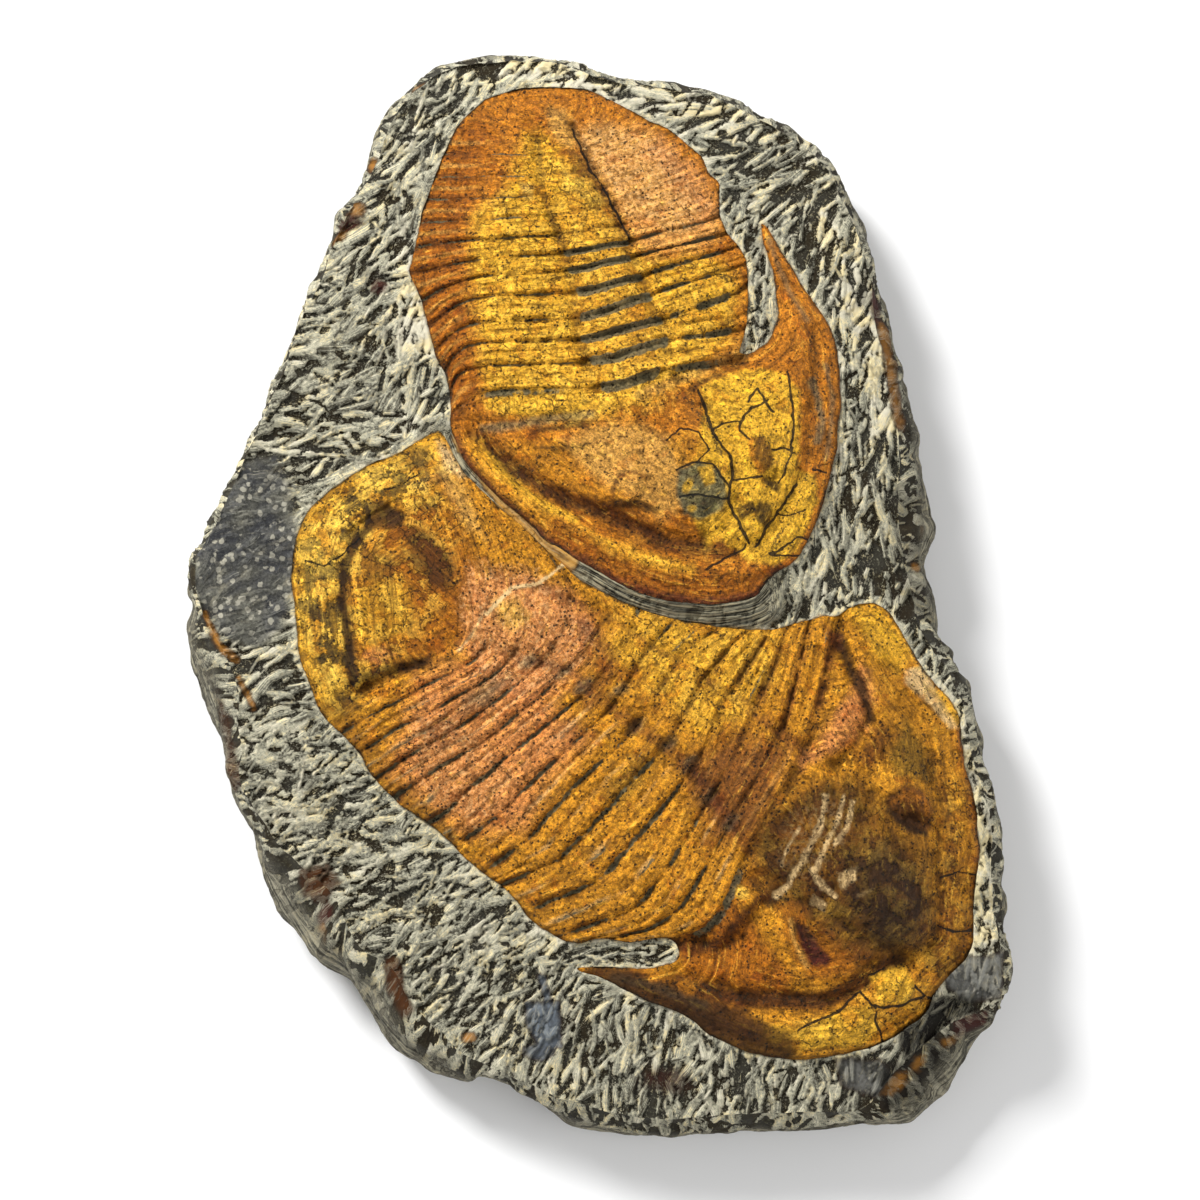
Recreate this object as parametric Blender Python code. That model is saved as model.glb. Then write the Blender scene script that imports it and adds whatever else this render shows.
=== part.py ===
"""Double trilobite plate: a rough matrix slab, sawn flat underneath, with two trilobites fixed in it."""

import math

import bpy
import numpy as np
from mathutils import Vector, kdtree
from mathutils.geometry import delaunay_2d_cdt

# Lengths in this file are millimetres, and the finished meshes are scaled to metres.
TO_METRES = 0.001

# Outlines and features were laid out as seen from EYE, on level planes at two heights.
# true_place() moves such a point along its line of sight to the height it really has.
EYE = (-65.7, -113.8, 975.2)
FOSSIL_PLANE = 42.0
SLAB_PLANE = 36.0

# Each fossil stands in a pocket of the slab, with this gap around it and below it.
FIT_GAP = 0.35
POCKET_FLOOR = 30.0
FOSSIL_FLOOR = POCKET_FLOOR + FIT_GAP

# Side wall: its widest place, the ring below it, the ring below the rim, and the flat underside,
# which is drawn in from the widest place by BASE_INSET.
WIDEST_HEIGHT = 16.0
LOWER_WALL_HEIGHT = 6.0
UPPER_WALL_DROP = 6.5
BASE_INSET = 5.0
LOWER_WALL_INSET = 1.75
WIDEST_INSET = 0.4
# Shares of the way out from the rim to the widest place, with the bulge there.
UPPER_WALL_SHARE, UPPER_WALL_BULGE = 0.5, 0.6
MIDDLE_WALL_SHARE, MIDDLE_WALL_BULGE = 0.85, 0.3

# Random unevenness of the broken rock, each way from its smooth place.
TOP_ROUGHNESS = 0.9
RIM_ROUGHNESS = 0.5
WALL_ROUGHNESS = 1.1
OTHER_WALL_ROUGHNESS = 0.7
WALL_HEIGHT_ROUGHNESS = 1.4
LOWER_HEIGHT_ROUGHNESS = 1.0
SEED = 11

# Spacing of the mesh points.
RIM_STEP = 6.2
OUTLINE_STEP = 5.0
MATRIX_GRID = 6.6
FOSSIL_GRID = 6.5
RIB_POINT_STEP = 7.5
LINE_POINT_STEP = 7.0
GRID_SHUFFLE = 0.16
MATRIX_EDGE_SHARE = 0.42
# Free points stay this far from feature lines, and all inner points this far from the outline.
LINE_CLEARANCE = 2.8
EDGE_CLEARANCE = 2.2
CROSSING_CLEARANCE = 1.7
RIB_CLEARANCE = 2.1
# A feature line has a row of points on each side, at this many half widths.
SHOULDER_FACTOR = 1.15
# Share of a body segment taken by one side of its furrow, and where the furrow meets the rib.
FURROW_SHARE = 0.13
FURROW_EDGE = 0.24
RIB_ROUND = 0.35
# Lumps at least this high get a ring of points of their own.
RINGED_LUMP = 1.3
RING_POINTS = 8
# Roundness of the height sheets at their knots, and how loosely they pass through them.
SHEET_SOFTNESS = 9.0
SHEET_LOOSENESS = 0.05

# Slab edge, clockwise from the top left: break of the top face (x, y, height), then the widest
# place of the side wall (x, y), all laid out on SLAB_PLANE.
SLAB_EDGE = [
    (-50, 183, 34, -50, 183.3), (-35, 185.5, 34.5, -35, 186), (-20.5, 186, 35, -20.5, 186.3),
    (-10.5, 184.4, 35, -10.5, 184.6), (0, 181, 35.5, 0, 181.2), (10, 178.5, 35.5, 10, 178.7),
    (20, 178.3, 35.5, 20, 178.6), (28, 176.3, 35.5, 28, 176.5), (36, 176, 35, 36, 176.2),
    (50, 170, 35, 50, 170.2), (62, 163.5, 35, 62.2, 163.7), (70.6, 158, 34.5, 71, 158.3),
    (78, 151, 34, 80, 149.8), (82, 143, 34, 83.5, 143), (86, 134, 35, 87.2, 134.5),
    (90, 123.5, 35.5, 91, 123.5), (93, 112.5, 36, 94.5, 112.3), (93.5, 108, 35.5, 95.5, 108.5),
    (94, 100, 36, 97, 101), (95.5, 92, 36.5, 99.5, 92), (98, 84, 37, 102.5, 84),
    (99.5, 72, 37.5, 105, 72), (101.5, 62, 38, 107, 62.5), (102.5, 52, 38.5, 108.5, 53),
    (102, 42, 38.5, 109.3, 43), (101.5, 34, 38, 112, 34), (102, 26, 37.5, 113.3, 26),
    (103, 17, 37.5, 111, 16.5), (105, 9, 38, 111, 9), (106.5, 2, 38.5, 112.4, 1),
    (108, -7, 38.5, 113.2, -8), (113.5, -16, 38, 117, -16), (118.5, -24, 37.5, 121.5, -24),
    (122.5, -33, 37.5, 125.2, -33), (124.5, -43, 37.5, 127.5, -43), (126.5, -54, 37, 129, -54),
    (130, -65, 37, 132.5, -65), (131.5, -75, 36.5, 134.3, -75), (131.5, -88, 36.5, 134.5, -88),
    (132, -100, 36, 135, -100), (133.5, -112, 36, 136, -112), (134.5, -122, 35.5, 136.5, -122),
    (133.5, -129, 34, 136, -129), (129, -135, 33, 132.5, -136.5), (121, -138, 32.5, 127.5, -143.5),
    (113, -143, 32, 122, -152), (104, -150.5, 32, 115, -161.5), (96, -158, 33, 108, -169),
    (91, -165, 33, 102.5, -172.2), (84, -168.5, 33.5, 93, -173), (70, -169, 34, 71, -174.6),
    (55, -169, 34, 55, -174.8), (40, -170, 33.5, 40, -175.6), (25, -171, 33, 25, -176.8),
    (10, -170, 33, 10, -176.4), (-3, -167, 33.5, -5, -173.5), (-14, -163.5, 34, -16, -168.8),
    (-25, -158.5, 34.5, -26.5, -162), (-37, -153.5, 35, -39.5, -157.2), (-45, -149.5, 35, -45, -158.4),
    (-51, -143.5, 35, -54, -155.5), (-58.5, -137, 35.5, -63, -150.3), (-64, -129.5, 36, -71.5, -142.5),
    (-68.5, -121.5, 36, -76, -134), (-78, -116, 36, -82.5, -125.3), (-82.5, -109, 36, -90, -120.5),
    (-85.5, -101.5, 36.5, -98, -113.8), (-89.5, -96, 36.5, -104.5, -104.5), (-99, -88, 36, -110, -94),
    (-106, -81.5, 36, -112.8, -83), (-110.5, -75, 36, -114.5, -76.5), (-116, -67, 36.5, -120, -67.5),
    (-119, -58, 37, -122.5, -58), (-118.5, -50, 37, -123.5, -50), (-119.5, -42, 37, -127, -42.5),
    (-119.5, -33, 37, -130.5, -33.5), (-122, -24, 36.5, -134, -25.5), (-126, -15.5, 36.5, -136, -16),
    (-130.5, -8, 36, -135.6, -7), (-133, -2.5, 36, -134.5, -1.5), (-134.5, 6, 35.5, -135.8, 6),
    (-134.5, 12, 35.5, -135.6, 12.2), (-130, 21, 36, -131, 21), (-125.5, 30, 36.5, -126.2, 30.2),
    (-121.5, 40, 37, -122, 40), (-115.5, 54, 37, -116, 54), (-109, 70, 37, -109.6, 70),
    (-103.8, 84, 36.5, -104.6, 84), (-100.8, 95, 36.5, -101.4, 95), (-94.5, 107, 36, -95.2, 107),
    (-90.5, 119, 35.5, -91, 119), (-85.5, 131, 35, -86.3, 131), (-80, 141, 34, -81.2, 141),
    (-75.5, 150, 33.5, -79, 150.5), (-73, 158, 33.5, -76.6, 158.5), (-68.5, 168, 34, -71, 168),
    (-60, 177, 34, -61.2, 177.6),
]

# The smaller trilobite, tail at the top, head turned to the lower right.
SMALL_OUTLINE = [
    (-50.5, 60.5), (-50, 63), (-50.5, 69), (-52, 75.5), (-55, 80.5), (-57.5, 90), (-60, 100), (-64.5, 110),
    (-62, 120), (-60.5, 130), (-57, 140), (-53.5, 150), (-49, 160), (-45, 165), (-39.5, 170), (-35, 172),
    (-27.5, 174.5), (-19, 175), (-10.5, 175), (-4, 174.5), (2.5, 171.5), (10, 167.5), (17.5, 163.5),
    (23, 161.5), (28.5, 157), (35, 151.5), (36.5, 146.5), (40.5, 143), (40.5, 132), (42.5, 126),
    (46.5, 121.5), (49.5, 116.5), (50, 109.5), (50, 102), (49.5, 93.5), (48, 87.5), (46.5, 84),
    (50.5, 83.5), (57, 88), (59, 92), (60.5, 98), (59.5, 106), (58.5, 113.5), (55.5, 122), (54.5, 129.5),
    (57, 127.5), (60, 122), (64, 115.5), (68, 108.5), (72, 102.5), (76, 97), (79, 91), (80.5, 84),
    (81, 76), (81.5, 66.5), (80, 59), (80, 52), (78.5, 46.5), (77, 41), (75, 33), (71.5, 24), (67, 15.5),
    (63.5, 12), (59.5, 10), (56, 7), (53, 2), (49, 0), (44.5, -0.5), (37, -1.5), (30, -1), (22.5, -0.5),
    (15.5, 1.5), (9.5, 3.5), (3, 7), (-1, 9.5), (-8.5, 13.5), (-13.5, 17), (-18.5, 19.5), (-21.5, 23),
    (-26.5, 28), (-31.5, 31.5), (-37.5, 37.5), (-43.5, 43.5), (-47, 49), (-49.5, 55),
]

# The larger trilobite, tail at the left, head at the lower right.
LARGE_OUTLINE = [
    (-54, 56.5), (-60, 53), (-69, 47.5), (-76.5, 45), (-82.5, 41), (-89, 36.5), (-94.5, 31.5), (-98.5, 26.5),
    (-101, 19), (-102, 13), (-102.5, 5.5), (-101.5, -1), (-100.5, -8.5), (-100, -15), (-99, -21.5),
    (-96.5, -27), (-94, -34.5), (-91, -40), (-85, -45.5), (-78.5, -52.5), (-76.5, -57.5), (-70.5, -64),
    (-66, -68.5), (-61, -71.5), (-55, -75.5), (-50.5, -79.5), (-45, -85.5), (-39.5, -90), (-35, -93),
    (-30, -97), (-27, -100.5), (-25, -104), (-20.5, -108), (-17, -110), (-11, -113.2), (-6.5, -113.6),
    (-2.6, -112.4), (2, -112), (9.5, -113.2), (15, -112.6), (19, -111.6), (23, -112), (25.5, -114.5),
    (26.5, -118), (24, -120.2), (15, -122), (8, -121.6), (-1, -121.2), (-8.5, -121.6), (-6, -123),
    (-2, -124), (3.4, -126), (6.7, -128.3), (10.2, -129.7), (15.2, -132.5), (22.5, -134.7), (26.7, -136.5),
    (31.3, -139.5), (35.7, -143.5), (42, -146.3), (49, -149.1), (53.5, -150.2), (62.8, -151.6),
    (71.5, -151), (80.4, -149.6), (89, -147.8), (96.2, -144.7), (102, -140.5), (105.7, -138.3),
    (108.7, -134.8), (110, -130.6), (113.3, -126.4), (117.5, -122), (121.5, -118.6), (123.5, -114),
    (123.8, -107), (124, -99.5), (125.3, -90.2), (126.5, -83), (125.7, -77.3), (125.4, -69), (123.8, -62),
    (121.7, -55), (120.8, -46.5), (120.2, -38), (117.5, -33.2), (111.6, -27), (107.5, -21.5),
    (104, -15.3), (100, -8.5), (97, -3.5), (92, -0.4), (87, -0.8), (82.5, -2.8), (79.5, -5.2), (75, -5),
    (69.7, -6.4), (64, -8), (58.5, -9.8), (49.5, -9.8), (40, -9), (30, -7.5), (22.5, -6), (15.5, -4),
    (7.5, -0.8), (-0.5, 2.8), (-6.5, 6), (-13.5, 12.5), (-18.5, 16.8), (-22.8, 21.2), (-28.3, 26.3),
    (-33.3, 29.8), (-39.2, 35.8), (-45.4, 41.8), (-48.9, 47.4), (-51.4, 53.2),
]

# Height knots (x, y, height) of the three surfaces, laid out on FOSSIL_PLANE.
MATRIX_KNOTS = [
    (-75, 130, 37), (-70, 105, 38), (-66, 118, 38.3), (-62, 85, 39), (-80, 85, 38.5), (-95, 80, 38),
    (-57, 70, 40), (-75, 62, 39.5), (-95, 60, 38.5), (-57, 60, 41.5), (-65, 150, 36), (-54, 166, 36.5),
    (-30, 179, 36.5), (-5, 178, 37), (15, 170, 37.5), (35, 162, 37.5), (45, 148, 38.5), (50, 138, 39.5),
    (65, 140, 37.5), (75, 125, 38), (52, 120, 41), (54, 110, 42), (54, 95, 43.5), (50.5, 87, 45),
    (70, 115, 39.5), (82, 100, 40.5), (88, 80, 41), (86, 60, 42.5), (84, 40, 43.5), (80, 25, 44.5),
    (72, 12, 47), (66, 2, 48), (60, -4, 48.5), (85, 8, 43.5), (95, 10, 41), (98, 35, 40), (95, 55, 40.5),
    (-70, 52, 41), (-90, 42, 39), (-105, 35, 38), (-108, 10, 37.5), (-120, 10, 36.8), (-107, -15, 37.3),
    (-103, -35, 37.3), (-95, -46, 37.3), (-84, -56, 37), (-75, -68, 37), (-60, -80, 37), (-45, -93, 37.3),
    (-32, -103, 37.6), (-20, -114, 37.5), (-100, -70, 37), (-85, -90, 36.8), (-65, -105, 36.8),
    (-45, -120, 36.6), (-20, -130, 36.5), (-30, -140, 36.3), (5, -135, 37), (20, -142, 37),
    (40, -152, 36.5), (60, -157, 35.8), (85, -155, 35.3), (105, -146, 34.3), (115, -135, 34.5),
    (125, -125, 36.3), (127, -108, 37.8), (129, -90, 38.2), (129, -72, 38.2), (123, -45, 38.8),
    (113, -25, 39.3), (104, -10, 40.3), (98, 1, 41), (-5, -117, 37.8), (10, -117, 38.8), (22, -116, 39.6),
    (-52.3, 56.5, 43.5), (-46.5, 44.5, 45.2), (-35.5, 33.8, 46.6), (-25, 24.5, 47.6), (-19.6, 18.2, 48.3),
    (-10, 13, 50), (2, 6, 51.4), (20, -1.3, 52), (35, -2.7, 52.2), (50, -1.8, 51.5), (59, 5, 50.2),
    (-12, 12, 48.6), (-2, 4.2, 48.2), (10, -1.8, 48), (25, -6.2, 48), (40, -8.6, 47.8), (55, -9.4, 47.2),
    (66, -7, 46), (74, -4.2, 44.8), (80, -4, 43.8),
]
SMALL_KNOTS = [
    (-50, 62, 43.8), (-52, 76, 41.3), (-59, 100, 40), (-63, 112, 39.6), (-60, 130, 38.8), (-53, 150, 38.4),
    (-40, 169, 38), (-20, 175, 38), (-3, 174, 38.3), (18, 163, 39), (34, 151, 39.6), (40, 138, 40.5),
    (45, 122, 42), (50, 108, 43.2), (49, 92, 45.2), (47.5, 84.5, 47.5),
    (-45, 100, 46.4), (-30, 100, 49.6), (-10, 102, 49.2), (3, 106, 52.6), (14, 106, 49.6), (32, 105, 49.8),
    (42, 105, 47), (-45, 80, 47), (-28, 80, 51), (-5, 80, 51.2), (9, 86, 54.6), (20, 88, 51.6), (36, 88, 50.2),
    (-45, 125, 44.6), (-30, 125, 47.6), (-14, 125, 47.6), (-4, 128, 50.2), (7, 128, 47.6), (28, 122, 47.4),
    (-40, 150, 42.6), (-27, 150, 44.8), (-20, 150, 44.6), (-12, 150, 47), (-3, 150, 44.4), (15, 150, 43),
    (-16, 163, 43.4), (-30, 165, 40.8), (2, 164, 40.8),
    (10, 70, 55.4), (-15, 66, 52), (-35, 64, 48.6), (24, 54, 59.6), (30, 38, 59.4), (36, 25, 56.2),
    (-10, 52, 53.4), (-28, 50, 50.4), (-14, 40, 52.4), (4, 50, 55.8), (44, 66, 56), (40, 78, 52.4),
    (55, 62, 55.6), (66, 60, 52.2), (64, 40, 53.8), (54, 25, 54.2), (69, 84, 49.6), (66, 98, 47.2),
    (60, 115, 43.8), (55.5, 128, 41.6), (53, 86, 47.8), (59.5, 100, 45),
    (72, 103, 43), (80, 85, 43.8), (81, 66, 45), (78, 46, 46.6), (72, 26, 48.6), (63, 12.5, 50.6),
    (52, 2, 52.6), (37, -1, 53.4), (20, 0.5, 53.2), (3, 7.5, 52.4), (-13, 17, 50.4), (-26, 28, 49),
    (-38, 38, 47.6), (-48, 51, 45.4), (20, 10, 54.6), (0, 18, 53.6), (-22, 33, 51.2),
]
LARGE_KNOTS = [
    (-54, 56, 44.2), (-69, 47, 42), (-89, 36.5, 39.6), (-101, 20, 38.6), (-102, 4, 38.3), (-99.5, -18, 38.2),
    (-92, -38, 38.1), (-78, -55, 38), (-64, -69, 38), (-50, -80, 38.1), (-35, -93, 38.4), (-24, -105, 38.4),
    (-10, -113, 38.7), (9, -113, 39.9), (24, -113, 41), (26, -118.5, 41), (10, -122, 39.2), (-7, -122, 37.8),
    (8, -128.5, 38), (27, -136.5, 38.3), (42, -146, 38.1), (62, -151.5, 37.7), (85, -148.6, 37.3),
    (101, -141, 36.8), (110, -130.5, 36.9), (121, -118.5, 37.8), (124, -100, 38.7), (126, -83, 39.2),
    (125, -68, 39.4), (121, -48, 39.9), (117, -33, 40.3), (105, -17, 41), (96, -3, 41.9), (86, -1, 43),
    (78, -5.5, 45), (64, -8, 47), (50, -9.8, 48.3), (35, -8.2, 49), (15, -4, 49.2), (0, 2.5, 49.2),
    (-13, 12, 49.2), (-24, 22.5, 48.6), (-36, 32.5, 47.6), (-47, 44, 46.2),
    (-78, 1, 45.6), (-68, 16, 45.2), (-70, -14, 44.6), (-88, 24, 42.4), (-94, 2, 41.8), (-91, -20, 41.4),
    (-70, 34, 44), (-55, 38, 46.4), (-46, 20, 47.6), (-46, -2, 49.2), (-22, -9, 50.6), (-30, 12, 48.6),
    (4, -22, 51.4), (30, -40, 51.6), (54, -60, 51.4), (-12, -25, 49.2), (12, -42, 49.6), (30, -57, 49.8),
    (46, -80, 49.4), (3, -5, 49.4), (26, -20, 49.6), (50, -36, 49.2), (67, -48, 49.2),
    (-60, -24, 44.8), (-55, -42, 45.2), (-36, -40, 48), (-15, -48, 49.2), (-40, -62, 44.6), (-22, -62, 47.6),
    (0, -62, 49.2), (-22, -86, 43.6), (-2, -84, 47), (18, -78, 48.8), (8, -100, 44), (30, -96, 47),
    (20, -14, 49.8), (42, -20, 49.8), (62, -26, 48.6), (76, -20, 46.6),
    (64, -72, 52.2), (79, -84, 54.4), (93, -96, 55.2), (104, -106, 52), (111, -113, 46.2), (97, -75, 48.8),
    (86, -62, 48), (60, -96, 48.6), (73, -108, 48.8), (86, -118, 47.8), (90, -45, 46.6), (90, -22, 45),
    (104, -45, 45.6), (113, -60, 44), (116, -82, 43.8), (116, -98, 43.4), (104, -124, 43.8),
    (40, -108, 45.6), (40, -122, 43.6), (58, -122, 45.8), (60, -141, 43), (82, -138, 43.2), (28, -128, 42.2),
    (96, -132, 42.4), (10, -125, 40),
]

# Nets of the segment furrows: one row per furrow, from the left margin over both furrows beside
# the axis to the right margin.
SMALL_NET = [
    [(-30, 173.8), (-27, 169), (-20, 166), (-13.5, 166), (-4, 174)],
    [(-41, 168.5), (-33, 164), (-21.5, 162), (-10, 162), (8, 168.5)],
    [(-48, 160), (-36, 158.5), (-21, 157.5), (-7, 158), (19, 164)],
    [(-53, 151), (-38, 151), (-20.5, 151.5), (-4.5, 153), (27, 159)],
    [(-56, 143), (-40, 143.5), (-20, 144.5), (-2, 147), (33, 153.5)],
    [(-58.5, 135), (-40, 136), (-19, 137.5), (1, 140.5), (36, 146)],
    [(-60.5, 127), (-42, 128.5), (-16, 130.5), (4, 134), (38, 139)],
    [(-62, 119), (-42, 121.5), (-13.5, 124), (6.5, 127.5), (41, 131)],
    [(-63, 110), (-40, 114.8), (-12.5, 117.5), (9, 121.5), (43.5, 125.5)],
    [(-60.5, 100.5), (-43, 108.3), (-11, 111.5), (9.5, 116), (46, 120)],
    [(-58.5, 91.5), (-42, 101.3), (-8, 104), (13.5, 109.5), (49.5, 114.5)],
    [(-56, 83), (-43, 92.5), (-7, 95.5), (16.5, 103), (50, 107.5)],
    [(-52.5, 76), (-43, 85.3), (-6.5, 88), (20, 95), (49.5, 99)],
    [(-50.5, 68.5), (-43, 77.5), (-3.5, 80.5), (22.5, 87.5), (48.5, 91)],
    [(-50, 61.5), (-38, 69.5), (0, 72), (19.5, 77.5), (46, 83)],
]
LARGE_NET = [
    [(-91, -40), (-80, -33), (-66, -25.5), (-47, -15), (-48, 10), (-64, 49)],
    [(-85.5, -45.5), (-74, -38), (-60, -30.5), (-38, -16.5), (-36, 8), (-51, 52)],
    [(-79.5, -52), (-68, -44), (-53, -36), (-29, -19), (-24, 5), (-36, 33)],
    [(-74.5, -60), (-60, -50.5), (-45.5, -42), (-20, -21.5), (-10, 0), (-20, 19)],
    [(-68, -66.5), (-54, -56.5), (-37, -46.5), (-12, -24.5), (2, -5.5), (-5, 6)],
    [(-56, -74.5), (-45.5, -65.5), (-29, -51), (-4, -30), (9.5, -11), (13, -2.5)],
    [(-48, -82), (-35, -73), (-20.5, -59), (3, -36), (17, -15.5), (25, -6.5)],
    [(-38.5, -90.5), (-24, -79.5), (-10, -64), (12, -42), (26, -20.5), (39, -9)],
    [(-33, -94.5), (-14, -86), (-1, -73), (21.5, -48.5), (34.5, -26), (49, -9.8)],
    [(-25, -103.5), (-3, -94), (9, -83), (30, -56.5), (43, -31.5), (57, -10)],
    [(-14, -111.5), (9, -103), (20, -92), (37, -65), (51.5, -37), (63, -9)],
    [(2, -112), (18, -108), (29, -98), (43, -74), (60, -43.5), (70, -7)],
    [(22, -112), (31, -110), (39, -103), (49, -83), (67.5, -49.5), (79, -6)],
]
# Rib relief: the columns that bound the axis, the depth of the relief on it and beside it, the
# furrow where the relief starts, the one where it is full, and the first furrow with points.
SMALL_RIBS = {
    "axis_from": 2.0, "axis_to": 3.0, "axis": 2.6, "left": 1.7, "right": 2.2, "starts": 2.0, "full": 8.0,
    "first_furrow": 3,
}
LARGE_RIBS = {
    "axis_from": 3.0, "axis_to": 4.0, "axis": 1.1, "left": 2.3, "right": 1.9, "starts": -1.0, "full": 1.5,
    "first_furrow": 0,
}

# Furrows and ridges along lines: (height change, half width, points).
SMALL_LINES = [
    (-2.0, 2.4, [(-23.5, 163), (-20.5, 152.5), (-20, 140), (-17, 130), (-12.5, 118.5), (-9.5, 105),
                 (-7.5, 91), (-5, 80), (-1, 72)]),
    (-2.2, 2.4, [(-9.5, 161.5), (-4, 150), (-1, 143), (3.5, 136), (8.5, 125), (12, 113), (16, 103),
                 (20, 94), (22.5, 84)]),
    (-4.2, 4.0, [(-43, 55), (-38.5, 51), (-33.5, 46), (-26.5, 41), (-18.5, 36.5), (-10, 32), (0, 28.5),
                 (9.5, 24), (20, 20.5), (34, 19)]),
    (1.6, 3.6, [(-44, 48.5), (-37, 43), (-29, 36.5), (-21, 30.5), (-10, 25), (2, 19), (14, 12.5), (28, 9),
                (42, 9), (54, 12)]),
    (-2.2, 2.6, [(21.5, 73), (32, 77.5), (42, 80), (49, 82.5)]),
    (-2.0, 3.0, [(72.5, 92), (72.5, 76), (71.5, 62), (69, 46), (63, 32), (56, 21), (46, 16.5)]),
    (-2.0, 2.8, [(18, 72), (14, 62), (13, 52), (17, 40), (24, 29), (34, 23)]),
    (-1.8, 2.6, [(27, 74), (35, 66), (43, 58), (46, 46), (46, 34), (42, 25)]),
    (-0.9, 2.6, [(17, 62), (26, 66), (36, 66)]),
    (-1.2, 2.6, [(-46, 60), (-38, 58.5), (-24, 60), (-8, 62.5)]),
]
LARGE_LINES = [
    (-2.2, 3.0, [(-70, 30), (-80, 22), (-84.5, 13), (-85.8, 5), (-86, -3), (-85, -10), (-82, -22),
                 (-77, -30)]),
    (-2.2, 2.4, [(-60, -23), (-68, -25.5), (-79, -31)]),
    (-1.6, 3.0, [(-47, -15), (-29, -19), (-12, -24.5), (3, -36), (12, -42), (21.5, -48.5), (30, -56.5),
                 (37, -65), (43, -74), (49, -84)]),
    (-1.6, 3.0, [(-36, 8), (-10, 0), (9.5, -11), (26, -20.5), (34.5, -26), (51.5, -37), (60, -43.5),
                 (68, -50), (78, -55)]),
    (-2.8, 2.8, [(80, -8), (80.5, -14), (82, -20), (85.5, -26.5), (88.5, -33), (90, -39), (84, -50),
                 (78, -55)]),
    (-3.0, 3.2, [(27, -113), (33, -114), (39, -116.5), (47, -111), (55, -102), (57, -97), (51, -92)]),
    (-3.8, 4.2, [(26, -124.5), (38, -129), (48, -131.5), (60, -132), (72, -132.5), (80, -131),
                 (86, -127), (91, -122), (100, -119)]),
    (-2.4, 3.4, [(100, -119), (108, -116), (112, -108), (113, -96), (112.5, -82), (113.5, -68),
                 (110, -52), (103, -36), (97, -22)]),
    (1.2, 4.0, [(20, -129), (34, -135), (48, -141), (66, -144), (84, -141.5), (98, -134), (110, -124)]),
    (-2.0, 3.0, [(84, -57), (92, -66), (98, -79), (104, -92), (108, -102)]),
    (-2.0, 3.0, [(56, -92), (64, -99), (76, -106), (88, -113), (98, -116)]),
    (-1.5, 3.0, [(66, -59), (64, -70), (58, -79), (54, -86)]),
    (-1.4, 2.6, [(78, -64), (76, -76), (68, -88), (62, -94)]),
    (-1.4, 2.6, [(88, -70), (87, -82), (80, -94), (72, -101)]),
]

# Round lumps and pits: (x, y, half length, half width, turn in degrees, height change).
SMALL_LUMPS = [
    (7.5, 37.5, 7.0, 5.5, 20, 3.4), (7.5, 37.5, 2.6, 2.2, 0, -1.6), (13.5, 30.5, 4.0, 2.5, -30, -1.6),
    (53.5, 50, 3.4, 6.5, 8, 3.2), (57.5, 42, 3.5, 3.0, -45, -1.6), (29.5, 51.5, 7.0, 7.0, 0, 0.9),
    (35.5, 31.5, 5.0, 6.0, 0, 0.6), (-14, 65.5, 12, 2.6, 3, 1.2), (-14, 53.5, 8, 2.8, 20, 1.0),
    (-30, 55, 6, 2.6, 10, 0.8),
]
LARGE_LUMPS = [
    (106, -68, 8.5, 5.5, -35, 3.0), (104.5, -73.5, 5.0, 2.6, -20, -3.2), (69.5, -112.5, 8.0, 3.6, -62, -3.4),
    (62, -113, 9.0, 5.0, -70, 1.8), (77, -110, 8.0, 3.0, -52, 1.6), (33.5, -112, 3.0, 2.2, 10, -1.6),
    (35, -104, 6.0, 3.6, 35, 1.2), (61, -42, 5.0, 2.2, 30, -1.5), (70, -47, 5.5, 2.4, 35, -1.8),
    (12, -41.5, 5.0, 2.4, 40, -1.4), (24, -47.5, 4.0, 2.0, 45, -1.2), (83, -36, 7.0, 4.5, 75, 1.4),
    (-68, 28, 5.5, 3.0, -20, -1.2), (-77, 2, 8.0, 10.0, 0, 0.8), (98, -128, 7.5, 5.0, 10, 0.8),
    (98, -30, 6.0, 4.0, -50, 1.0),
]
MATRIX_LUMPS = [
    (-74, 106, 3.6, 2.8, 20, -2.2), (-86, 127, 5.0, 4.0, 0, -1.8), (-92, -92, 8.0, 6.0, 20, -2.6),
    (-88, -107, 6.0, 4.0, 60, -2.0), (-21, -139, 4.5, 9.0, -15, -1.5), (-54, -74, 5.0, 2.2, -15, -2.8),
    (118, -133, 6.5, 3.4, -15, -3.2), (112, -140, 9.0, 4.0, 35, -1.8), (-55, 66, 3.0, 6.0, -20, -1.4),
    (105, 2, 5.0, 3.6, 0, -2.0), (90, 6, 7.0, 3.4, -15, -1.8), (36, -147, 7.0, 2.2, -35, -1.2),
    (-60, 74, 5.0, 3.6, 20, -1.4), (-108, 53, 9.0, 5.0, 25, -1.2), (16, -151, 5.0, 4.0, 0, -1.0),
]

COLOURS = {
    "matrix_slab": (0.22, 0.22, 0.21),
    "large_trilobite": (0.50, 0.25, 0.06),
    "small_trilobite": (0.58, 0.31, 0.07),
}


def true_place(flat, heights, plane):
    """Points laid out on a level plane, moved along the line of sight to their own heights."""
    share = ((plane - heights) / (EYE[2] - heights))[:, None]
    return (flat - share * np.array(EYE[:2])) / (1.0 - share)


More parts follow.
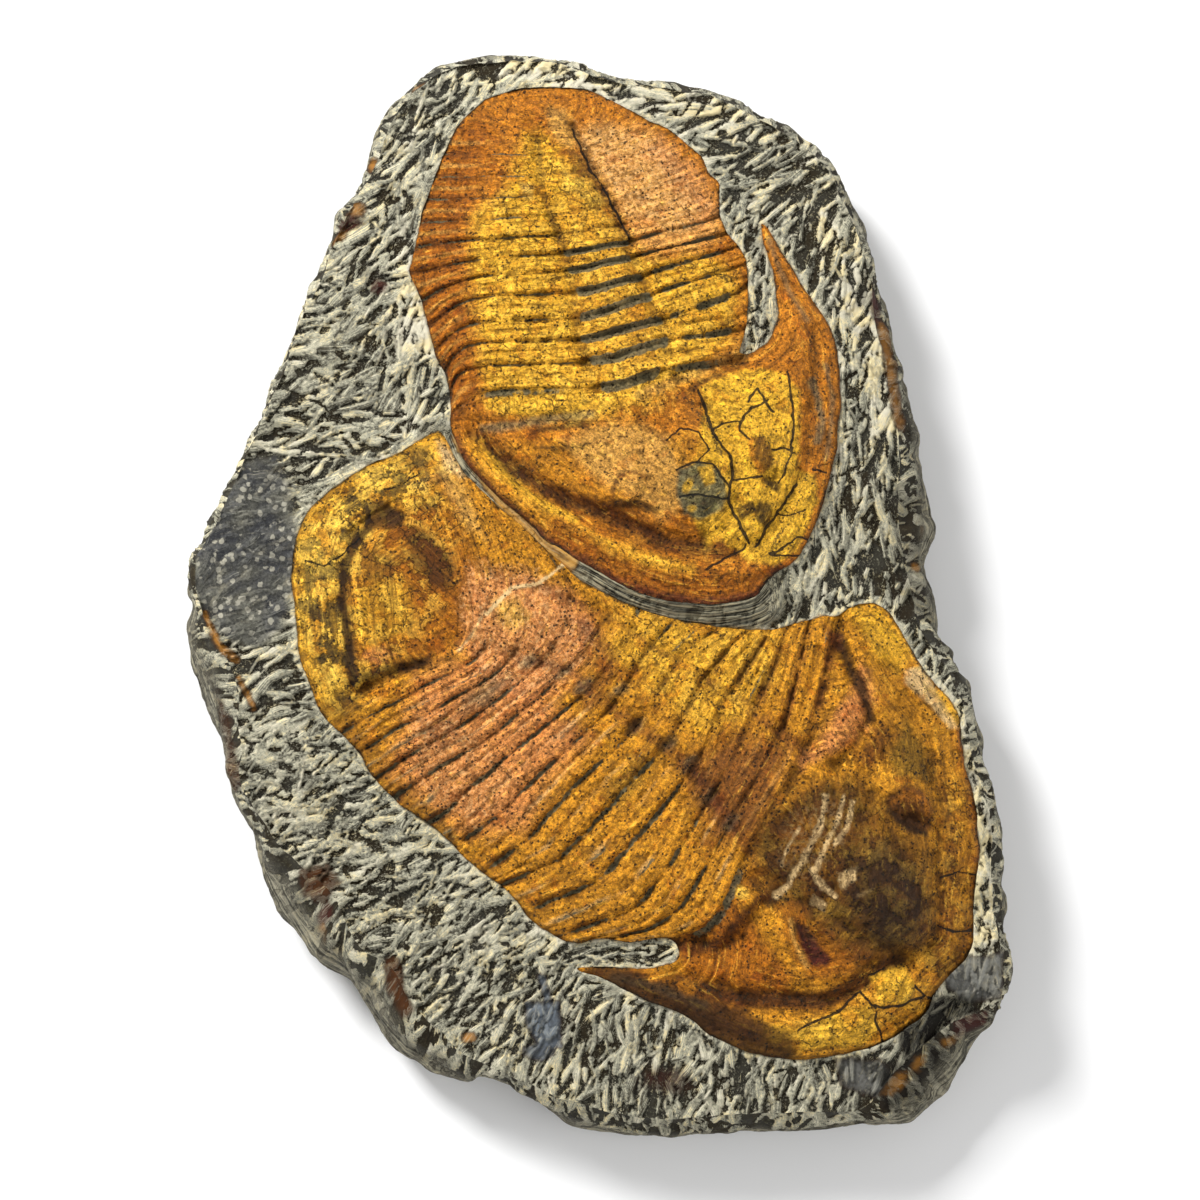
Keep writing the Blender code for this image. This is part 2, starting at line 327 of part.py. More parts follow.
def catmull(points, step, closed=True):
    """A smooth curve through the points, resampled at about the given step."""
    points = np.array(points, float)
    count = len(points)
    dense = []
    spans = count if closed else count - 1
    for i in range(spans):
        if closed:
            p0, p1, p2, p3 = (points[(i + j) % count] for j in (-1, 0, 1, 2))
        else:
            p0, p1, p2, p3 = (points[min(max(i + j, 0), count - 1)] for j in (-1, 0, 1, 2))
        for t in np.arange(0.0, 1.0, 0.1):
            dense.append(blend(p0, p1, p2, p3, t))
    dense.append(points[0] if closed else points[-1])
    dense = np.array(dense)
    lengths = np.linalg.norm(np.diff(dense[:, :2], axis=0), axis=1)
    along = np.concatenate([[0.0], np.cumsum(lengths)])
    pieces = max(3, int(round(along[-1] / step)))
    marks = np.linspace(0.0, along[-1], pieces + 1)
    if closed:
        marks = marks[:-1]
    return np.stack([np.interp(marks, along, dense[:, c]) for c in range(dense.shape[1])], axis=1)


def blend(p0, p1, p2, p3, t):
    """Point at share t between p1 and p2 of a Catmull-Rom curve."""
    return 0.5 * (
        2.0 * p1
        + (p2 - p0) * t
        + (2.0 * p0 - 5.0 * p1 + 4.0 * p2 - p3) * t * t
        + (3.0 * p1 - p0 - 3.0 * p2 + p3) * t * t * t
    )


def corner_loop(points, step):
    """The closed outline with its own corners kept, and longer spans cut into equal parts."""
    points = np.array(points, float)
    loop = []
    for start, end in zip(points, np.roll(points, -1, axis=0)):
        pieces = max(1, int(round(np.linalg.norm(end - start) / step)))
        for part in range(pieces):
            loop.append(start + (end - start) * part / pieces)
    return np.array(loop)


def moved_outward(loop, distance):
    """A closed loop with each point moved outward by the distance."""
    before = np.roll(loop, 1, axis=0)
    after = np.roll(loop, -1, axis=0)
    first = loop - before
    second = after - loop
    first /= np.linalg.norm(first, axis=1)[:, None]
    second /= np.linalg.norm(second, axis=1)[:, None]
    turning = 1.0 if signed_area(loop) > 0 else -1.0
    normal = np.stack([first[:, 1] + second[:, 1], -first[:, 0] - second[:, 0]], axis=1)
    normal /= np.linalg.norm(normal, axis=1)[:, None]
    side = np.stack([second[:, 1], -second[:, 0]], axis=1)
    mitre = 1.0 / np.maximum(0.5, np.sum(normal * side, axis=1))
    return loop + turning * distance * normal * mitre[:, None]


def signed_area(loop):
    """Area of a closed loop, above zero where it runs counter-clockwise."""
    x, y = loop[:, 0], loop[:, 1]
    return 0.5 * float(np.sum(x * np.roll(y, -1) - y * np.roll(x, -1)))


def inside(points, loop):
    """True for each point that lies inside the closed loop."""
    x, y = points[:, 0], points[:, 1]
    found = np.zeros(len(points), bool)
    for (x1, y1), (x2, y2) in zip(loop, np.roll(loop, -1, axis=0)):
        if y1 == y2:
            continue
        crosses = (y1 > y) != (y2 > y)
        found ^= crosses & (x < (x2 - x1) * (y - y1) / (y2 - y1) + x1)
    return found


def distance_to(points, line, closed=False):
    """Distance of each point to a line given by its corners."""
    line = np.array(line, float)
    ends = np.roll(line, -1, axis=0) if closed else line[1:]
    starts = line if closed else line[:-1]
    nearest = np.full(len(points), 1e9)
    for start, end in zip(starts, ends):
        span = end - start
        share = np.clip((points - start) @ span / max(span @ span, 1e-9), 0.0, 1.0)
        nearest = np.minimum(nearest, np.linalg.norm(points - start - share[:, None] * span, axis=1))
    return nearest


def smooth_sheet(knots):
    """A smooth height function through the knots (x, y, height)."""
    knots = np.array(knots, float)
    places = knots[:, :2]
    count = len(knots)

    def kernel(points):
        gap = points[:, None, :] - places[None, :, :]
        return np.sqrt(np.sum(gap * gap, axis=2) + SHEET_SOFTNESS**2)

    system = np.zeros((count + 3, count + 3))
    system[:count, :count] = kernel(places) - SHEET_LOOSENESS * np.eye(count)
    system[:count, count] = 1.0
    system[:count, count + 1 :] = places
    system[count:, :count] = system[:count, count:].T
    weights = np.linalg.solve(system, np.concatenate([knots[:, 2], np.zeros(3)]))

    def height(points):
        return kernel(points) @ weights[:count] + weights[count] + points @ weights[count + 1 :]

    return height


def lump_sum(points, lumps):
    """Height change of all the round lumps and pits at the points."""
    total = np.zeros(len(points))
    for x, y, half_length, half_width, turn, change in lumps:
        c, s = math.cos(math.radians(turn)), math.sin(math.radians(turn))
        dx, dy = points[:, 0] - x, points[:, 1] - y
        along = (dx * c + dy * s) / half_length
        across = (-dx * s + dy * c) / half_width
        total += change * np.exp(-(along**2 + across**2))
    return total


def line_sum(points, lines):
    """Height change of all the furrows and ridges along lines."""
    total = np.zeros(len(points))
    for change, half_width, line in lines:
        total += change * np.exp(-((distance_to(points, line) / half_width) ** 2))
    return total


class Net:
    """Curved coordinates over a segmented body: u runs across it, v from one furrow to the next."""

    FINE = 20

    def __init__(self, rows):
        rows = np.array(rows, float)
        self.rows = rows
        self.across = rows.shape[1] - 1
        self.along = rows.shape[0] - 1
        us = np.linspace(0.0, self.across, self.across * self.FINE + 1)
        vs = np.linspace(0.0, self.along, self.along * self.FINE + 1)
        grid = np.array([self.line(v, us) for v in vs])
        self.places = grid.reshape(-1, 2)
        self.values = np.array([(u, v) for v in vs for u in us])
        self.tree = kdtree.KDTree(len(self.places))
        for index, (x, y) in enumerate(self.places):
            self.tree.insert(Vector((x, y, 0.0)), index)
        self.tree.balance()

    def line(self, v, us):
        """Points across the body at the given v."""
        i = min(int(v), self.along - 1)
        r = [self.rows[min(max(i + j, 0), self.along)] for j in (-1, 0, 1, 2)]
        row = blend(r[0], r[1], r[2], r[3], v - i)
        points = []
        for u in us:
            k = min(int(u), self.across - 1)
            p = [row[min(max(k + j, 0), self.across)] for j in (-1, 0, 1, 2)]
            points.append(blend(p[0], p[1], p[2], p[3], u - k))
        return np.array(points)

    def lookup(self, points):
        """(u, v) of each point, and how far it lies outside the net."""
        found = np.zeros((len(points), 3))
        for index, (x, y) in enumerate(points):
            _, nearest, gap = self.tree.find(Vector((x, y, 0.0)))
            found[index] = (*self.values[nearest], gap)
        return found


def ribs(points, net, relief):
    """Height change of the body segments: a narrow furrow at each whole v, a rounded rib between."""
    found = net.lookup(points)
    u, v, gap = found[:, 0], found[:, 1], found[:, 2]
    in_axis = 1.0 / (1.0 + np.exp(-(u - relief["axis_from"]) * 9.0))
    in_axis *= 1.0 / (1.0 + np.exp((u - relief["axis_to"]) * 9.0))
    middle = 0.5 * (relief["axis_from"] + relief["axis_to"])
    beside = np.where(u < middle, relief["left"], relief["right"])
    depth = relief["axis"] * in_axis + beside * (1.0 - in_axis)
    depth *= np.clip((v - relief["starts"]) / (relief["full"] - relief["starts"]), 0.12, 1.0)
    # The relief fades out at the last furrow and beyond the net.
    depth *= np.clip((net.along + 0.35 - v) / 0.4, 0.0, 1.0)
    depth *= np.exp(-((gap / 2.5) ** 2))
    from_furrow = 0.5 - np.abs((v % 1.0) - 0.5)
    furrow = np.exp(-((from_furrow / FURROW_SHARE) ** 2))
    return depth * (RIB_ROUND * np.sin(math.pi * (v % 1.0)) ** 2 - furrow)


def grid_points(loop, spacing, rng):
    """Staggered points over the box of a loop, slightly shuffled."""
    low, high = loop.min(axis=0), loop.max(axis=0)
    rows = []
    for j, y in enumerate(np.arange(low[1], high[1], spacing * 0.87)):
        xs = np.arange(low[0] + (j % 2) * spacing * 0.5, high[0], spacing)
        rows.append(np.stack([xs, np.full(len(xs), y)], axis=1))
    points = np.concatenate(rows)
    return points + rng.uniform(-GRID_SHUFFLE, GRID_SHUFFLE, points.shape) * spacing


def runs_inside(line, loop, clearance):
    """The parts of a line that lie inside the loop and clear of it."""
    return runs(line, inside(line, loop) & (distance_to(line, loop, closed=True) > clearance))


def runs_clear(line, others, clearance):
    """The parts of a line that stay clear of the other lines."""
    gap = np.full(len(line), 1e9)
    for other in others:
        gap = np.minimum(gap, distance_to(line, other))
    return runs(line, gap > clearance)


def runs(line, good):
    """The line cut into its runs of good points, without single points."""
    parts, current = [], []
    for point, ok in zip(line, good):
        if ok:
            current.append(point)
            continue
        if len(current) > 1:
            parts.append(np.array(current))
        current = []
    if len(current) > 1:
        parts.append(np.array(current))
    return parts


def enclosed(out, faces, loops, loop_edges):
    """True for each face within the first loop and outside the others, spread from face to face."""
    corners = out[faces]
    side1, side2 = corners[:, 1] - corners[:, 0], corners[:, 2] - corners[:, 0]
    largest = int(np.argmax(np.abs(side1[:, 0] * side2[:, 1] - side1[:, 1] * side2[:, 0])))
    centre = corners[largest].mean(axis=0)[None, :]
    state = bool(inside(centre, loops[0])[0])
    for loop in loops[1:]:
        state = state and not bool(inside(centre, loop)[0])
    shared = {}
    for number, (a, b, c) in enumerate(faces.tolist()):
        for pair in ((a, b), (b, c), (c, a)):
            shared.setdefault(frozenset(pair), []).append(number)
    found = {largest: state}
    waiting = [largest]
    while waiting:
        number = waiting.pop()
        a, b, c = faces[number].tolist()
        for pair in (frozenset((a, b)), frozenset((b, c)), frozenset((c, a))):
            for other in shared[pair]:
                if other not in found:
                    found[other] = found[number] != (pair in loop_edges)
                    waiting.append(other)
    return np.array([found.get(number, False) for number in range(len(faces))])


def shifted(line, offset):
    """An open line moved sideways by the offset."""
    tangent = np.gradient(line, axis=0)
    tangent /= np.linalg.norm(tangent, axis=1)[:, None]
    return line + offset * np.stack([-tangent[:, 1], tangent[:, 0]], axis=1)


def filled(loops, lines, free):
    """Triangles between closed loops (the first is the outer one), through the lines and points."""
    places, edges = [], []
    for loop in loops:
        first = len(places)
        places.extend(loop)
        edges.extend((first + i, first + (i + 1) % len(loop)) for i in range(len(loop)))
    for line in lines:
        first = len(places)
        places.extend(line)
        edges.extend((first + i, first + i + 1) for i in range(len(line) - 1))
    places.extend(free)
    vectors = [Vector((float(x), float(y))) for x, y in places]
    out, _, faces, originals, _, _ = delaunay_2d_cdt(vectors, edges, [], 0, 1e-5)
    out = np.array([(p.x, p.y) for p in out])
    faces = np.array([tuple(f) for f in faces])
    index_of = {}
    for new, old in enumerate(originals):
        for one in old:
            index_of[one] = new
    loop_edges = set()
    first = 0
    for loop in loops:
        ends = [index_of[first + i] for i in range(len(loop))]
        loop_edges |= {frozenset(pair) for pair in zip(ends, ends[1:] + ends[:1])}
        first += len(loop)
    faces = faces[enclosed(out, faces, loops, loop_edges)]
    corners = out[faces]
    side1, side2 = corners[:, 1] - corners[:, 0], corners[:, 2] - corners[:, 0]
    turned = (side1[:, 0] * side2[:, 1] - side1[:, 1] * side2[:, 0]) < 0
    faces[turned] = faces[turned][:, ::-1]
    loop_count = sum(len(loop) for loop in loops)
    return out, faces, [index_of[i] for i in range(loop_count)]


def strip(upper, lower):
    """Faces of a wall between two closed rings of points, both counter-clockwise from above."""
    faces = []
    count = len(upper)
    for i in range(count):
        j = (i + 1) % count
        faces.append((upper[i], lower[i], lower[j]))
        faces.append((upper[i], lower[j], upper[j]))
    return faces


def add_object(name, points, faces):
    """A smooth-shaded mesh object of the points (millimetres) that the faces use."""
    used = sorted({i for face in faces for i in face})
    new_index = {old: new for new, old in enumerate(used)}
    mesh = bpy.data.meshes.new(name)
    mesh.from_pydata(
        [tuple(float(c) * TO_METRES for c in points[i]) for i in used],
        [],
        [tuple(new_index[i] for i in face) for face in faces],
    )
    mesh.validate()
    mesh.shade_smooth()
    material = bpy.data.materials.new(name + "_material")
    material.use_nodes = True
    shader = material.node_tree.nodes["Principled BSDF"]
    shader.inputs["Base Color"].default_value = (*COLOURS[name], 1.0)
    shader.inputs["Roughness"].default_value = 0.7
    mesh.materials.append(material)
    body = bpy.data.objects.new(name, mesh)
    bpy.context.scene.collection.objects.link(body)
    return body


def recentre():
    """Moves every mesh so that the slab's box is centred over the origin."""
    corners = np.array([v.co[:2] for v in bpy.data.objects["matrix_slab"].data.vertices])
    middle = 0.5 * (corners.min(axis=0) + corners.max(axis=0))
    for body in bpy.data.objects:
        for vertex in body.data.vertices:
            vertex.co.x -= middle[0]
            vertex.co.y -= middle[1]


def with_turn(loop):
    """The loop running counter-clockwise."""
    return loop if signed_area(loop) > 0 else loop[::-1]


def lump_rings(lumps):
    """A closed line around each high lump or deep pit, and a short one through its middle."""
    rings = []
    for x, y, half_length, half_width, turn, change in lumps:
        if abs(change) < RINGED_LUMP:
            continue
        c, s = math.cos(math.radians(turn)), math.sin(math.radians(turn))
        angles = np.linspace(0.0, 2.0 * math.pi, RING_POINTS + 1)
        along, across = half_length * np.cos(angles), half_width * np.sin(angles)
        rings.append(np.stack([x + along * c - across * s, y + along * s + across * c], axis=1))
        third = half_length / 3.0
        rings.append(np.array([(x - third * c, y - third * s), (x + third * c, y + third * s)]))
    return rings


def fossil(name, outline, height, net, relief, lines, lumps, rng):
    """One trilobite: its sculpted top, its steep edge and its flat underside."""
    guides = []
    for ring in lump_rings(lumps):
        guides.extend(runs_inside(ring, outline, EDGE_CLEARANCE))
    for _, half_width, line in lines:
        middle = catmull(line, LINE_POINT_STEP, closed=False)
        for side in (-1.0, 0.0, 1.0):
            beside = shifted(middle, side * half_width * SHOULDER_FACTOR)
            for part in runs_inside(beside, outline, EDGE_CLEARANCE):
                guides.extend(runs_clear(part, guides, CROSSING_CLEARANCE))
    features = list(guides)
    for row in range(relief["first_furrow"], net.along + 1):
        for v in (row - FURROW_EDGE, row, row + FURROW_EDGE):
            if v < 0.0 or v > net.along:
                continue
            whole = net.line(v, np.linspace(0.0, net.across, 60))
            across = catmull(whole, RIB_POINT_STEP, closed=False)
            for part in runs_inside(across, outline, EDGE_CLEARANCE):
                guides.extend(runs_clear(part, features, RIB_CLEARANCE))
    free = grid_points(outline, FOSSIL_GRID, rng)
    free = free[inside(free, outline)]
    free = free[distance_to(free, outline, closed=True) > EDGE_CLEARANCE]
    for guide in guides:
        free = free[distance_to(free, guide) > LINE_CLEARANCE]
    flat, top_faces, rim = filled([outline], guides, free)
    count = len(flat)
    heights = height(flat)
    top = np.column_stack([true_place(flat, heights, FOSSIL_PLANE), heights])
    floor = np.full(len(outline), FOSSIL_FLOOR)
    bottom = np.column_stack([true_place(outline, floor, FOSSIL_PLANE), floor])
    points = np.concatenate([top, bottom])
    lower = list(range(count, count + len(outline)))
    faces = [tuple(f) for f in top_faces] + strip(rim, lower)
    _, under, order = filled([outline], [], np.zeros((0, 2)))
    back = {new: old for old, new in enumerate(order)}
    faces += [tuple(count + back[i] for i in f[::-1]) for f in under]
    return add_object(name, points, faces)


def matrix(name, rim, rings, pockets, height, rng):
    """The slab: rough top with two pockets, broken side walls and a sawn underside."""
    rim_flat, rim_heights = rim
    free = grid_points(rim_flat, MATRIX_GRID, rng)
    free = free[inside(free, rim_flat)]
    free = free[distance_to(free, rim_flat, closed=True) > MATRIX_EDGE_SHARE * MATRIX_GRID]
    for pocket in pockets:
        free = free[~inside(free, pocket)]
        free = free[distance_to(free, pocket, closed=True) > MATRIX_EDGE_SHARE * MATRIX_GRID]
    flat, top_faces, loops = filled([rim_flat, *pockets], [], free)
    heights = height(flat)
    edge = loops[: len(rim_flat)]
    heights[edge] = rim_heights
    points = [np.column_stack([true_place(flat, heights, FOSSIL_PLANE), heights])]
    faces = [tuple(f) for f in top_faces]
    count = len(flat)
    upper = edge
    for ring in rings:
        points.append(ring)
        lower = list(range(count, count + len(ring)))
        count += len(ring)
        faces += strip(upper, lower)
        upper = lower
    _, under, order = filled([rings[-1][:, :2]], [], np.zeros((0, 2)))
    back = {new: old for old, new in enumerate(order)}
    faces += [tuple(upper[back[i]] for i in f[::-1]) for f in under]
    first = len(rim_flat)
    for pocket in pockets:
        lip = loops[first : first + len(pocket)]
        first += len(pocket)
        level = np.full(len(pocket), POCKET_FLOOR)
        points.append(np.column_stack([true_place(pocket, level, FOSSIL_PLANE), level]))
        lower = list(range(count, count + len(pocket)))
        count += len(pocket)
        faces += [f[::-1] for f in strip(lip, lower)]
        _, bed, order = filled([pocket], [], np.zeros((0, 2)))
        back = {new: old for old, new in enumerate(order)}
        faces += [tuple(lower[back[i]] for i in f) for f in bed]
    return add_object(name, np.concatenate(points), faces)


def slab_rings(rng):
    """The rim of the top face, laid out on FOSSIL_PLANE, and the rings of the side wall."""
    edge = catmull(SLAB_EDGE, RIM_STEP)
    if signed_area(edge[:, :2]) < 0:
        edge = edge[::-1]
    count = len(edge)

    def rough(amount, columns=1):
        values = rng.uniform(-amount, amount, (count, columns))
        return values[:, 0] if columns == 1 else values

    rim_heights = edge[:, 2] + rough(RIM_ROUGHNESS)
    rim = true_place(edge[:, :2], rim_heights, SLAB_PLANE)
    share = ((FOSSIL_PLANE - rim_heights) / (EYE[2] - rim_heights))[:, None]
    rim_flat = rim + share * (np.array(EYE[:2]) - rim)
    wide = true_place(edge[:, 3:5], np.full(count, WIDEST_HEIGHT), SLAB_PLANE)
    wide = moved_outward(wide, -WIDEST_INSET) + rough(OTHER_WALL_ROUGHNESS, 2)
    upper = moved_outward(rim + UPPER_WALL_SHARE * (wide - rim), UPPER_WALL_BULGE)
    upper += rough(OTHER_WALL_ROUGHNESS, 2)
    middle = moved_outward(rim + MIDDLE_WALL_SHARE * (wide - rim), MIDDLE_WALL_BULGE)
    middle += rough(WALL_ROUGHNESS, 2)
    lower = moved_outward(wide, -LOWER_WALL_INSET) + rough(OTHER_WALL_ROUGHNESS, 2)
    base = moved_outward(wide, -BASE_INSET)
    upper_heights = rim_heights - UPPER_WALL_DROP + rough(WALL_HEIGHT_ROUGHNESS)
    middle_heights = 0.5 * (rim_heights - UPPER_WALL_DROP + WIDEST_HEIGHT)
    middle_heights += rough(WALL_HEIGHT_ROUGHNESS)
    rings = [
        np.column_stack([upper, upper_heights]),
        np.column_stack([middle, middle_heights]),
        np.column_stack([wide, WIDEST_HEIGHT + rough(WALL_HEIGHT_ROUGHNESS)]),
        np.column_stack([lower, LOWER_WALL_HEIGHT + rough(LOWER_HEIGHT_ROUGHNESS)]),
        np.column_stack([base, np.zeros(count)]),
    ]
    return (rim_flat, rim_heights), rings


def main():
    for old in list(bpy.data.objects):
        bpy.data.objects.remove(old)
    rng = np.random.default_rng(SEED)
    rim, rings = slab_rings(rng)
    small = with_turn(corner_loop(SMALL_OUTLINE, OUTLINE_STEP))
    large = with_turn(corner_loop(LARGE_OUTLINE, OUTLINE_STEP))
    small_net, large_net = Net(SMALL_NET), Net(LARGE_NET)
    small_sheet, large_sheet = smooth_sheet(SMALL_KNOTS), smooth_sheet(LARGE_KNOTS)
    rim_knots = [(x, y, z) for (x, y), z in zip(rim[0][::2], rim[1][::2])]
    matrix_sheet = smooth_sheet(MATRIX_KNOTS + rim_knots)

    def small_height(points):
        body = small_sheet(points) + ribs(points, small_net, SMALL_RIBS)
        return body + line_sum(points, SMALL_LINES) + lump_sum(points, SMALL_LUMPS)

    def large_height(points):
        body = large_sheet(points) + ribs(points, large_net, LARGE_RIBS)
        return body + line_sum(points, LARGE_LINES) + lump_sum(points, LARGE_LUMPS)

    def matrix_height(points):
        rough = rng.uniform(-TOP_ROUGHNESS, TOP_ROUGHNESS, len(points))
        return matrix_sheet(points) + rough + lump_sum(points, MATRIX_LUMPS)

    pockets = [moved_outward(large, FIT_GAP), moved_outward(small, FIT_GAP)]
    matrix("matrix_slab", rim, rings, pockets, matrix_height, rng)
    fossil("large_trilobite", large, large_height, large_net, LARGE_RIBS, LARGE_LINES, LARGE_LUMPS, rng)
    fossil("small_trilobite", small, small_height, small_net, SMALL_RIBS, SMALL_LINES, SMALL_LUMPS, rng)
    recentre()


main()
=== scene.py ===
"""Trilobite plate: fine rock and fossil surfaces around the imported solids."""

import itertools
import math

import bpy
import numpy as np
from mathutils import Matrix, Vector, kdtree
from mathutils.geometry import delaunay_2d_cdt


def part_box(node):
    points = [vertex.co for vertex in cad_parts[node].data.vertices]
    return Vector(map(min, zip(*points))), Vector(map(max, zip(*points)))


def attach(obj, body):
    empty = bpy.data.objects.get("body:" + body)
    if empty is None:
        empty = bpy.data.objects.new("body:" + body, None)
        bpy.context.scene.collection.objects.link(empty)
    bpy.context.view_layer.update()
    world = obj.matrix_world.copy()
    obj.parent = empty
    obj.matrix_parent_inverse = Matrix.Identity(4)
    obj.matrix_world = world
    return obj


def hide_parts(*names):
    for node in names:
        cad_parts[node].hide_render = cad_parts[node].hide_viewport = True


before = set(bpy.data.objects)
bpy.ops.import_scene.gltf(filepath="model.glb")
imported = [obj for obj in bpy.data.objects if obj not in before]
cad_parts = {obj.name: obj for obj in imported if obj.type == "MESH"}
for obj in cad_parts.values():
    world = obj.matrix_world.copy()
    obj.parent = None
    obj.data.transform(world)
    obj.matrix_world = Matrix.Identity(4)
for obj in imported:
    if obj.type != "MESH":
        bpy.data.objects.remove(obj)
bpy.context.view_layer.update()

# Lengths in this file are millimetres, and the finished meshes are scaled to metres.
TO_METRES = 0.001

# Outlines and features are laid out as seen from EYE, on level planes at two heights, as in the
# part's own source. true_place() moves a point along its line of sight to its real height.
EYE = (-65.7, -113.8, 975.2)
FOSSIL_PLANE = 42.0
SLAB_PLANE = 36.0
POCKET_FLOOR = 30.0
FOSSIL_FLOOR = 30.35
WIDEST_HEIGHT = 16.0
LOWER_WALL_HEIGHT = 6.0
UPPER_WALL_DROP = 6.5
BASE_INSET = 5.0
CAMERA_TARGET = (0.0, 0.0, 40.0)
CAMERA_LENS, CAMERA_SENSOR = 85.0, 36.0
CAMERA_TILT, CAMERA_TURN = 8.0, -30.0
HALF_VIEW = 200.0
# Studio, in metres: half the floor's side, and the lamps' places, sizes and powers.
FLOOR_HALF = 6.0
LAMP_TARGET = (0.0, 0.0, 0.04)
LAMPS = {"key": ((-1.2, 1.3, 1.35), 0.6, 62.0), "fill": ((1.3, -0.6, 1.6), 1.6, 12.0)}
WORLD_STRENGTH = 0.5

# Slab edge, clockwise from the top left: break of the top face (x, y, height), then the widest
# place of the side wall (x, y), all laid out on SLAB_PLANE.
SLAB_EDGE = [
    (-50, 183, 34, -50, 183.3), (-35, 185.5, 34.5, -35, 186), (-20.5, 186, 35, -20.5, 186.3),
    (-10.5, 184.4, 35, -10.5, 184.6), (0, 181, 35.5, 0, 181.2), (10, 178.5, 35.5, 10, 178.7),
    (20, 178.3, 35.5, 20, 178.6), (28, 176.3, 35.5, 28, 176.5), (36, 176, 35, 36, 176.2),
    (50, 170, 35, 50, 170.2), (62, 163.5, 35, 62.2, 163.7), (70.6, 158, 34.5, 71, 158.3),
    (78, 151, 34, 80, 149.8), (82, 143, 34, 83.5, 143), (86, 134, 35, 87.2, 134.5),
    (90, 123.5, 35.5, 91, 123.5), (93, 112.5, 36, 94.5, 112.3), (93.5, 108, 35.5, 95.5, 108.5),
    (94, 100, 36, 97, 101), (95.5, 92, 36.5, 99.5, 92), (98, 84, 37, 102.5, 84),
    (99.5, 72, 37.5, 105, 72), (101.5, 62, 38, 107, 62.5), (102.5, 52, 38.5, 108.5, 53),
    (102, 42, 38.5, 109.3, 43), (101.5, 34, 38, 112, 34), (102, 26, 37.5, 113.3, 26),
    (103, 17, 37.5, 111, 16.5), (105, 9, 38, 111, 9), (106.5, 2, 38.5, 112.4, 1),
    (108, -7, 38.5, 113.2, -8), (113.5, -16, 38, 117, -16), (118.5, -24, 37.5, 121.5, -24),
    (122.5, -33, 37.5, 125.2, -33), (124.5, -43, 37.5, 127.5, -43), (126.5, -54, 37, 129, -54),
    (130, -65, 37, 132.5, -65), (131.5, -75, 36.5, 134.3, -75), (131.5, -88, 36.5, 134.5, -88),
    (132, -100, 36, 135, -100), (133.5, -112, 36, 136, -112), (134.5, -122, 35.5, 136.5, -122),
    (133.5, -129, 34, 136, -129), (129, -135, 33, 132.5, -136.5), (121, -138, 32.5, 127.5, -143.5),
    (113, -143, 32, 122, -152), (104, -150.5, 32, 115, -161.5), (96, -158, 33, 108, -169),
    (91, -165, 33, 102.5, -172.2), (84, -168.5, 33.5, 93, -173), (70, -169, 34, 71, -174.6),
    (55, -169, 34, 55, -174.8), (40, -170, 33.5, 40, -175.6), (25, -171, 33, 25, -176.8),
    (10, -170, 33, 10, -176.4), (-3, -167, 33.5, -5, -173.5), (-14, -163.5, 34, -16, -168.8),
    (-25, -158.5, 34.5, -26.5, -162), (-37, -153.5, 35, -39.5, -157.2),
    (-45, -149.5, 35, -45, -158.4), (-51, -143.5, 35, -54, -155.5),
    (-58.5, -137, 35.5, -63, -150.3), (-64, -129.5, 36, -71.5, -142.5),
    (-68.5, -121.5, 36, -76, -134), (-78, -116, 36, -82.5, -125.3), (-82.5, -109, 36, -90, -120.5),
    (-85.5, -101.5, 36.5, -98, -113.8), (-89.5, -96, 36.5, -104.5, -104.5),
    (-99, -88, 36, -110, -94), (-106, -81.5, 36, -112.8, -83), (-110.5, -75, 36, -114.5, -76.5),
    (-116, -67, 36.5, -120, -67.5), (-119, -58, 37, -122.5, -58), (-118.5, -50, 37, -123.5, -50),
    (-119.5, -42, 37, -127, -42.5), (-119.5, -33, 37, -130.5, -33.5),
    (-122, -24, 36.5, -134, -25.5), (-126, -15.5, 36.5, -136, -16), (-130.5, -8, 36, -135.6, -7),
    (-133, -2.5, 36, -134.5, -1.5), (-134.5, 6, 35.5, -135.8, 6), (-134.5, 12, 35.5, -135.6, 12.2),
    (-130, 21, 36, -131, 21), (-125.5, 30, 36.5, -126.2, 30.2), (-121.5, 40, 37, -122, 40),
    (-115.5, 54, 37, -116, 54), (-109, 70, 37, -109.6, 70), (-103.8, 84, 36.5, -104.6, 84),
    (-100.8, 95, 36.5, -101.4, 95), (-94.5, 107, 36, -95.2, 107), (-90.5, 119, 35.5, -91, 119),
    (-85.5, 131, 35, -86.3, 131), (-80, 141, 34, -81.2, 141), (-75.5, 150, 33.5, -79, 150.5),
    (-73, 158, 33.5, -76.6, 158.5), (-68.5, 168, 34, -71, 168), (-60, 177, 34, -61.2, 177.6),
]

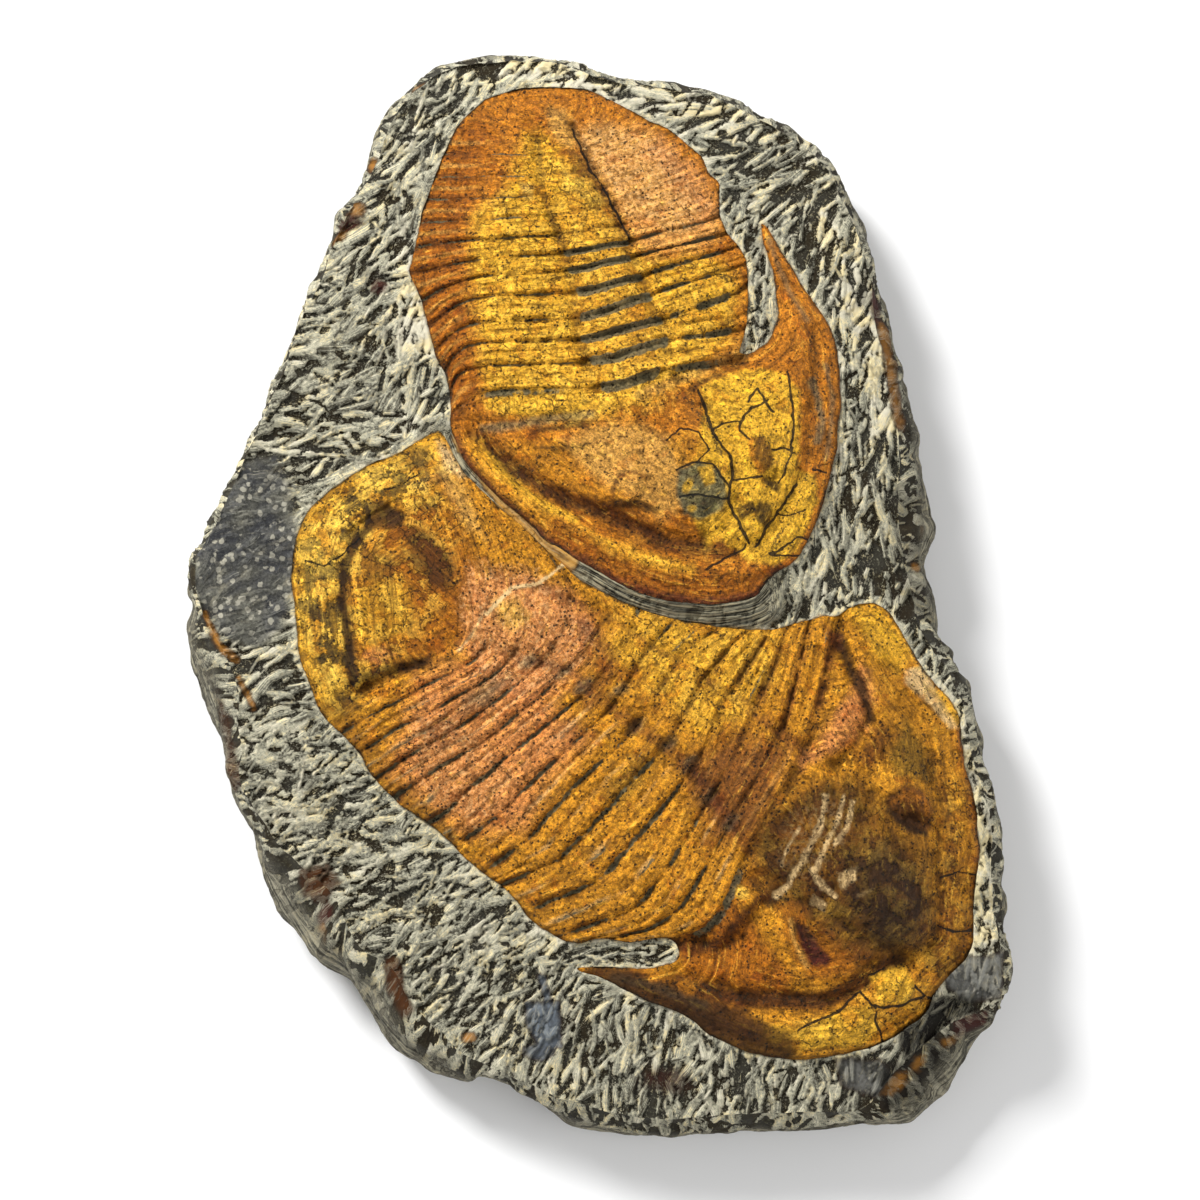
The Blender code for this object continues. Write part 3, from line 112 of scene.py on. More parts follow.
# The smaller trilobite, tail at the top, head turned to the lower right.
SMALL_OUTLINE = [
    (-50.5, 60.5), (-50, 63), (-50.5, 69), (-52, 75.5), (-55, 80.5), (-57.5, 90), (-60, 100),
    (-64.5, 110), (-62, 120), (-60.5, 130), (-57, 140), (-53.5, 150), (-49, 160), (-45, 165),
    (-39.5, 170), (-35, 172), (-27.5, 174.5), (-19, 175), (-10.5, 175), (-4, 174.5), (2.5, 171.5),
    (10, 167.5), (17.5, 163.5), (23, 161.5), (28.5, 157), (35, 151.5), (36.5, 146.5), (40.5, 143),
    (40.5, 132), (42.5, 126), (46.5, 121.5), (49.5, 116.5), (50, 109.5), (50, 102), (49.5, 93.5),
    (48, 87.5), (46.5, 84), (50.5, 83.5), (57, 88), (59, 92), (60.5, 98), (59.5, 106),
    (58.5, 113.5), (55.5, 122), (54.5, 129.5), (57, 127.5), (60, 122), (64, 115.5), (68, 108.5),
    (72, 102.5), (76, 97), (79, 91), (80.5, 84), (81, 76), (81.5, 66.5), (80, 59), (80, 52),
    (78.5, 46.5), (77, 41), (75, 33), (71.5, 24), (67, 15.5), (63.5, 12), (59.5, 10), (56, 7),
    (53, 2), (49, 0), (44.5, -0.5), (37, -1.5), (30, -1), (22.5, -0.5), (15.5, 1.5), (9.5, 3.5),
    (3, 7), (-1, 9.5), (-8.5, 13.5), (-13.5, 17), (-18.5, 19.5), (-21.5, 23), (-26.5, 28),
    (-31.5, 31.5), (-37.5, 37.5), (-43.5, 43.5), (-47, 49), (-49.5, 55),
]

# The larger trilobite, tail at the left, head at the lower right.
LARGE_OUTLINE = [
    (-54, 56.5), (-60, 53), (-69, 47.5), (-76.5, 45), (-82.5, 41), (-89, 36.5), (-94.5, 31.5),
    (-98.5, 26.5), (-101, 19), (-102, 13), (-102.5, 5.5), (-101.5, -1), (-100.5, -8.5),
    (-100, -15), (-99, -21.5), (-96.5, -27), (-94, -34.5), (-91, -40), (-85, -45.5),
    (-78.5, -52.5), (-76.5, -57.5), (-70.5, -64), (-66, -68.5), (-61, -71.5), (-55, -75.5),
    (-50.5, -79.5), (-45, -85.5), (-39.5, -90), (-35, -93), (-30, -97), (-27, -100.5), (-25, -104),
    (-20.5, -108), (-17, -110), (-11, -113.2), (-6.5, -113.6), (-2.6, -112.4), (2, -112),
    (9.5, -113.2), (15, -112.6), (19, -111.6), (23, -112), (25.5, -114.5), (26.5, -118),
    (24, -120.2), (15, -122), (8, -121.6), (-1, -121.2), (-8.5, -121.6), (-6, -123), (-2, -124),
    (3.4, -126), (6.7, -128.3), (10.2, -129.7), (15.2, -132.5), (22.5, -134.7), (26.7, -136.5),
    (31.3, -139.5), (35.7, -143.5), (42, -146.3), (49, -149.1), (53.5, -150.2), (62.8, -151.6),
    (71.5, -151), (80.4, -149.6), (89, -147.8), (96.2, -144.7), (102, -140.5), (105.7, -138.3),
    (108.7, -134.8), (110, -130.6), (113.3, -126.4), (117.5, -122), (121.5, -118.6), (123.5, -114),
    (123.8, -107), (124, -99.5), (125.3, -90.2), (126.5, -83), (125.7, -77.3), (125.4, -69),
    (123.8, -62), (121.7, -55), (120.8, -46.5), (120.2, -38), (117.5, -33.2), (111.6, -27),
    (107.5, -21.5), (104, -15.3), (100, -8.5), (97, -3.5), (92, -0.4), (87, -0.8), (82.5, -2.8),
    (79.5, -5.2), (75, -5), (69.7, -6.4), (64, -8), (58.5, -9.8), (49.5, -9.8), (40, -9),
    (30, -7.5), (22.5, -6), (15.5, -4), (7.5, -0.8), (-0.5, 2.8), (-6.5, 6), (-13.5, 12.5),
    (-18.5, 16.8), (-22.8, 21.2), (-28.3, 26.3), (-33.3, 29.8), (-39.2, 35.8), (-45.4, 41.8),
    (-48.9, 47.4), (-51.4, 53.2),
]

# Height knots (x, y, height) of the three surfaces, laid out on FOSSIL_PLANE.
MATRIX_KNOTS = [
    (-75, 130, 37), (-70, 105, 38), (-66, 118, 38.3), (-62, 85, 39), (-80, 85, 38.5),
    (-95, 80, 38), (-57, 70, 40), (-75, 62, 39.5), (-95, 60, 38.5), (-57, 60, 41.5),
    (-65, 150, 36), (-54, 166, 36.5), (-30, 179, 36.5), (-5, 178, 37), (15, 170, 37.5),
    (35, 162, 37.5), (45, 148, 38.5), (50, 138, 39.5), (65, 140, 37.5), (75, 125, 38),
    (52, 120, 41), (54, 110, 42), (54, 95, 43.5), (50.5, 87, 45), (70, 115, 39.5), (82, 100, 40.5),
    (88, 80, 41), (86, 60, 42.5), (84, 40, 43.5), (80, 25, 44.5), (72, 12, 47), (66, 2, 48),
    (60, -4, 48.5), (85, 8, 43.5), (95, 10, 41), (98, 35, 40), (95, 55, 40.5), (-70, 52, 41),
    (-90, 42, 39), (-105, 35, 38), (-108, 10, 37.5), (-120, 10, 36.8), (-107, -15, 37.3),
    (-103, -35, 37.3), (-95, -46, 37.3), (-84, -56, 37), (-75, -68, 37), (-60, -80, 37),
    (-45, -93, 37.3), (-32, -103, 37.6), (-20, -114, 37.5), (-100, -70, 37), (-85, -90, 36.8),
    (-65, -105, 36.8), (-45, -120, 36.6), (-20, -130, 36.5), (-30, -140, 36.3), (5, -135, 37),
    (20, -142, 37), (40, -152, 36.5), (60, -157, 35.8), (85, -155, 35.3), (105, -146, 34.3),
    (115, -135, 34.5), (125, -125, 36.3), (127, -108, 37.8), (129, -90, 38.2), (129, -72, 38.2),
    (123, -45, 38.8), (113, -25, 39.3), (104, -10, 40.3), (98, 1, 41), (-5, -117, 37.8),
    (10, -117, 38.8), (22, -116, 39.6), (-52.3, 56.5, 43.5), (-46.5, 44.5, 45.2),
    (-35.5, 33.8, 46.6), (-25, 24.5, 47.6), (-19.6, 18.2, 48.3), (-10, 13, 50), (2, 6, 51.4),
    (20, -1.3, 52), (35, -2.7, 52.2), (50, -1.8, 51.5), (59, 5, 50.2), (-12, 12, 48.6),
    (-2, 4.2, 48.2), (10, -1.8, 48), (25, -6.2, 48), (40, -8.6, 47.8), (55, -9.4, 47.2),
    (66, -7, 46), (74, -4.2, 44.8), (80, -4, 43.8),
]
SMALL_KNOTS = [
    (-50, 62, 43.8), (-52, 76, 41.3), (-59, 100, 40), (-63, 112, 39.6), (-60, 130, 38.8),
    (-53, 150, 38.4), (-40, 169, 38), (-20, 175, 38), (-3, 174, 38.3), (18, 163, 39),
    (34, 151, 39.6), (40, 138, 40.5), (45, 122, 42), (50, 108, 43.2), (49, 92, 45.2),
    (47.5, 84.5, 47.5), (-45, 100, 46.4), (-30, 100, 49.6), (-10, 102, 49.2), (3, 106, 52.6),
    (14, 106, 49.6), (32, 105, 49.8), (42, 105, 47), (-45, 80, 47), (-28, 80, 51), (-5, 80, 51.2),
    (9, 86, 54.6), (20, 88, 51.6), (36, 88, 50.2), (-45, 125, 44.6), (-30, 125, 47.6),
    (-14, 125, 47.6), (-4, 128, 50.2), (7, 128, 47.6), (28, 122, 47.4), (-40, 150, 42.6),
    (-27, 150, 44.8), (-20, 150, 44.6), (-12, 150, 47), (-3, 150, 44.4), (15, 150, 43),
    (-16, 163, 43.4), (-30, 165, 40.8), (2, 164, 40.8), (10, 70, 55.4), (-15, 66, 52),
    (-35, 64, 48.6), (24, 54, 59.6), (30, 38, 59.4), (36, 25, 56.2), (-10, 52, 53.4),
    (-28, 50, 50.4), (-14, 40, 52.4), (4, 50, 55.8), (44, 66, 56), (40, 78, 52.4), (55, 62, 55.6),
    (66, 60, 52.2), (64, 40, 53.8), (54, 25, 54.2), (69, 84, 49.6), (66, 98, 47.2),
    (60, 115, 43.8), (55.5, 128, 41.6), (53, 86, 47.8), (59.5, 100, 45), (72, 103, 43),
    (80, 85, 43.8), (81, 66, 45), (78, 46, 46.6), (72, 26, 48.6), (63, 12.5, 50.6), (52, 2, 52.6),
    (37, -1, 53.4), (20, 0.5, 53.2), (3, 7.5, 52.4), (-13, 17, 50.4), (-26, 28, 49),
    (-38, 38, 47.6), (-48, 51, 45.4), (20, 10, 54.6), (0, 18, 53.6), (-22, 33, 51.2),
]
LARGE_KNOTS = [
    (-54, 56, 44.2), (-69, 47, 42), (-89, 36.5, 39.6), (-101, 20, 38.6), (-102, 4, 38.3),
    (-99.5, -18, 38.2), (-92, -38, 38.1), (-78, -55, 38), (-64, -69, 38), (-50, -80, 38.1),
    (-35, -93, 38.4), (-24, -105, 38.4), (-10, -113, 38.7), (9, -113, 39.9), (24, -113, 41),
    (26, -118.5, 41), (10, -122, 39.2), (-7, -122, 37.8), (8, -128.5, 38), (27, -136.5, 38.3),
    (42, -146, 38.1), (62, -151.5, 37.7), (85, -148.6, 37.3), (101, -141, 36.8),
    (110, -130.5, 36.9), (121, -118.5, 37.8), (124, -100, 38.7), (126, -83, 39.2),
    (125, -68, 39.4), (121, -48, 39.9), (117, -33, 40.3), (105, -17, 41), (96, -3, 41.9),
    (86, -1, 43), (78, -5.5, 45), (64, -8, 47), (50, -9.8, 48.3), (35, -8.2, 49), (15, -4, 49.2),
    (0, 2.5, 49.2), (-13, 12, 49.2), (-24, 22.5, 48.6), (-36, 32.5, 47.6), (-47, 44, 46.2),
    (-78, 1, 45.6), (-68, 16, 45.2), (-70, -14, 44.6), (-88, 24, 42.4), (-94, 2, 41.8),
    (-91, -20, 41.4), (-70, 34, 44), (-55, 38, 46.4), (-46, 20, 47.6), (-46, -2, 49.2),
    (-22, -9, 50.6), (-30, 12, 48.6), (4, -22, 51.4), (30, -40, 51.6), (54, -60, 51.4),
    (-12, -25, 49.2), (12, -42, 49.6), (30, -57, 49.8), (46, -80, 49.4), (3, -5, 49.4),
    (26, -20, 49.6), (50, -36, 49.2), (67, -48, 49.2), (-60, -24, 44.8), (-55, -42, 45.2),
    (-36, -40, 48), (-15, -48, 49.2), (-40, -62, 44.6), (-22, -62, 47.6), (0, -62, 49.2),
    (-22, -86, 43.6), (-2, -84, 47), (18, -78, 48.8), (8, -100, 44), (30, -96, 47),
    (20, -14, 49.8), (42, -20, 49.8), (62, -26, 48.6), (76, -20, 46.6), (64, -72, 52.2),
    (79, -84, 54.4), (93, -96, 55.2), (104, -106, 52), (111, -113, 46.2), (97, -75, 48.8),
    (86, -62, 48), (60, -96, 48.6), (73, -108, 48.8), (86, -118, 47.8), (90, -45, 46.6),
    (90, -22, 45), (104, -45, 45.6), (113, -60, 44), (116, -82, 43.8), (116, -98, 43.4),
    (104, -124, 43.8), (40, -108, 45.6), (40, -122, 43.6), (58, -122, 45.8), (60, -141, 43),
    (82, -138, 43.2), (28, -128, 42.2), (96, -132, 42.4), (10, -125, 40),
]

# Nets of the segment furrows: one row per furrow, from the left margin over both furrows beside
# the axis to the right margin.
SMALL_NET = [
    [(-30, 173.8), (-27, 169), (-20, 166), (-13.5, 166), (-4, 174)],
    [(-41, 168.5), (-33, 164), (-21.5, 162), (-10, 162), (8, 168.5)],
    [(-48, 160), (-36, 158.5), (-21, 157.5), (-7, 158), (19, 164)],
    [(-53, 151), (-38, 151), (-20.5, 151.5), (-4.5, 153), (27, 159)],
    [(-56, 143), (-40, 143.5), (-20, 144.5), (-2, 147), (33, 153.5)],
    [(-58.5, 135), (-40, 136), (-19, 137.5), (1, 140.5), (36, 146)],
    [(-60.5, 127), (-42, 128.5), (-16, 130.5), (4, 134), (38, 139)],
    [(-62, 119), (-42, 121.5), (-13.5, 124), (6.5, 127.5), (41, 131)],
    [(-63, 110), (-40, 114.8), (-12.5, 117.5), (9, 121.5), (43.5, 125.5)],
    [(-60.5, 100.5), (-43, 108.3), (-11, 111.5), (9.5, 116), (46, 120)],
    [(-58.5, 91.5), (-42, 101.3), (-8, 104), (13.5, 109.5), (49.5, 114.5)],
    [(-56, 83), (-43, 92.5), (-7, 95.5), (16.5, 103), (50, 107.5)],
    [(-52.5, 76), (-43, 85.3), (-6.5, 88), (20, 95), (49.5, 99)],
    [(-50.5, 68.5), (-43, 77.5), (-3.5, 80.5), (22.5, 87.5), (48.5, 91)],
    [(-50, 61.5), (-38, 69.5), (0, 72), (19.5, 77.5), (46, 83)],
]
LARGE_NET = [
    [(-91, -40), (-80, -33), (-66, -25.5), (-47, -15), (-48, 10), (-64, 49)],
    [(-85.5, -45.5), (-74, -38), (-60, -30.5), (-38, -16.5), (-36, 8), (-51, 52)],
    [(-79.5, -52), (-68, -44), (-53, -36), (-29, -19), (-24, 5), (-36, 33)],
    [(-74.5, -60), (-60, -50.5), (-45.5, -42), (-20, -21.5), (-10, 0), (-20, 19)],
    [(-68, -66.5), (-54, -56.5), (-37, -46.5), (-12, -24.5), (2, -5.5), (-5, 6)],
    [(-56, -74.5), (-45.5, -65.5), (-29, -51), (-4, -30), (9.5, -11), (13, -2.5)],
    [(-48, -82), (-35, -73), (-20.5, -59), (3, -36), (17, -15.5), (25, -6.5)],
    [(-38.5, -90.5), (-24, -79.5), (-10, -64), (12, -42), (26, -20.5), (39, -9)],
    [(-33, -94.5), (-14, -86), (-1, -73), (21.5, -48.5), (34.5, -26), (49, -9.8)],
    [(-25, -103.5), (-3, -94), (9, -83), (30, -56.5), (43, -31.5), (57, -10)],
    [(-14, -111.5), (9, -103), (20, -92), (37, -65), (51.5, -37), (63, -9)],
    [(2, -112), (18, -108), (29, -98), (43, -74), (60, -43.5), (70, -7)],
    [(22, -112), (31, -110), (39, -103), (49, -83), (67.5, -49.5), (79, -6)],
]
# Rib relief: the columns that bound the axis, the depth of the relief on it and beside it, the
# furrow where the relief starts, the one where it is full, and half the width of a furrow in ribs.
SMALL_RIBS = {
    "axis_from": 2.0, "axis_to": 3.0, "axis": 2.6, "left": 1.7, "right": 2.2,
    "starts": 2.0, "full": 8.0, "narrow": 0.07,
}
LARGE_RIBS = {
    "axis_from": 3.0, "axis_to": 4.0, "axis": 1.1, "left": 2.0, "right": 1.9,
    "starts": -1.0, "full": 1.5, "narrow": 0.05,
}

# Furrows and ridges along lines: (height change, half width, points).
SMALL_LINES = [
    (-2.0, 2.4, [(-23.5, 163), (-20.5, 152.5), (-20, 140), (-17, 130), (-12.5, 118.5), (-9.5, 105),
        (-7.5, 91), (-5, 80), (-1, 72)]),
    (-2.2, 2.4, [(-9.5, 161.5), (-4, 150), (-1, 143), (3.5, 136), (8.5, 125), (12, 113), (16, 103),
        (20, 94), (22.5, 84)]),
    (-4.2, 4.0, [(-43, 55), (-38.5, 51), (-33.5, 46), (-26.5, 41), (-18.5, 36.5), (-10, 32),
        (0, 28.5), (9.5, 24), (20, 20.5), (34, 19)]),
    (1.6, 3.6, [(-44, 48.5), (-37, 43), (-29, 36.5), (-21, 30.5), (-10, 25), (2, 19), (14, 12.5),
        (28, 9), (42, 9), (54, 12)]),
    (-2.2, 2.6, [(21.5, 73), (32, 77.5), (42, 80), (49, 82.5)]),
    (-2.0, 3.0, [(72.5, 92), (72.5, 76), (71.5, 62), (69, 46), (63, 32), (56, 21), (46, 16.5)]),
    (-2.0, 2.8, [(18, 72), (14, 62), (13, 52), (17, 40), (24, 29), (34, 23)]),
    (-1.8, 2.6, [(27, 74), (35, 66), (43, 58), (46, 46), (46, 34), (42, 25)]),
    (-0.9, 2.6, [(17, 62), (26, 66), (36, 66)]),
    (-1.2, 2.6, [(-46, 60), (-38, 58.5), (-24, 60), (-8, 62.5)]),
]
LARGE_LINES = [
    (-2.2, 3.0, [(-70, 30), (-80, 22), (-84.5, 13), (-85.8, 5), (-86, -3), (-85, -10), (-82, -22),
        (-77, -30)]),
    (-2.2, 2.4, [(-60, -23), (-68, -25.5), (-79, -31)]),
    (-1.6, 3.0, [(-47, -15), (-29, -19), (-12, -24.5), (3, -36), (12, -42), (21.5, -48.5),
        (30, -56.5), (37, -65), (43, -74), (49, -84)]),
    (-1.6, 3.0, [(-36, 8), (-10, 0), (9.5, -11), (26, -20.5), (34.5, -26), (51.5, -37),
        (60, -43.5), (68, -50), (78, -55)]),
    (-2.8, 2.8, [(80, -8), (80.5, -14), (82, -20), (85.5, -26.5), (88.5, -33), (90, -39),
        (84, -50), (78, -55)]),
    (-3.0, 3.2, [(27, -113), (33, -114), (39, -116.5), (47, -111), (55, -102), (57, -97),
        (51, -92)]),
    (-3.8, 4.2, [(26, -124.5), (38, -129), (48, -131.5), (60, -132), (72, -132.5), (80, -131),
        (86, -127), (91, -122), (100, -119)]),
    (-2.4, 3.4, [(100, -119), (108, -116), (112, -108), (113, -96), (112.5, -82), (113.5, -68),
        (110, -52), (103, -36), (97, -22)]),
    (1.2, 4.0, [(20, -129), (34, -135), (48, -141), (66, -144), (84, -141.5), (98, -134),
        (110, -124)]),
    (-2.0, 3.0, [(84, -57), (92, -66), (98, -79), (104, -92), (108, -102)]),
    (-2.0, 3.0, [(56, -92), (64, -99), (76, -106), (88, -113), (98, -116)]),
    (-1.5, 3.0, [(66, -59), (64, -70), (58, -79), (54, -86)]),
    (-1.4, 2.6, [(78, -64), (76, -76), (68, -88), (62, -94)]),
    (-1.4, 2.6, [(88, -70), (87, -82), (80, -94), (72, -101)]),
]

# Round lumps and pits: (x, y, half length, half width, turn in degrees, height change).
SMALL_LUMPS = [
    (7.5, 37.5, 7.0, 5.5, 20, 3.4), (7.5, 37.5, 2.6, 2.2, 0, -1.6),
    (13.5, 30.5, 4.0, 2.5, -30, -1.6), (53.5, 50, 3.4, 6.5, 8, 3.2),
    (57.5, 42, 3.5, 3.0, -45, -1.6), (29.5, 51.5, 7.0, 7.0, 0, 0.9),
    (35.5, 31.5, 5.0, 6.0, 0, 0.6), (-14, 65.5, 12, 2.6, 3, 1.2), (-14, 53.5, 8, 2.8, 20, 1.0),
    (-30, 55, 6, 2.6, 10, 0.8),
]
LARGE_LUMPS = [
    (106, -68, 8.5, 5.5, -35, 3.0), (104.5, -73.5, 5.0, 2.6, -20, -3.2),
    (69.5, -112.5, 8.0, 3.6, -62, -3.4), (62, -113, 9.0, 5.0, -70, 1.8),
    (77, -110, 8.0, 3.0, -52, 1.6), (33.5, -112, 3.0, 2.2, 10, -1.6),
    (35, -104, 6.0, 3.6, 35, 1.2), (61, -42, 5.0, 2.2, 30, -1.5), (70, -47, 5.5, 2.4, 35, -1.8),
    (12, -41.5, 5.0, 2.4, 40, -1.4), (24, -47.5, 4.0, 2.0, 45, -1.2), (83, -36, 7.0, 4.5, 75, 1.4),
    (-68, 28, 5.5, 3.0, -20, -1.2), (-77, 2, 8.0, 10.0, 0, 0.8), (98, -128, 7.5, 5.0, 10, 0.8),
    (98, -30, 6.0, 4.0, -50, 1.0),
]
MATRIX_LUMPS = [
    (-74, 106, 3.6, 2.8, 20, -2.2), (-86, 127, 5.0, 4.0, 0, -1.8), (-92, -92, 8.0, 6.0, 20, -2.6),
    (-88, -107, 6.0, 4.0, 60, -2.0), (-21, -139, 4.5, 9.0, -15, -1.5),
    (-54, -74, 5.0, 2.2, -15, -2.8), (118, -133, 6.5, 3.4, -15, -3.2),
    (112, -140, 9.0, 4.0, 35, -1.8), (-55, 66, 3.0, 6.0, -20, -1.4), (105, 2, 5.0, 3.6, 0, -2.0),
    (90, 6, 7.0, 3.4, -15, -1.8), (36, -147, 7.0, 2.2, -35, -1.2), (-60, 74, 5.0, 3.6, 20, -1.4),
    (-108, 53, 9.0, 5.0, 25, -1.2), (16, -151, 5.0, 4.0, 0, -1.0),
]

# Colours (sRGB digits) of the fossils and the rock.
COLOURS = {
    "gold": "f2b832", "bright": "fcca4e", "amber": "d08c20", "orange": "c4781c", "burnt": "a25a0c",
    "peach": "f0ac58", "tan": "e0a850", "cream": "ecc88c", "pink": "dc8c50", "brown": "62340a",
    "umber": "6c3e0a", "maroon": "70381c", "dark": "2e1a06", "olive": "745c1c", "ring": "66624a",
    "char": "26241a", "window": "66664a", "rust": "c8862c", "wine": "54201a", "blue": "7c8690",
    "black": "120f0a", "smooth": "8e8e88",
    "shale_brown": "2c230f", "shale_grey": "37342a", "shale_dust": "6a6650",
    "fibre_dark": "4e493a", "fibre_grey": "939180", "fibre_pale": "c4bfa4",
    "stroke_white": "e8e0c6", "stroke_cream": "fae8b4",
    "slate_warm": "66655c", "slate_blue": "45464a", "slate_dot": "bdb8a6",
    "slate_scratch": "b4b3a4", "ledge_dark_and_shadow": "24221a", "ledge_pale": "a59d80",
    "bed_dark": "36332b", "bed_pale": "938d78",
}

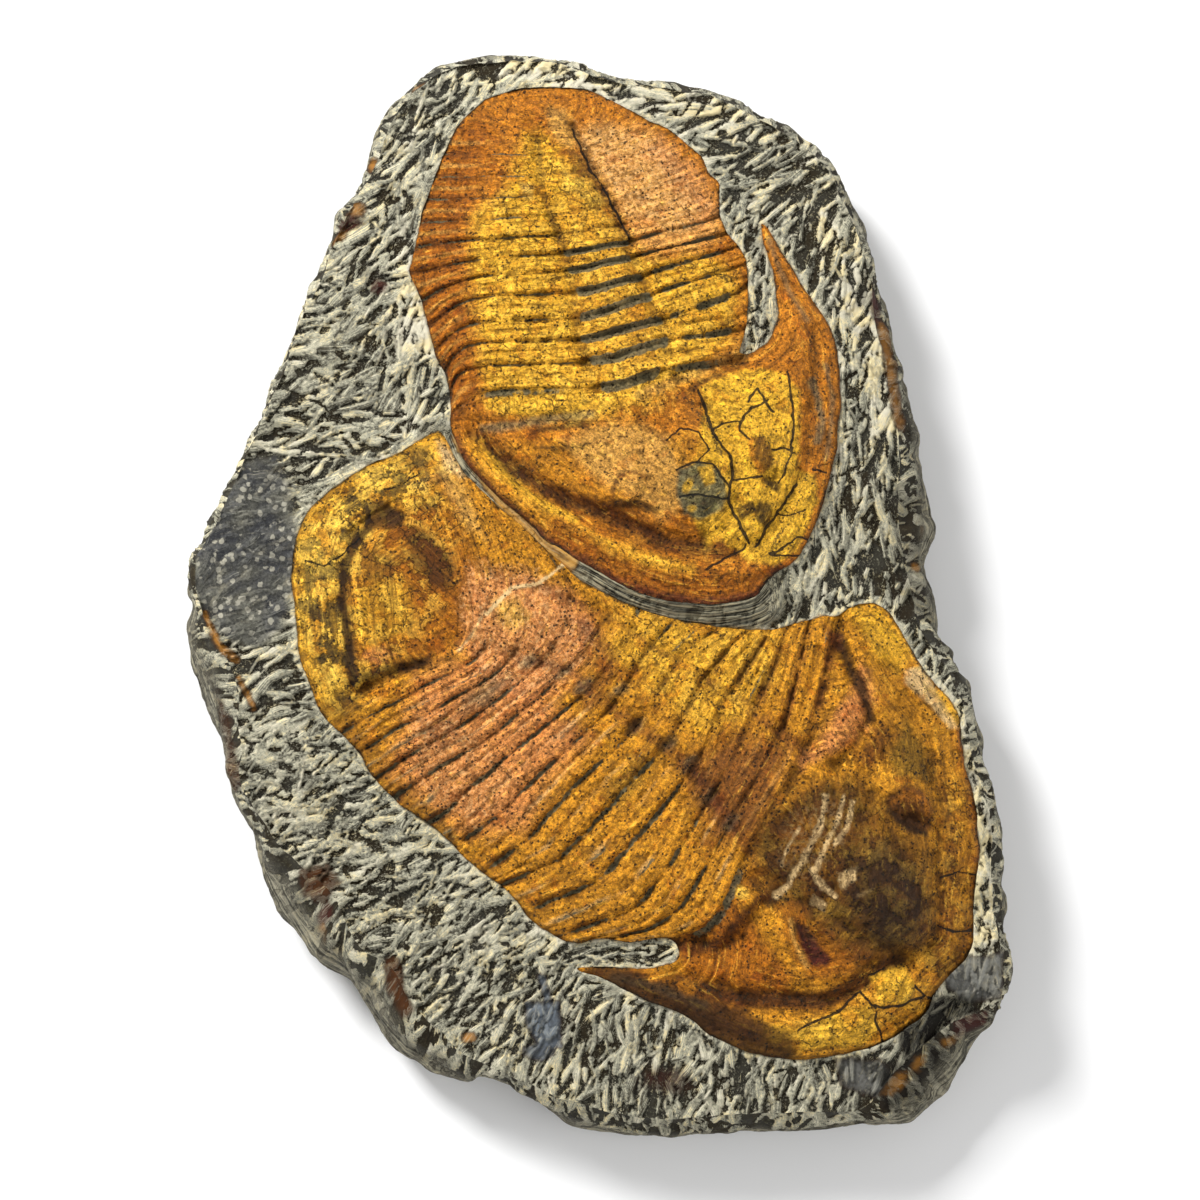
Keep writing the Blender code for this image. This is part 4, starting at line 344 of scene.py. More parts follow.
# Colour features: (palette name or mark, strength, softness, kind, data), later ones over earlier.
# A mark's strength is kept at the mesh's points for the material to use.
# An "area" is a closed outline, a "line" a half width and its points, an "oval" x, y, half length,
# half width and turn in degrees. Laid out on FOSSIL_PLANE.
SMALL_FEATURES = [
    ("burnt", 0.85, 6.0, "area", [(-66, 112), (-62, 135), (-57, 152), (-44, 168), (-36, 160),
        (-42, 136), (-45, 110), (-43, 85), (-38, 70), (-52, 60), (-60, 90)]),
    ("gold", 0.85, 4.0, "area", [(-25, 157.5), (-32.5, 137), (-41.5, 130), (-44, 120), (-42, 101),
        (-40.5, 84), (-38.5, 70), (-33.5, 63), (-13.5, 60.5), (0, 62), (13.5, 67), (30, 75.5),
        (38.5, 84.5), (44, 92), (46.5, 102.5), (45.5, 111), (40.5, 115.5), (30.5, 117.5),
        (17, 115), (10.5, 119.5), (3.5, 131), (-5, 143), (-13.5, 153), (-20.5, 158.5)]),
    ("peach", 0.85, 3.5, "area", [(-3.5, 164), (17, 161), (34, 145.5), (41.5, 131.5),
        (39.5, 122.5), (30.5, 119.5), (17, 117), (12, 121), (4, 134.5), (-3, 146.5), (-8.5, 157)]),
    ("pink", 0.6, 4.0, "area", [(20, 158), (34, 146), (40, 133), (34, 128), (26, 142), (14, 155)]),
    ("tan", 0.75, 2.0, "area", [(-18, 169), (-11.5, 166.5), (-7, 157), (-10.5, 153.5),
        (-15, 156.5), (-18, 163.5)]),
    ("olive", 0.6, 1.6, "area", [(-9.5, 153.5), (-3, 146), (2.5, 134.5), (1, 131), (-5, 134.5),
        (-9.5, 143)]),
    ("bright", 0.6, 1.5, "area", [(-13.5, 148), (-3.5, 141.5), (-5, 136), (-12, 139.5)]),
    ("window", 0.6, 1.0, "area", [(-27, 142), (-22.5, 140.5), (-23, 135.5), (-26.5, 137)]),
    ("amber", 0.35, 3.0, "area", [(-16, 132), (3, 133), (18, 100), (20, 78), (0, 73), (-8, 95)]),
    ("ring", 0.75, 1.2, "line", (1.6, [(-39, 57), (-26, 59), (-13, 61.5), (-3, 62.5)])),
    ("gold", 0.9, 1.2, "line", (2.6, [(-36, 65.5), (-22, 65), (-7, 66.5)])),
    ("orange", 0.9, 1.0, "line", (2.8, [(-20, 53.5), (-12, 54), (-5, 55.5)])),
    ("tan", 0.8, 3.0, "area", [(-13.5, 53.5), (0, 59), (13.5, 59), (27, 54), (30, 44), (28, 32),
        (20, 27), (13.5, 33.5), (3, 37), (-5, 43.5)]),
    ("amber", 0.7, 2.5, "area", [(-32, 53), (-14, 53), (-6, 43), (4, 37), (12, 33), (2, 31),
        (-16, 38), (-30, 48)]),
    ("tan", 0.75, 1.2, "line", (1.8, [(13.5, 69.5), (23.5, 73.5), (33.5, 78), (42, 82),
        (48.5, 84.5)])),
    ("brown", 0.95, 2.2, "line", (3.0, [(-39, 53), (-33.5, 48), (-27, 42.5), (-17.5, 36),
        (-7, 32.5), (3, 29.5), (13.5, 24), (22.5, 18.5), (33.5, 17), (40, 17.5)])),
    ("gold", 0.85, 1.4, "line", (2.2, [(-41, 51), (-34.5, 43), (-27, 36), (-18.5, 30.5),
        (-9.5, 26.5)])),
    ("amber", 0.8, 1.6, "line", (2.6, [(-43.5, 52), (-38, 42), (-30, 35), (-21, 28.5),
        (-10, 21.5)])),
    ("gold", 0.6, 1.8, "line", (2.2, [(-6, 22), (6, 16.5), (17, 12.5), (30, 10.5)])),
    ("burnt", 0.85, 3.0, "line", (4.6, [(-13.5, 23), (0, 13), (13, 6.5), (30, 3.5), (46.5, 4),
        (58, 8)])),
    ("orange", 0.8, 3.0, "area", [(68, 93), (66, 106), (60, 118), (55, 130), (50, 132), (56, 112),
        (58, 96), (52, 84), (60, 80), (70, 72), (74, 60), (77, 46), (73, 32), (66, 20), (60, 10),
        (70, 14), (80, 38), (83, 66), (82, 88)]),
    ("gold", 0.97, 1.2, "area", [(33.5, 72.5), (44, 77), (54, 79), (63, 77), (67.5, 71),
        (67.5, 58), (66.5, 44.5), (72, 43), (73, 34.5), (69, 24), (65.5, 16.5), (58.5, 12.5),
        (49.5, 13), (45, 17.5), (41, 20.5), (35.5, 18.5), (31.5, 27), (28, 34.5), (30, 44),
        (33.5, 54), (35, 64.5)]),
    ("amber", 0.7, 1.0, "area", [(22, 54), (27, 58), (33.5, 57), (36.5, 51), (32.5, 46.5),
        (26, 44.5)]),
    ("window", 0.9, 0.9, "area", [(26, 44), (33.5, 46.5), (40, 44), (43, 37.5), (41, 30),
        (33.5, 27), (28, 29), (25.5, 35.5)]),
    ("gold", 0.85, 0.6, "area", [(33, 44.5), (37.5, 45.5), (39, 39.5), (35, 38)]),
    ("gold", 0.8, 0.5, "oval", (29.5, 38.5, 2.4, 1.3, 60)),
    ("gold", 0.7, 0.5, "oval", (30.5, 31.0, 1.6, 1.1, 20)),
    ("char", 0.6, 0.6, "area", [(32.5, 33.5), (35.5, 35.5), (38.5, 33.5), (38, 30), (34.5, 27.5),
        (33, 29.5)]),
    ("brown", 0.85, 0.9, "area", [(51, 55.5), (55, 56), (58, 51), (58, 45.5), (54.5, 43),
        (52, 47.5)]),
    ("orange", 0.8, 0.7, "line", (0.9, [(50.5, 54.5), (51.5, 48), (54, 44)])),
    ("dark", 0.9, 0.7, "area", [(54.5, 41.5), (60, 40), (60, 37), (57.5, 37.5)]),
    ("dark", 0.85, 0.7, "area", [(45.5, 31), (51.5, 34), (52.5, 30), (47.5, 27)]),
    ("dark", 0.85, 0.7, "area", [(53, 34), (58.5, 32.5), (55.5, 24), (51.5, 29)]),
    ("ring", 0.75, 1.0, "line", (1.3, [(71.5, 75), (73.5, 68.5), (75, 61.5), (73.5, 54.5)])),
    ("ring", 0.6, 0.8, "line", (0.9, [(76.5, 80), (78.5, 70), (78, 58), (76, 48)])),
    ("ring", 0.55, 0.8, "line", (1.0, [(70, 96), (65, 104), (61, 113), (57, 124)])),
    ("dark", 0.7, 0.8, "line", (0.8, [(30, 71), (35.5, 74.5), (42, 77.5), (49, 81)])),
    ("brown", 0.75, 0.7, "line", (0.8, [(4, 33.5), (4.5, 38.5), (7, 42), (11.5, 43), (15, 41)])),
    ("dark", 0.8, 0.9, "line", (1.4, [(6, 32.5), (13.5, 32), (18.5, 30)])),
    ("brown", 0.7, 0.8, "oval", (16.5, 57.5, 2.2, 1.2, -20)),
    ("brown", 0.7, 0.8, "oval", (21.5, 54.0, 1.8, 1.2, -40)),
    ("dark", 0.8, 0.8, "line", (0.8, [(-22, 56.5), (-13, 58), (-3, 59.5)])),
    ("dark", 0.7, 0.8, "line", (0.7, [(-22, 51), (-13, 50.5), (-4, 52.5)])),
    ("wine", 0.8, 1.4, "line", (1.8, [(-49, 53), (-43, 43), (-31, 31), (-18, 19.5), (-8, 13.5),
        (3, 7), (15.5, 1.8), (30, -0.8), (44, -0.2), (53, 2.5), (60, 10)])),
    ("flakes", 0.6, 6.0, "area", [(-42, 130), (-44, 100), (-38, 62), (16, 60), (46, 84), (48, 112),
        (16, 120), (-4, 146), (-24, 160)]),
    ("flakes", 0.2, 3.0, "line", (7.0, [(-40, 50), (-20, 30), (4, 17), (28, 10), (50, 12)])),
    ("charred", 0.5, 2.0, "area", [(40, 50), (48, 62), (62, 50), (64, 28), (50, 18), (42, 26)]),
    ("pale", 0.55, 4.0, "area", [(-10, 165), (20, 160), (40, 135), (30, 122), (8, 128),
        (-8, 155)]),
    ("pale", 0.35, 4.0, "oval", (12, 50, 18, 10, 10)),
    ("grime", 0.65, 2.5, "line", (2.0, [(21, 71), (32, 66), (37, 58), (40, 50)])),
    ("grime", 0.55, 3.0, "line", (2.5, [(72, 90), (73, 70), (71, 50), (66, 32), (58, 18)])),
    ("grime", 0.5, 3.0, "oval", (-22, 45, 14, 4, 30)),
]
SMALL_CRACKS = [
    (1.0, [(33, 71), (35.5, 64.5), (37.5, 57.5), (41, 52), (44.5, 47.5), (44, 40.5), (43, 34),
        (45, 29), (47.5, 24.5), (50, 19.5)]),
    (0.9, [(66, 39.5), (62.5, 34), (59, 29), (55.5, 24), (52.5, 18.5)]),
    (0.9, [(56.5, 68), (51, 65.5), (47.5, 61), (47, 57.5), (50.5, 54.5)]),
    (0.8, [(57, 16), (62, 18), (66, 21.5), (71, 20.5)]),
    (0.7, [(57, 16), (63.5, 15), (69, 16)]),
    (0.8, [(35.5, 10), (40.5, 13.5), (47.5, 17), (48.5, 19)]),
    (0.8, [(63.5, 78), (64.5, 68), (65.5, 58), (64, 51)]),
    (0.8, [(50, 67.5), (53, 72), (55.5, 68), (58.5, 64)]),
    (0.7, [(71.5, 45), (76, 43.5)]),
    (0.75, [(-9.5, 160.5), (-3.5, 146.5), (0, 141.5), (4, 134.5), (7.5, 127.5), (10, 122.5)]),
    (0.7, [(25.5, 44), (31, 46.5), (38, 46), (43.5, 38)]),
    (0.7, [(27, 34.5), (33, 36), (40, 34.5), (43, 34)]),
    (0.7, [(44, 40.5), (50, 41.5), (54.5, 42)]),
    (0.6, [(22, 54), (27, 58), (33.5, 57), (36.5, 51), (32.5, 46.5)]),
    (0.7, [(60, 40), (63, 46), (65, 52)]),
    (0.7, [(58, 51), (62, 52), (65.5, 50)]),
    (0.7, [(47.5, 61), (42, 60), (37.5, 58)]),
    (0.6, [(59, 29), (64, 29), (69, 31)]),
]
LARGE_FEATURES = [
    ("gold", 0.75, 6.0, "area", [(-54, 56), (-82, 41), (-98, 26), (-103, 6), (-100, -16),
        (-90, -40), (-80, -34), (-84, -10), (-84, 10), (-74, 26), (-56, 38)]),
    ("char", 0.7, 2.0, "line", (4.0, [(-60, 47), (-72, 38), (-82, 31), (-90, 20), (-94, 6),
        (-93, -10), (-89, -26)])),
    ("burnt", 0.75, 5.0, "area", [(-80, 18), (-62, 34), (-52, 34), (-40, 12), (-44, -14),
        (-60, -22), (-80, -22), (-86, 0)]),
    ("gold", 0.55, 3.0, "area", [(-82.5, 2.5), (-75, 6), (-66.5, 7.5), (-62.5, 2.5), (-64, -4),
        (-62.5, -9), (-71.5, -14), (-80, -16), (-83, -7.5)]),
    ("olive", 0.6, 2.5, "area", [(-80, 17.5), (-71.5, 16.5), (-69, 9), (-75, 5), (-82.5, 4)]),
    ("brown", 0.7, 3.5, "area", [(-68, 23.5), (-57, 22.5), (-48.5, 13.5), (-48, 4.5), (-56.5, 2.5),
        (-63.5, 12.5)]),
    ("tan", 0.85, 2.5, "area", [(-54.5, 50.5), (-49.5, 43), (-43.5, 33), (-38, 19.5), (-43.5, 23),
        (-51, 33), (-53.5, 41)]),
    ("cream", 0.85, 1.5, "area", [(-55, 53), (-50.5, 49.5), (-44, 41.5), (-47, 40.5),
        (-52, 44.5)]),
    ("char", 0.8, 1.6, "line", (2.6, [(-76, 24), (-82.5, 16.5), (-85, 9), (-85.5, -1), (-84, -11),
        (-83, -19), (-82, -27.5)])),
    ("char", 0.85, 1.2, "area", [(-77.5, 30.5), (-73, 32.5), (-65, 27.5), (-67, 25), (-70.5, 24),
        (-77.5, 25)]),
    ("ring", 0.7, 1.5, "area", [(-65, 37.5), (-53.5, 43), (-51.5, 41), (-58.5, 36)]),
    ("olive", 0.7, 2.0, "area", [(-63.5, 32.5), (-53.5, 36), (-51, 33), (-57, 28.5), (-63, 30)]),
    ("bright", 0.9, 0.9, "area", [(-81.5, 42.5), (-71, 44.5), (-66.5, 41), (-67.5, 38), (-74, 35),
        (-81.5, 35.5)]),
    ("bright", 0.85, 0.9, "area", [(-66.5, 41), (-62, 43), (-57.5, 44), (-58, 41.5), (-64, 39)]),
    ("bright", 0.9, 0.9, "area", [(-98, 24), (-91, 27), (-84.5, 24), (-90, 22), (-96, 22.5)]),
    ("bright", 0.85, 0.8, "area", [(-90, 30.5), (-85.5, 32.5), (-84, 30), (-87.5, 27.5)]),
    ("bright", 0.9, 0.9, "area", [(-100.5, 19), (-82, 21.5), (-83, 16.5), (-88, 12.5), (-89, 5.5),
        (-93.5, 7.5), (-97.5, 9.5), (-101.5, 13.5)]),
    ("bright", 0.85, 0.8, "area", [(-97.5, 9), (-93.5, 7.5), (-93, 2.5), (-95, -4.5),
        (-97.5, -1)]),
    ("bright", 0.8, 0.8, "area", [(-88.5, 12.5), (-87, 5.5), (-87.5, 2.5), (-89.5, 5.5)]),
    ("bright", 0.8, 0.8, "area", [(-100, -0.5), (-97.5, -0.5), (-97.5, -5), (-100, -3.5)]),
    ("bright", 0.8, 0.8, "area", [(-95.5, -7.5), (-92, -11), (-92, -17), (-94.5, -14.5)]),
    ("bright", 0.85, 0.8, "area", [(-88, -22.5), (-85.5, -27.5), (-87.5, -31), (-90.5, -27.5)]),
    ("dark", 0.85, 1.6, "line", (2.4, [(-82.5, -28.5), (-74.5, -25.5), (-66.5, -23),
        (-58, -21.5)])),
    ("dark", 0.7, 2.5, "area", [(-89, -34), (-82.5, -31), (-76, -31), (-84, -40.5)]),
    ("pink", 0.8, 1.6, "area", [(-78, -17.5), (-71.5, -16), (-68, -19), (-73, -21.5), (-79, -21)]),
    ("pink", 0.8, 4.0, "area", [(-43.5, 9.5), (-27, 9.5), (-10, 3), (0, -10.5), (-7, -27),
        (-20, -33.5), (-33.5, -34), (-46.5, -17.5)]),
    ("bright", 0.5, 2.5, "area", [(-35, -0.5), (-27, -0.5), (-23.5, -7), (-28.5, -10.5),
        (-34, -7)]),
    ("gold", 0.6, 5.0, "area", [(12, -3), (33.5, -8), (60, -12), (58, -26.5), (46.5, -40),
        (33, -43.5), (20, -32), (2, -14)]),
    ("pink", 0.75, 6.0, "area", [(-60, -26), (-46, -20), (-20, -30), (-4, -46), (-24, -76),
        (-44, -78), (-70, -58)]),
    ("amber", 0.5, 6.0, "area", [(-22, -60), (6, -50), (26, -72), (30, -100), (0, -108),
        (-20, -100)]),
    ("maroon", 0.75, 6.0, "area", [(26, -54), (46.5, -44), (64, -50), (58, -66), (52, -80),
        (36, -80)]),
    ("ring", 0.6, 3.0, "oval", (-38, -32, 8.0, 4.0, 35)),
    ("maroon", 0.5, 3.0, "oval", (-53, -44, 8.0, 5.0, 40)),
    ("olive", 0.6, 3.0, "oval", (10, -60, 10.0, 4.0, 50)),
    ("maroon", 0.6, 3.0, "line", (3.0, [(-6, -8), (0, -16), (2, -26), (-4, -34)])),
    ("pink", 0.75, 2.5, "area", [(83.5, -30), (87, -19.5), (92, -29.5), (89.5, -43), (80, -50),
        (66.5, -56), (65, -53), (73, -46.5)]),
    ("burnt", 0.85, 3.0, "area", [(24, -113), (34, -106), (44, -98), (54, -112), (64, -124),
        (60, -131), (40, -129), (28, -124)]),
    ("orange", 0.8, 2.5, "area", [(-8, -122.5), (13, -121.5), (29.5, -127), (46, -132),
        (52.5, -146), (32.5, -139.5), (13, -131)]),
    ("umber", 0.9, 5.0, "area", [(50, -80), (56, -72), (66.5, -62), (83, -60), (91, -70),
        (88, -84), (80, -98), (66, -104), (54, -98)]),
    ("brown", 0.75, 2.5, "area", [(60, -84), (70, -88), (78, -94), (72, -100), (60, -96)]),
    ("orange", 0.6, 2.5, "area", [(58, -78), (70, -72), (76, -80), (68, -84)]),
    ("umber", 0.9, 3.5, "area", [(87, -76.5), (99.5, -79.5), (109.5, -89.5), (109, -109),
        (99, -117.5), (85, -114), (78, -102)]),
    ("brown", 0.7, 3.0, "area", [(96, -84), (108, -92), (108, -108), (98, -116), (90, -106),
        (92, -94)]),
    ("char", 0.55, 4.0, "area", [(80, -84), (96, -82), (106, -92), (106, -110), (96, -114),
        (84, -108)]),
    ("char", 0.7, 2.0, "area", [(92.5, -101), (97.5, -99.5), (96.5, -111), (93, -111)]),
    ("dark", 0.6, 2.5, "area", [(66, -104), (78, -98), (86, -92), (90, -96), (84, -106),
        (74, -112)]),
    ("burnt", 0.8, 3.0, "area", [(60, -102), (68, -106), (78, -112), (92, -118), (84, -124),
        (70, -126), (62, -116)]),
    ("brown", 0.55, 4.0, "area", [(24, -128), (50, -140), (62, -150), (30, -140), (0, -126)]),
    ("orange", 0.75, 2.0, "line", (2.5, [(44, -96), (52, -90), (60, -98), (66, -104)])),
    ("dark", 0.9, 1.4, "area", [(49.5, -93), (54.5, -97.5), (62.5, -98.5), (56, -101)]),
    ("brown", 0.9, 1.2, "line", (1.8, [(25, -114), (29.5, -116), (39.5, -113.5), (46, -106),
        (53, -99), (59.5, -95.5)])),
    ("brown", 0.95, 1.8, "line", (3.2, [(34, -129), (47.5, -132), (59, -132.5), (72.5, -132.5),
        (80.5, -129.5), (88, -124.5), (98, -120)])),
    ("brown", 0.5, 3.0, "line", (4.0, [(10, -128), (30, -136), (48, -143)])),
    ("gold", 0.6, 2.0, "line", (3.0, [(58, -143), (68, -144), (80, -141)])),
    ("pale", 1.0, 1.0, "line", (1.5, [(75, -65.5), (73, -75), (67, -86.5), (62, -94.5),
        (58, -98)])),
    ("pale", 0.95, 0.9, "line", (1.1, [(81, -65), (78.5, -74), (73.5, -84), (71, -91)])),
    ("pale", 0.95, 0.9, "line", (1.2, [(84, -67), (82, -75), (78, -81)])),
    ("pale", 0.95, 0.9, "line", (1.4, [(70, -89.5), (73.5, -95), (77.5, -98)])),
    ("pale", 0.9, 1.5, "area", [(78, -90), (86, -88), (85, -94), (80, -97)]),
    ("pale", 0.9, 1.2, "area", [(70, -97), (76, -100), (74, -103), (69, -101)]),
    ("pale", 0.9, 0.8, "line", (0.9, [(66, -76), (62, -82), (60, -88)])),
    ("cream", 0.6, 0.7, "line", (0.5, [(85.5, -98), (90, -96)])),
    ("cream", 0.6, 0.6, "line", (0.5, [(59.5, -96), (62.5, -95)])),
    ("cream", 0.8, 0.8, "area", [(102, -23), (109, -21), (112, -29.5), (120.5, -43), (117, -42.5),
        (108.5, -33), (102, -28)]),
    ("gold", 0.6, 2.0, "area", [(110.5, -29.5), (120.5, -33), (125.5, -44.5), (120.5, -43)]),
    ("dark", 0.8, 1.5, "line", (1.8, [(80, -13), (83.5, -21.5), (87.5, -29.5), (90, -39.5)])),
    ("maroon", 0.8, 1.4, "area", [(74, -7), (80.5, -10.5), (81, -16.5), (77, -15.5)]),
    ("olive", 0.7, 3.0, "area", [(95, -53), (102, -39.5), (108.5, -49.5), (110, -59.5),
        (100, -59.5)]),
    ("brown", 0.8, 2.5, "area", [(83, -53), (93.5, -39.5), (100, -44.5), (90, -56.5)]),
    ("gold", 0.7, 3.0, "area", [(83.5, -3), (94, -2), (104, -16), (100, -24), (92, -18.5)]),
    ("umber", 0.85, 3.0, "area", [(112, -50), (118, -62), (123, -86), (125, -99.5), (123, -116),
        (112.5, -127.5), (109, -119), (111, -102.5), (113, -80)]),
    ("amber", 0.7, 1.5, "line", (1.8, [(116, -52), (119.5, -70), (120.5, -90), (120, -106),
        (114, -120)])),
    ("burnt", 0.8, 1.8, "line", (2.2, [(120, -44), (123.5, -59.5), (126, -75), (125.5, -92)])),
    ("brown", 0.9, 1.2, "area", [(94.5, -66.5), (101.5, -60.5), (108, -63), (111, -69.5),
        (109.5, -77), (103, -77), (98, -73.5)]),
    ("dark", 0.85, 0.9, "line", (1.2, [(96, -70), (101, -74.5), (108, -77.5)])),
    ("orange", 0.7, 0.8, "line", (0.7, [(97.5, -67), (102.5, -64), (107.5, -66), (109, -71)])),
    ("wine", 0.95, 1.0, "area", [(64.5, -107.5), (68, -107.5), (76, -119), (74.5, -121),
        (70, -121), (66.5, -115)]),
    ("tan", 0.7, 0.8, "line", (0.8, [(63, -106), (64, -113), (68, -121)])),
    ("bright", 0.7, 0.8, "oval", (46.5, -97, 2.6, 1.8, -40)),
    ("dark", 0.8, 0.8, "oval", (34.3, -114, 1.6, 1.2, 0)),
    ("gold", 0.9, 1.2, "area", [(89, -124), (100.5, -120.5), (104, -127.5), (100.5, -134),
        (92.5, -134)]),
    ("gold", 0.9, 1.2, "area", [(79, -135.5), (89, -134), (92, -142), (85.5, -147), (65.5, -148.5),
        (65.5, -142)]),
    ("ring", 0.6, 1.4, "line", (1.4, [(4, -125), (18, -127.5), (34, -134)])),
    ("pale", 1.6, 0.35, "line", (0.45, [(-11.5, 12.5), (-16, 8.5), (-21, 5), (-29.5, 3.5),
        (-33.5, -0.5), (-38, -5.5)])),
    ("cream", 0.95, 0.5, "line", (0.5, [(-11.5, 12.5), (-16, 8.5), (-21, 5), (-29.5, 3.5),
        (-33.5, -0.5), (-38, -5.5)])),
    ("cream", 0.8, 0.5, "line", (0.4, [(-38.5, -4.5), (-42, -11.5), (-47, -17.5)])),
    ("char", 0.7, 1.5, "oval", (-54, -73, 4.5, 1.6, -40)),
    ("char", 0.8, 0.8, "oval", (-49, -79, 1.8, 1.2, -40)),
    ("shade", 0.6, 6.0, "area", [(50, -80), (56, -72), (66, -62), (83, -58), (98, -62), (110, -70),
        (114, -92), (112, -116), (98, -124), (84, -122), (66, -108), (52, -96)]),
    ("shade", 0.75, 4.0, "area", [(82, -86), (96, -82), (108, -92), (108, -112), (96, -118),
        (84, -112)]),
    ("shade", 0.8, 3.0, "line", (7.0, [(0, -126), (24, -134), (44, -141), (58, -148)])),
    ("shade", 0.5, 3.0, "line", (4.0, [(-89, -36), (-70, -60), (-50, -82), (-30, -102),
        (-8, -118)])),
    ("shade", 0.6, 3.0, "area", [(-68, 24), (-57, 23), (-48, 13), (-48, 4), (-56, 2), (-63, 12)]),
    ("shade", 0.4, 5.0, "line", (5.0, [(18, -46), (30, -58), (44, -70), (54, -76)])),
    ("shade", 0.85, 0.8, "line", (1.5, [(-70, 29), (-76, 25), (-82.5, 16.5), (-85, 9), (-85.5, -1),
        (-84, -11), (-83, -19), (-82, -27.5)])),
    ("shade", 0.7, 1.0, "area", [(-80, 31), (-73, 33.5), (-64, 28), (-66, 24), (-70.5, 22),
        (-78, 24)]),
    ("shade", 0.6, 1.0, "line", (1.6, [(-82.5, -28.5), (-74.5, -25.5), (-66.5, -23),
        (-58, -21.5)])),
    ("shade", 0.6, 0.8, "line", (0.6, [(-100, 15), (-92, 14), (-86, 16)])),
    ("shade", 0.5, 1.0, "line", (0.8, [(-60, -40), (-40, -62), (-52, -36)])),
    ("shade", 0.4, 4.0, "line", (5.0, [(112, -120), (124, -100), (124, -70), (118, -45)])),
    ("shade", 0.35, 6.0, "area", [(84, -6), (104, -10), (120, -34), (110, -60), (92, -52),
        (84, -30)]),
    ("shade", 0.4, 3.0, "line", (3.0, [(80, -8), (83, -21), (88, -30), (92, -42)])),
    ("flakes", 0.7, 5.0, "area", [(-54, 50), (-82, 41), (-98, 26), (-103, 6), (-100, -16),
        (-90, -40), (-66, -26), (-50, 0), (-46, 30)]),
    ("flakes", 0.45, 5.0, "area", [(0, 0), (60, -10), (60, -26), (40, -44), (10, -30)]),
    ("flakes", 0.5, 3.0, "area", [(62, -138), (72, -138), (90, -128), (108, -116), (118, -118),
        (104, -142), (60, -151)]),
    ("flakes", 0.35, 3.0, "area", [(112, -110), (114, -60), (126, -60), (126, -110)]),
    ("flakes", 0.3, 5.0, "area", [(54, -70), (84, -58), (100, -78), (112, -92), (108, -116),
        (86, -120), (66, -106), (52, -92)]),
    ("charred", 1.0, 3.0, "area", [(-58, 50), (-90, 38), (-104, 8), (-102, -20), (-88, -42),
        (-78, -30), (-84, 0), (-76, 24), (-54, 38)]),
    ("charred", 0.8, 5.0, "area", [(52, -74), (84, -58), (100, -78), (112, -92), (112, -120),
        (86, -124), (60, -112), (50, -92)]),
    ("charred", 0.6, 3.0, "area", [(82, -54), (96, -36), (108, -40), (112, -60), (92, -62)]),
    ("grime", 0.45, 4.0, "area", [(86, -78), (110, -90), (108, -116), (88, -114)]),
    ("grime", 0.5, 2.5, "line", (2.4, [(20, -124), (44, -131), (72, -132), (92, -122), (110, -112),
        (112, -80), (108, -46)])),
    ("pale", 0.5, 4.0, "area", [(-46, 16), (-20, 12), (2, -12), (-10, -32), (-40, -30),
        (-50, -4)]),
    ("pale", 0.5, 4.0, "area", [(-66, -40), (-50, -34), (-24, -60), (-40, -80), (-60, -66)]),
    ("pale", 0.5, 3.0, "area", [(60, -70), (80, -64), (84, -80), (68, -96), (56, -88)]),
]
# Purple-grey patches along the large trilobite's axial furrow.
LARGE_FEATURES += [
    ("ring", 0.75, 1.2, "oval", (x, y, 3.4, 1.8, turn))
    for x, y, turn in [
        (-24, -21, 20), (-12, -24.5, 30), (-6, -29, 40), (6, -30.5, 40), (12, -42, 45),
        (23, -48, 40), (29.5, -55, 50), (36.5, -65, 55), (43, -74, 55),
    ]
]
LARGE_CRACKS = [
    (0.9, [(85.5, -129), (89.5, -134), (94, -134.5), (100.5, -133.5), (107.5, -130.5)]),
    (0.8, [(90.5, -134.5), (91, -140.5), (94, -147)]),
    (0.7, [(88.5, -124), (94, -121.5)]),
    (0.8, [(65, -142), (72, -138.5), (79, -135.5), (85.5, -129)]),
    (0.7, [(104, -127.5), (107.5, -130.5), (110, -132)]),
    (0.7, [(112, -108), (117, -110), (123, -109)]),
    (0.7, [(113, -92), (119, -90), (125, -91)]),
    (0.6, [(-98, 12), (-92, 10), (-86, 14), (-80, 20)]),
    (0.6, [(-72, 36), (-66, 38), (-60, 42)]),
]

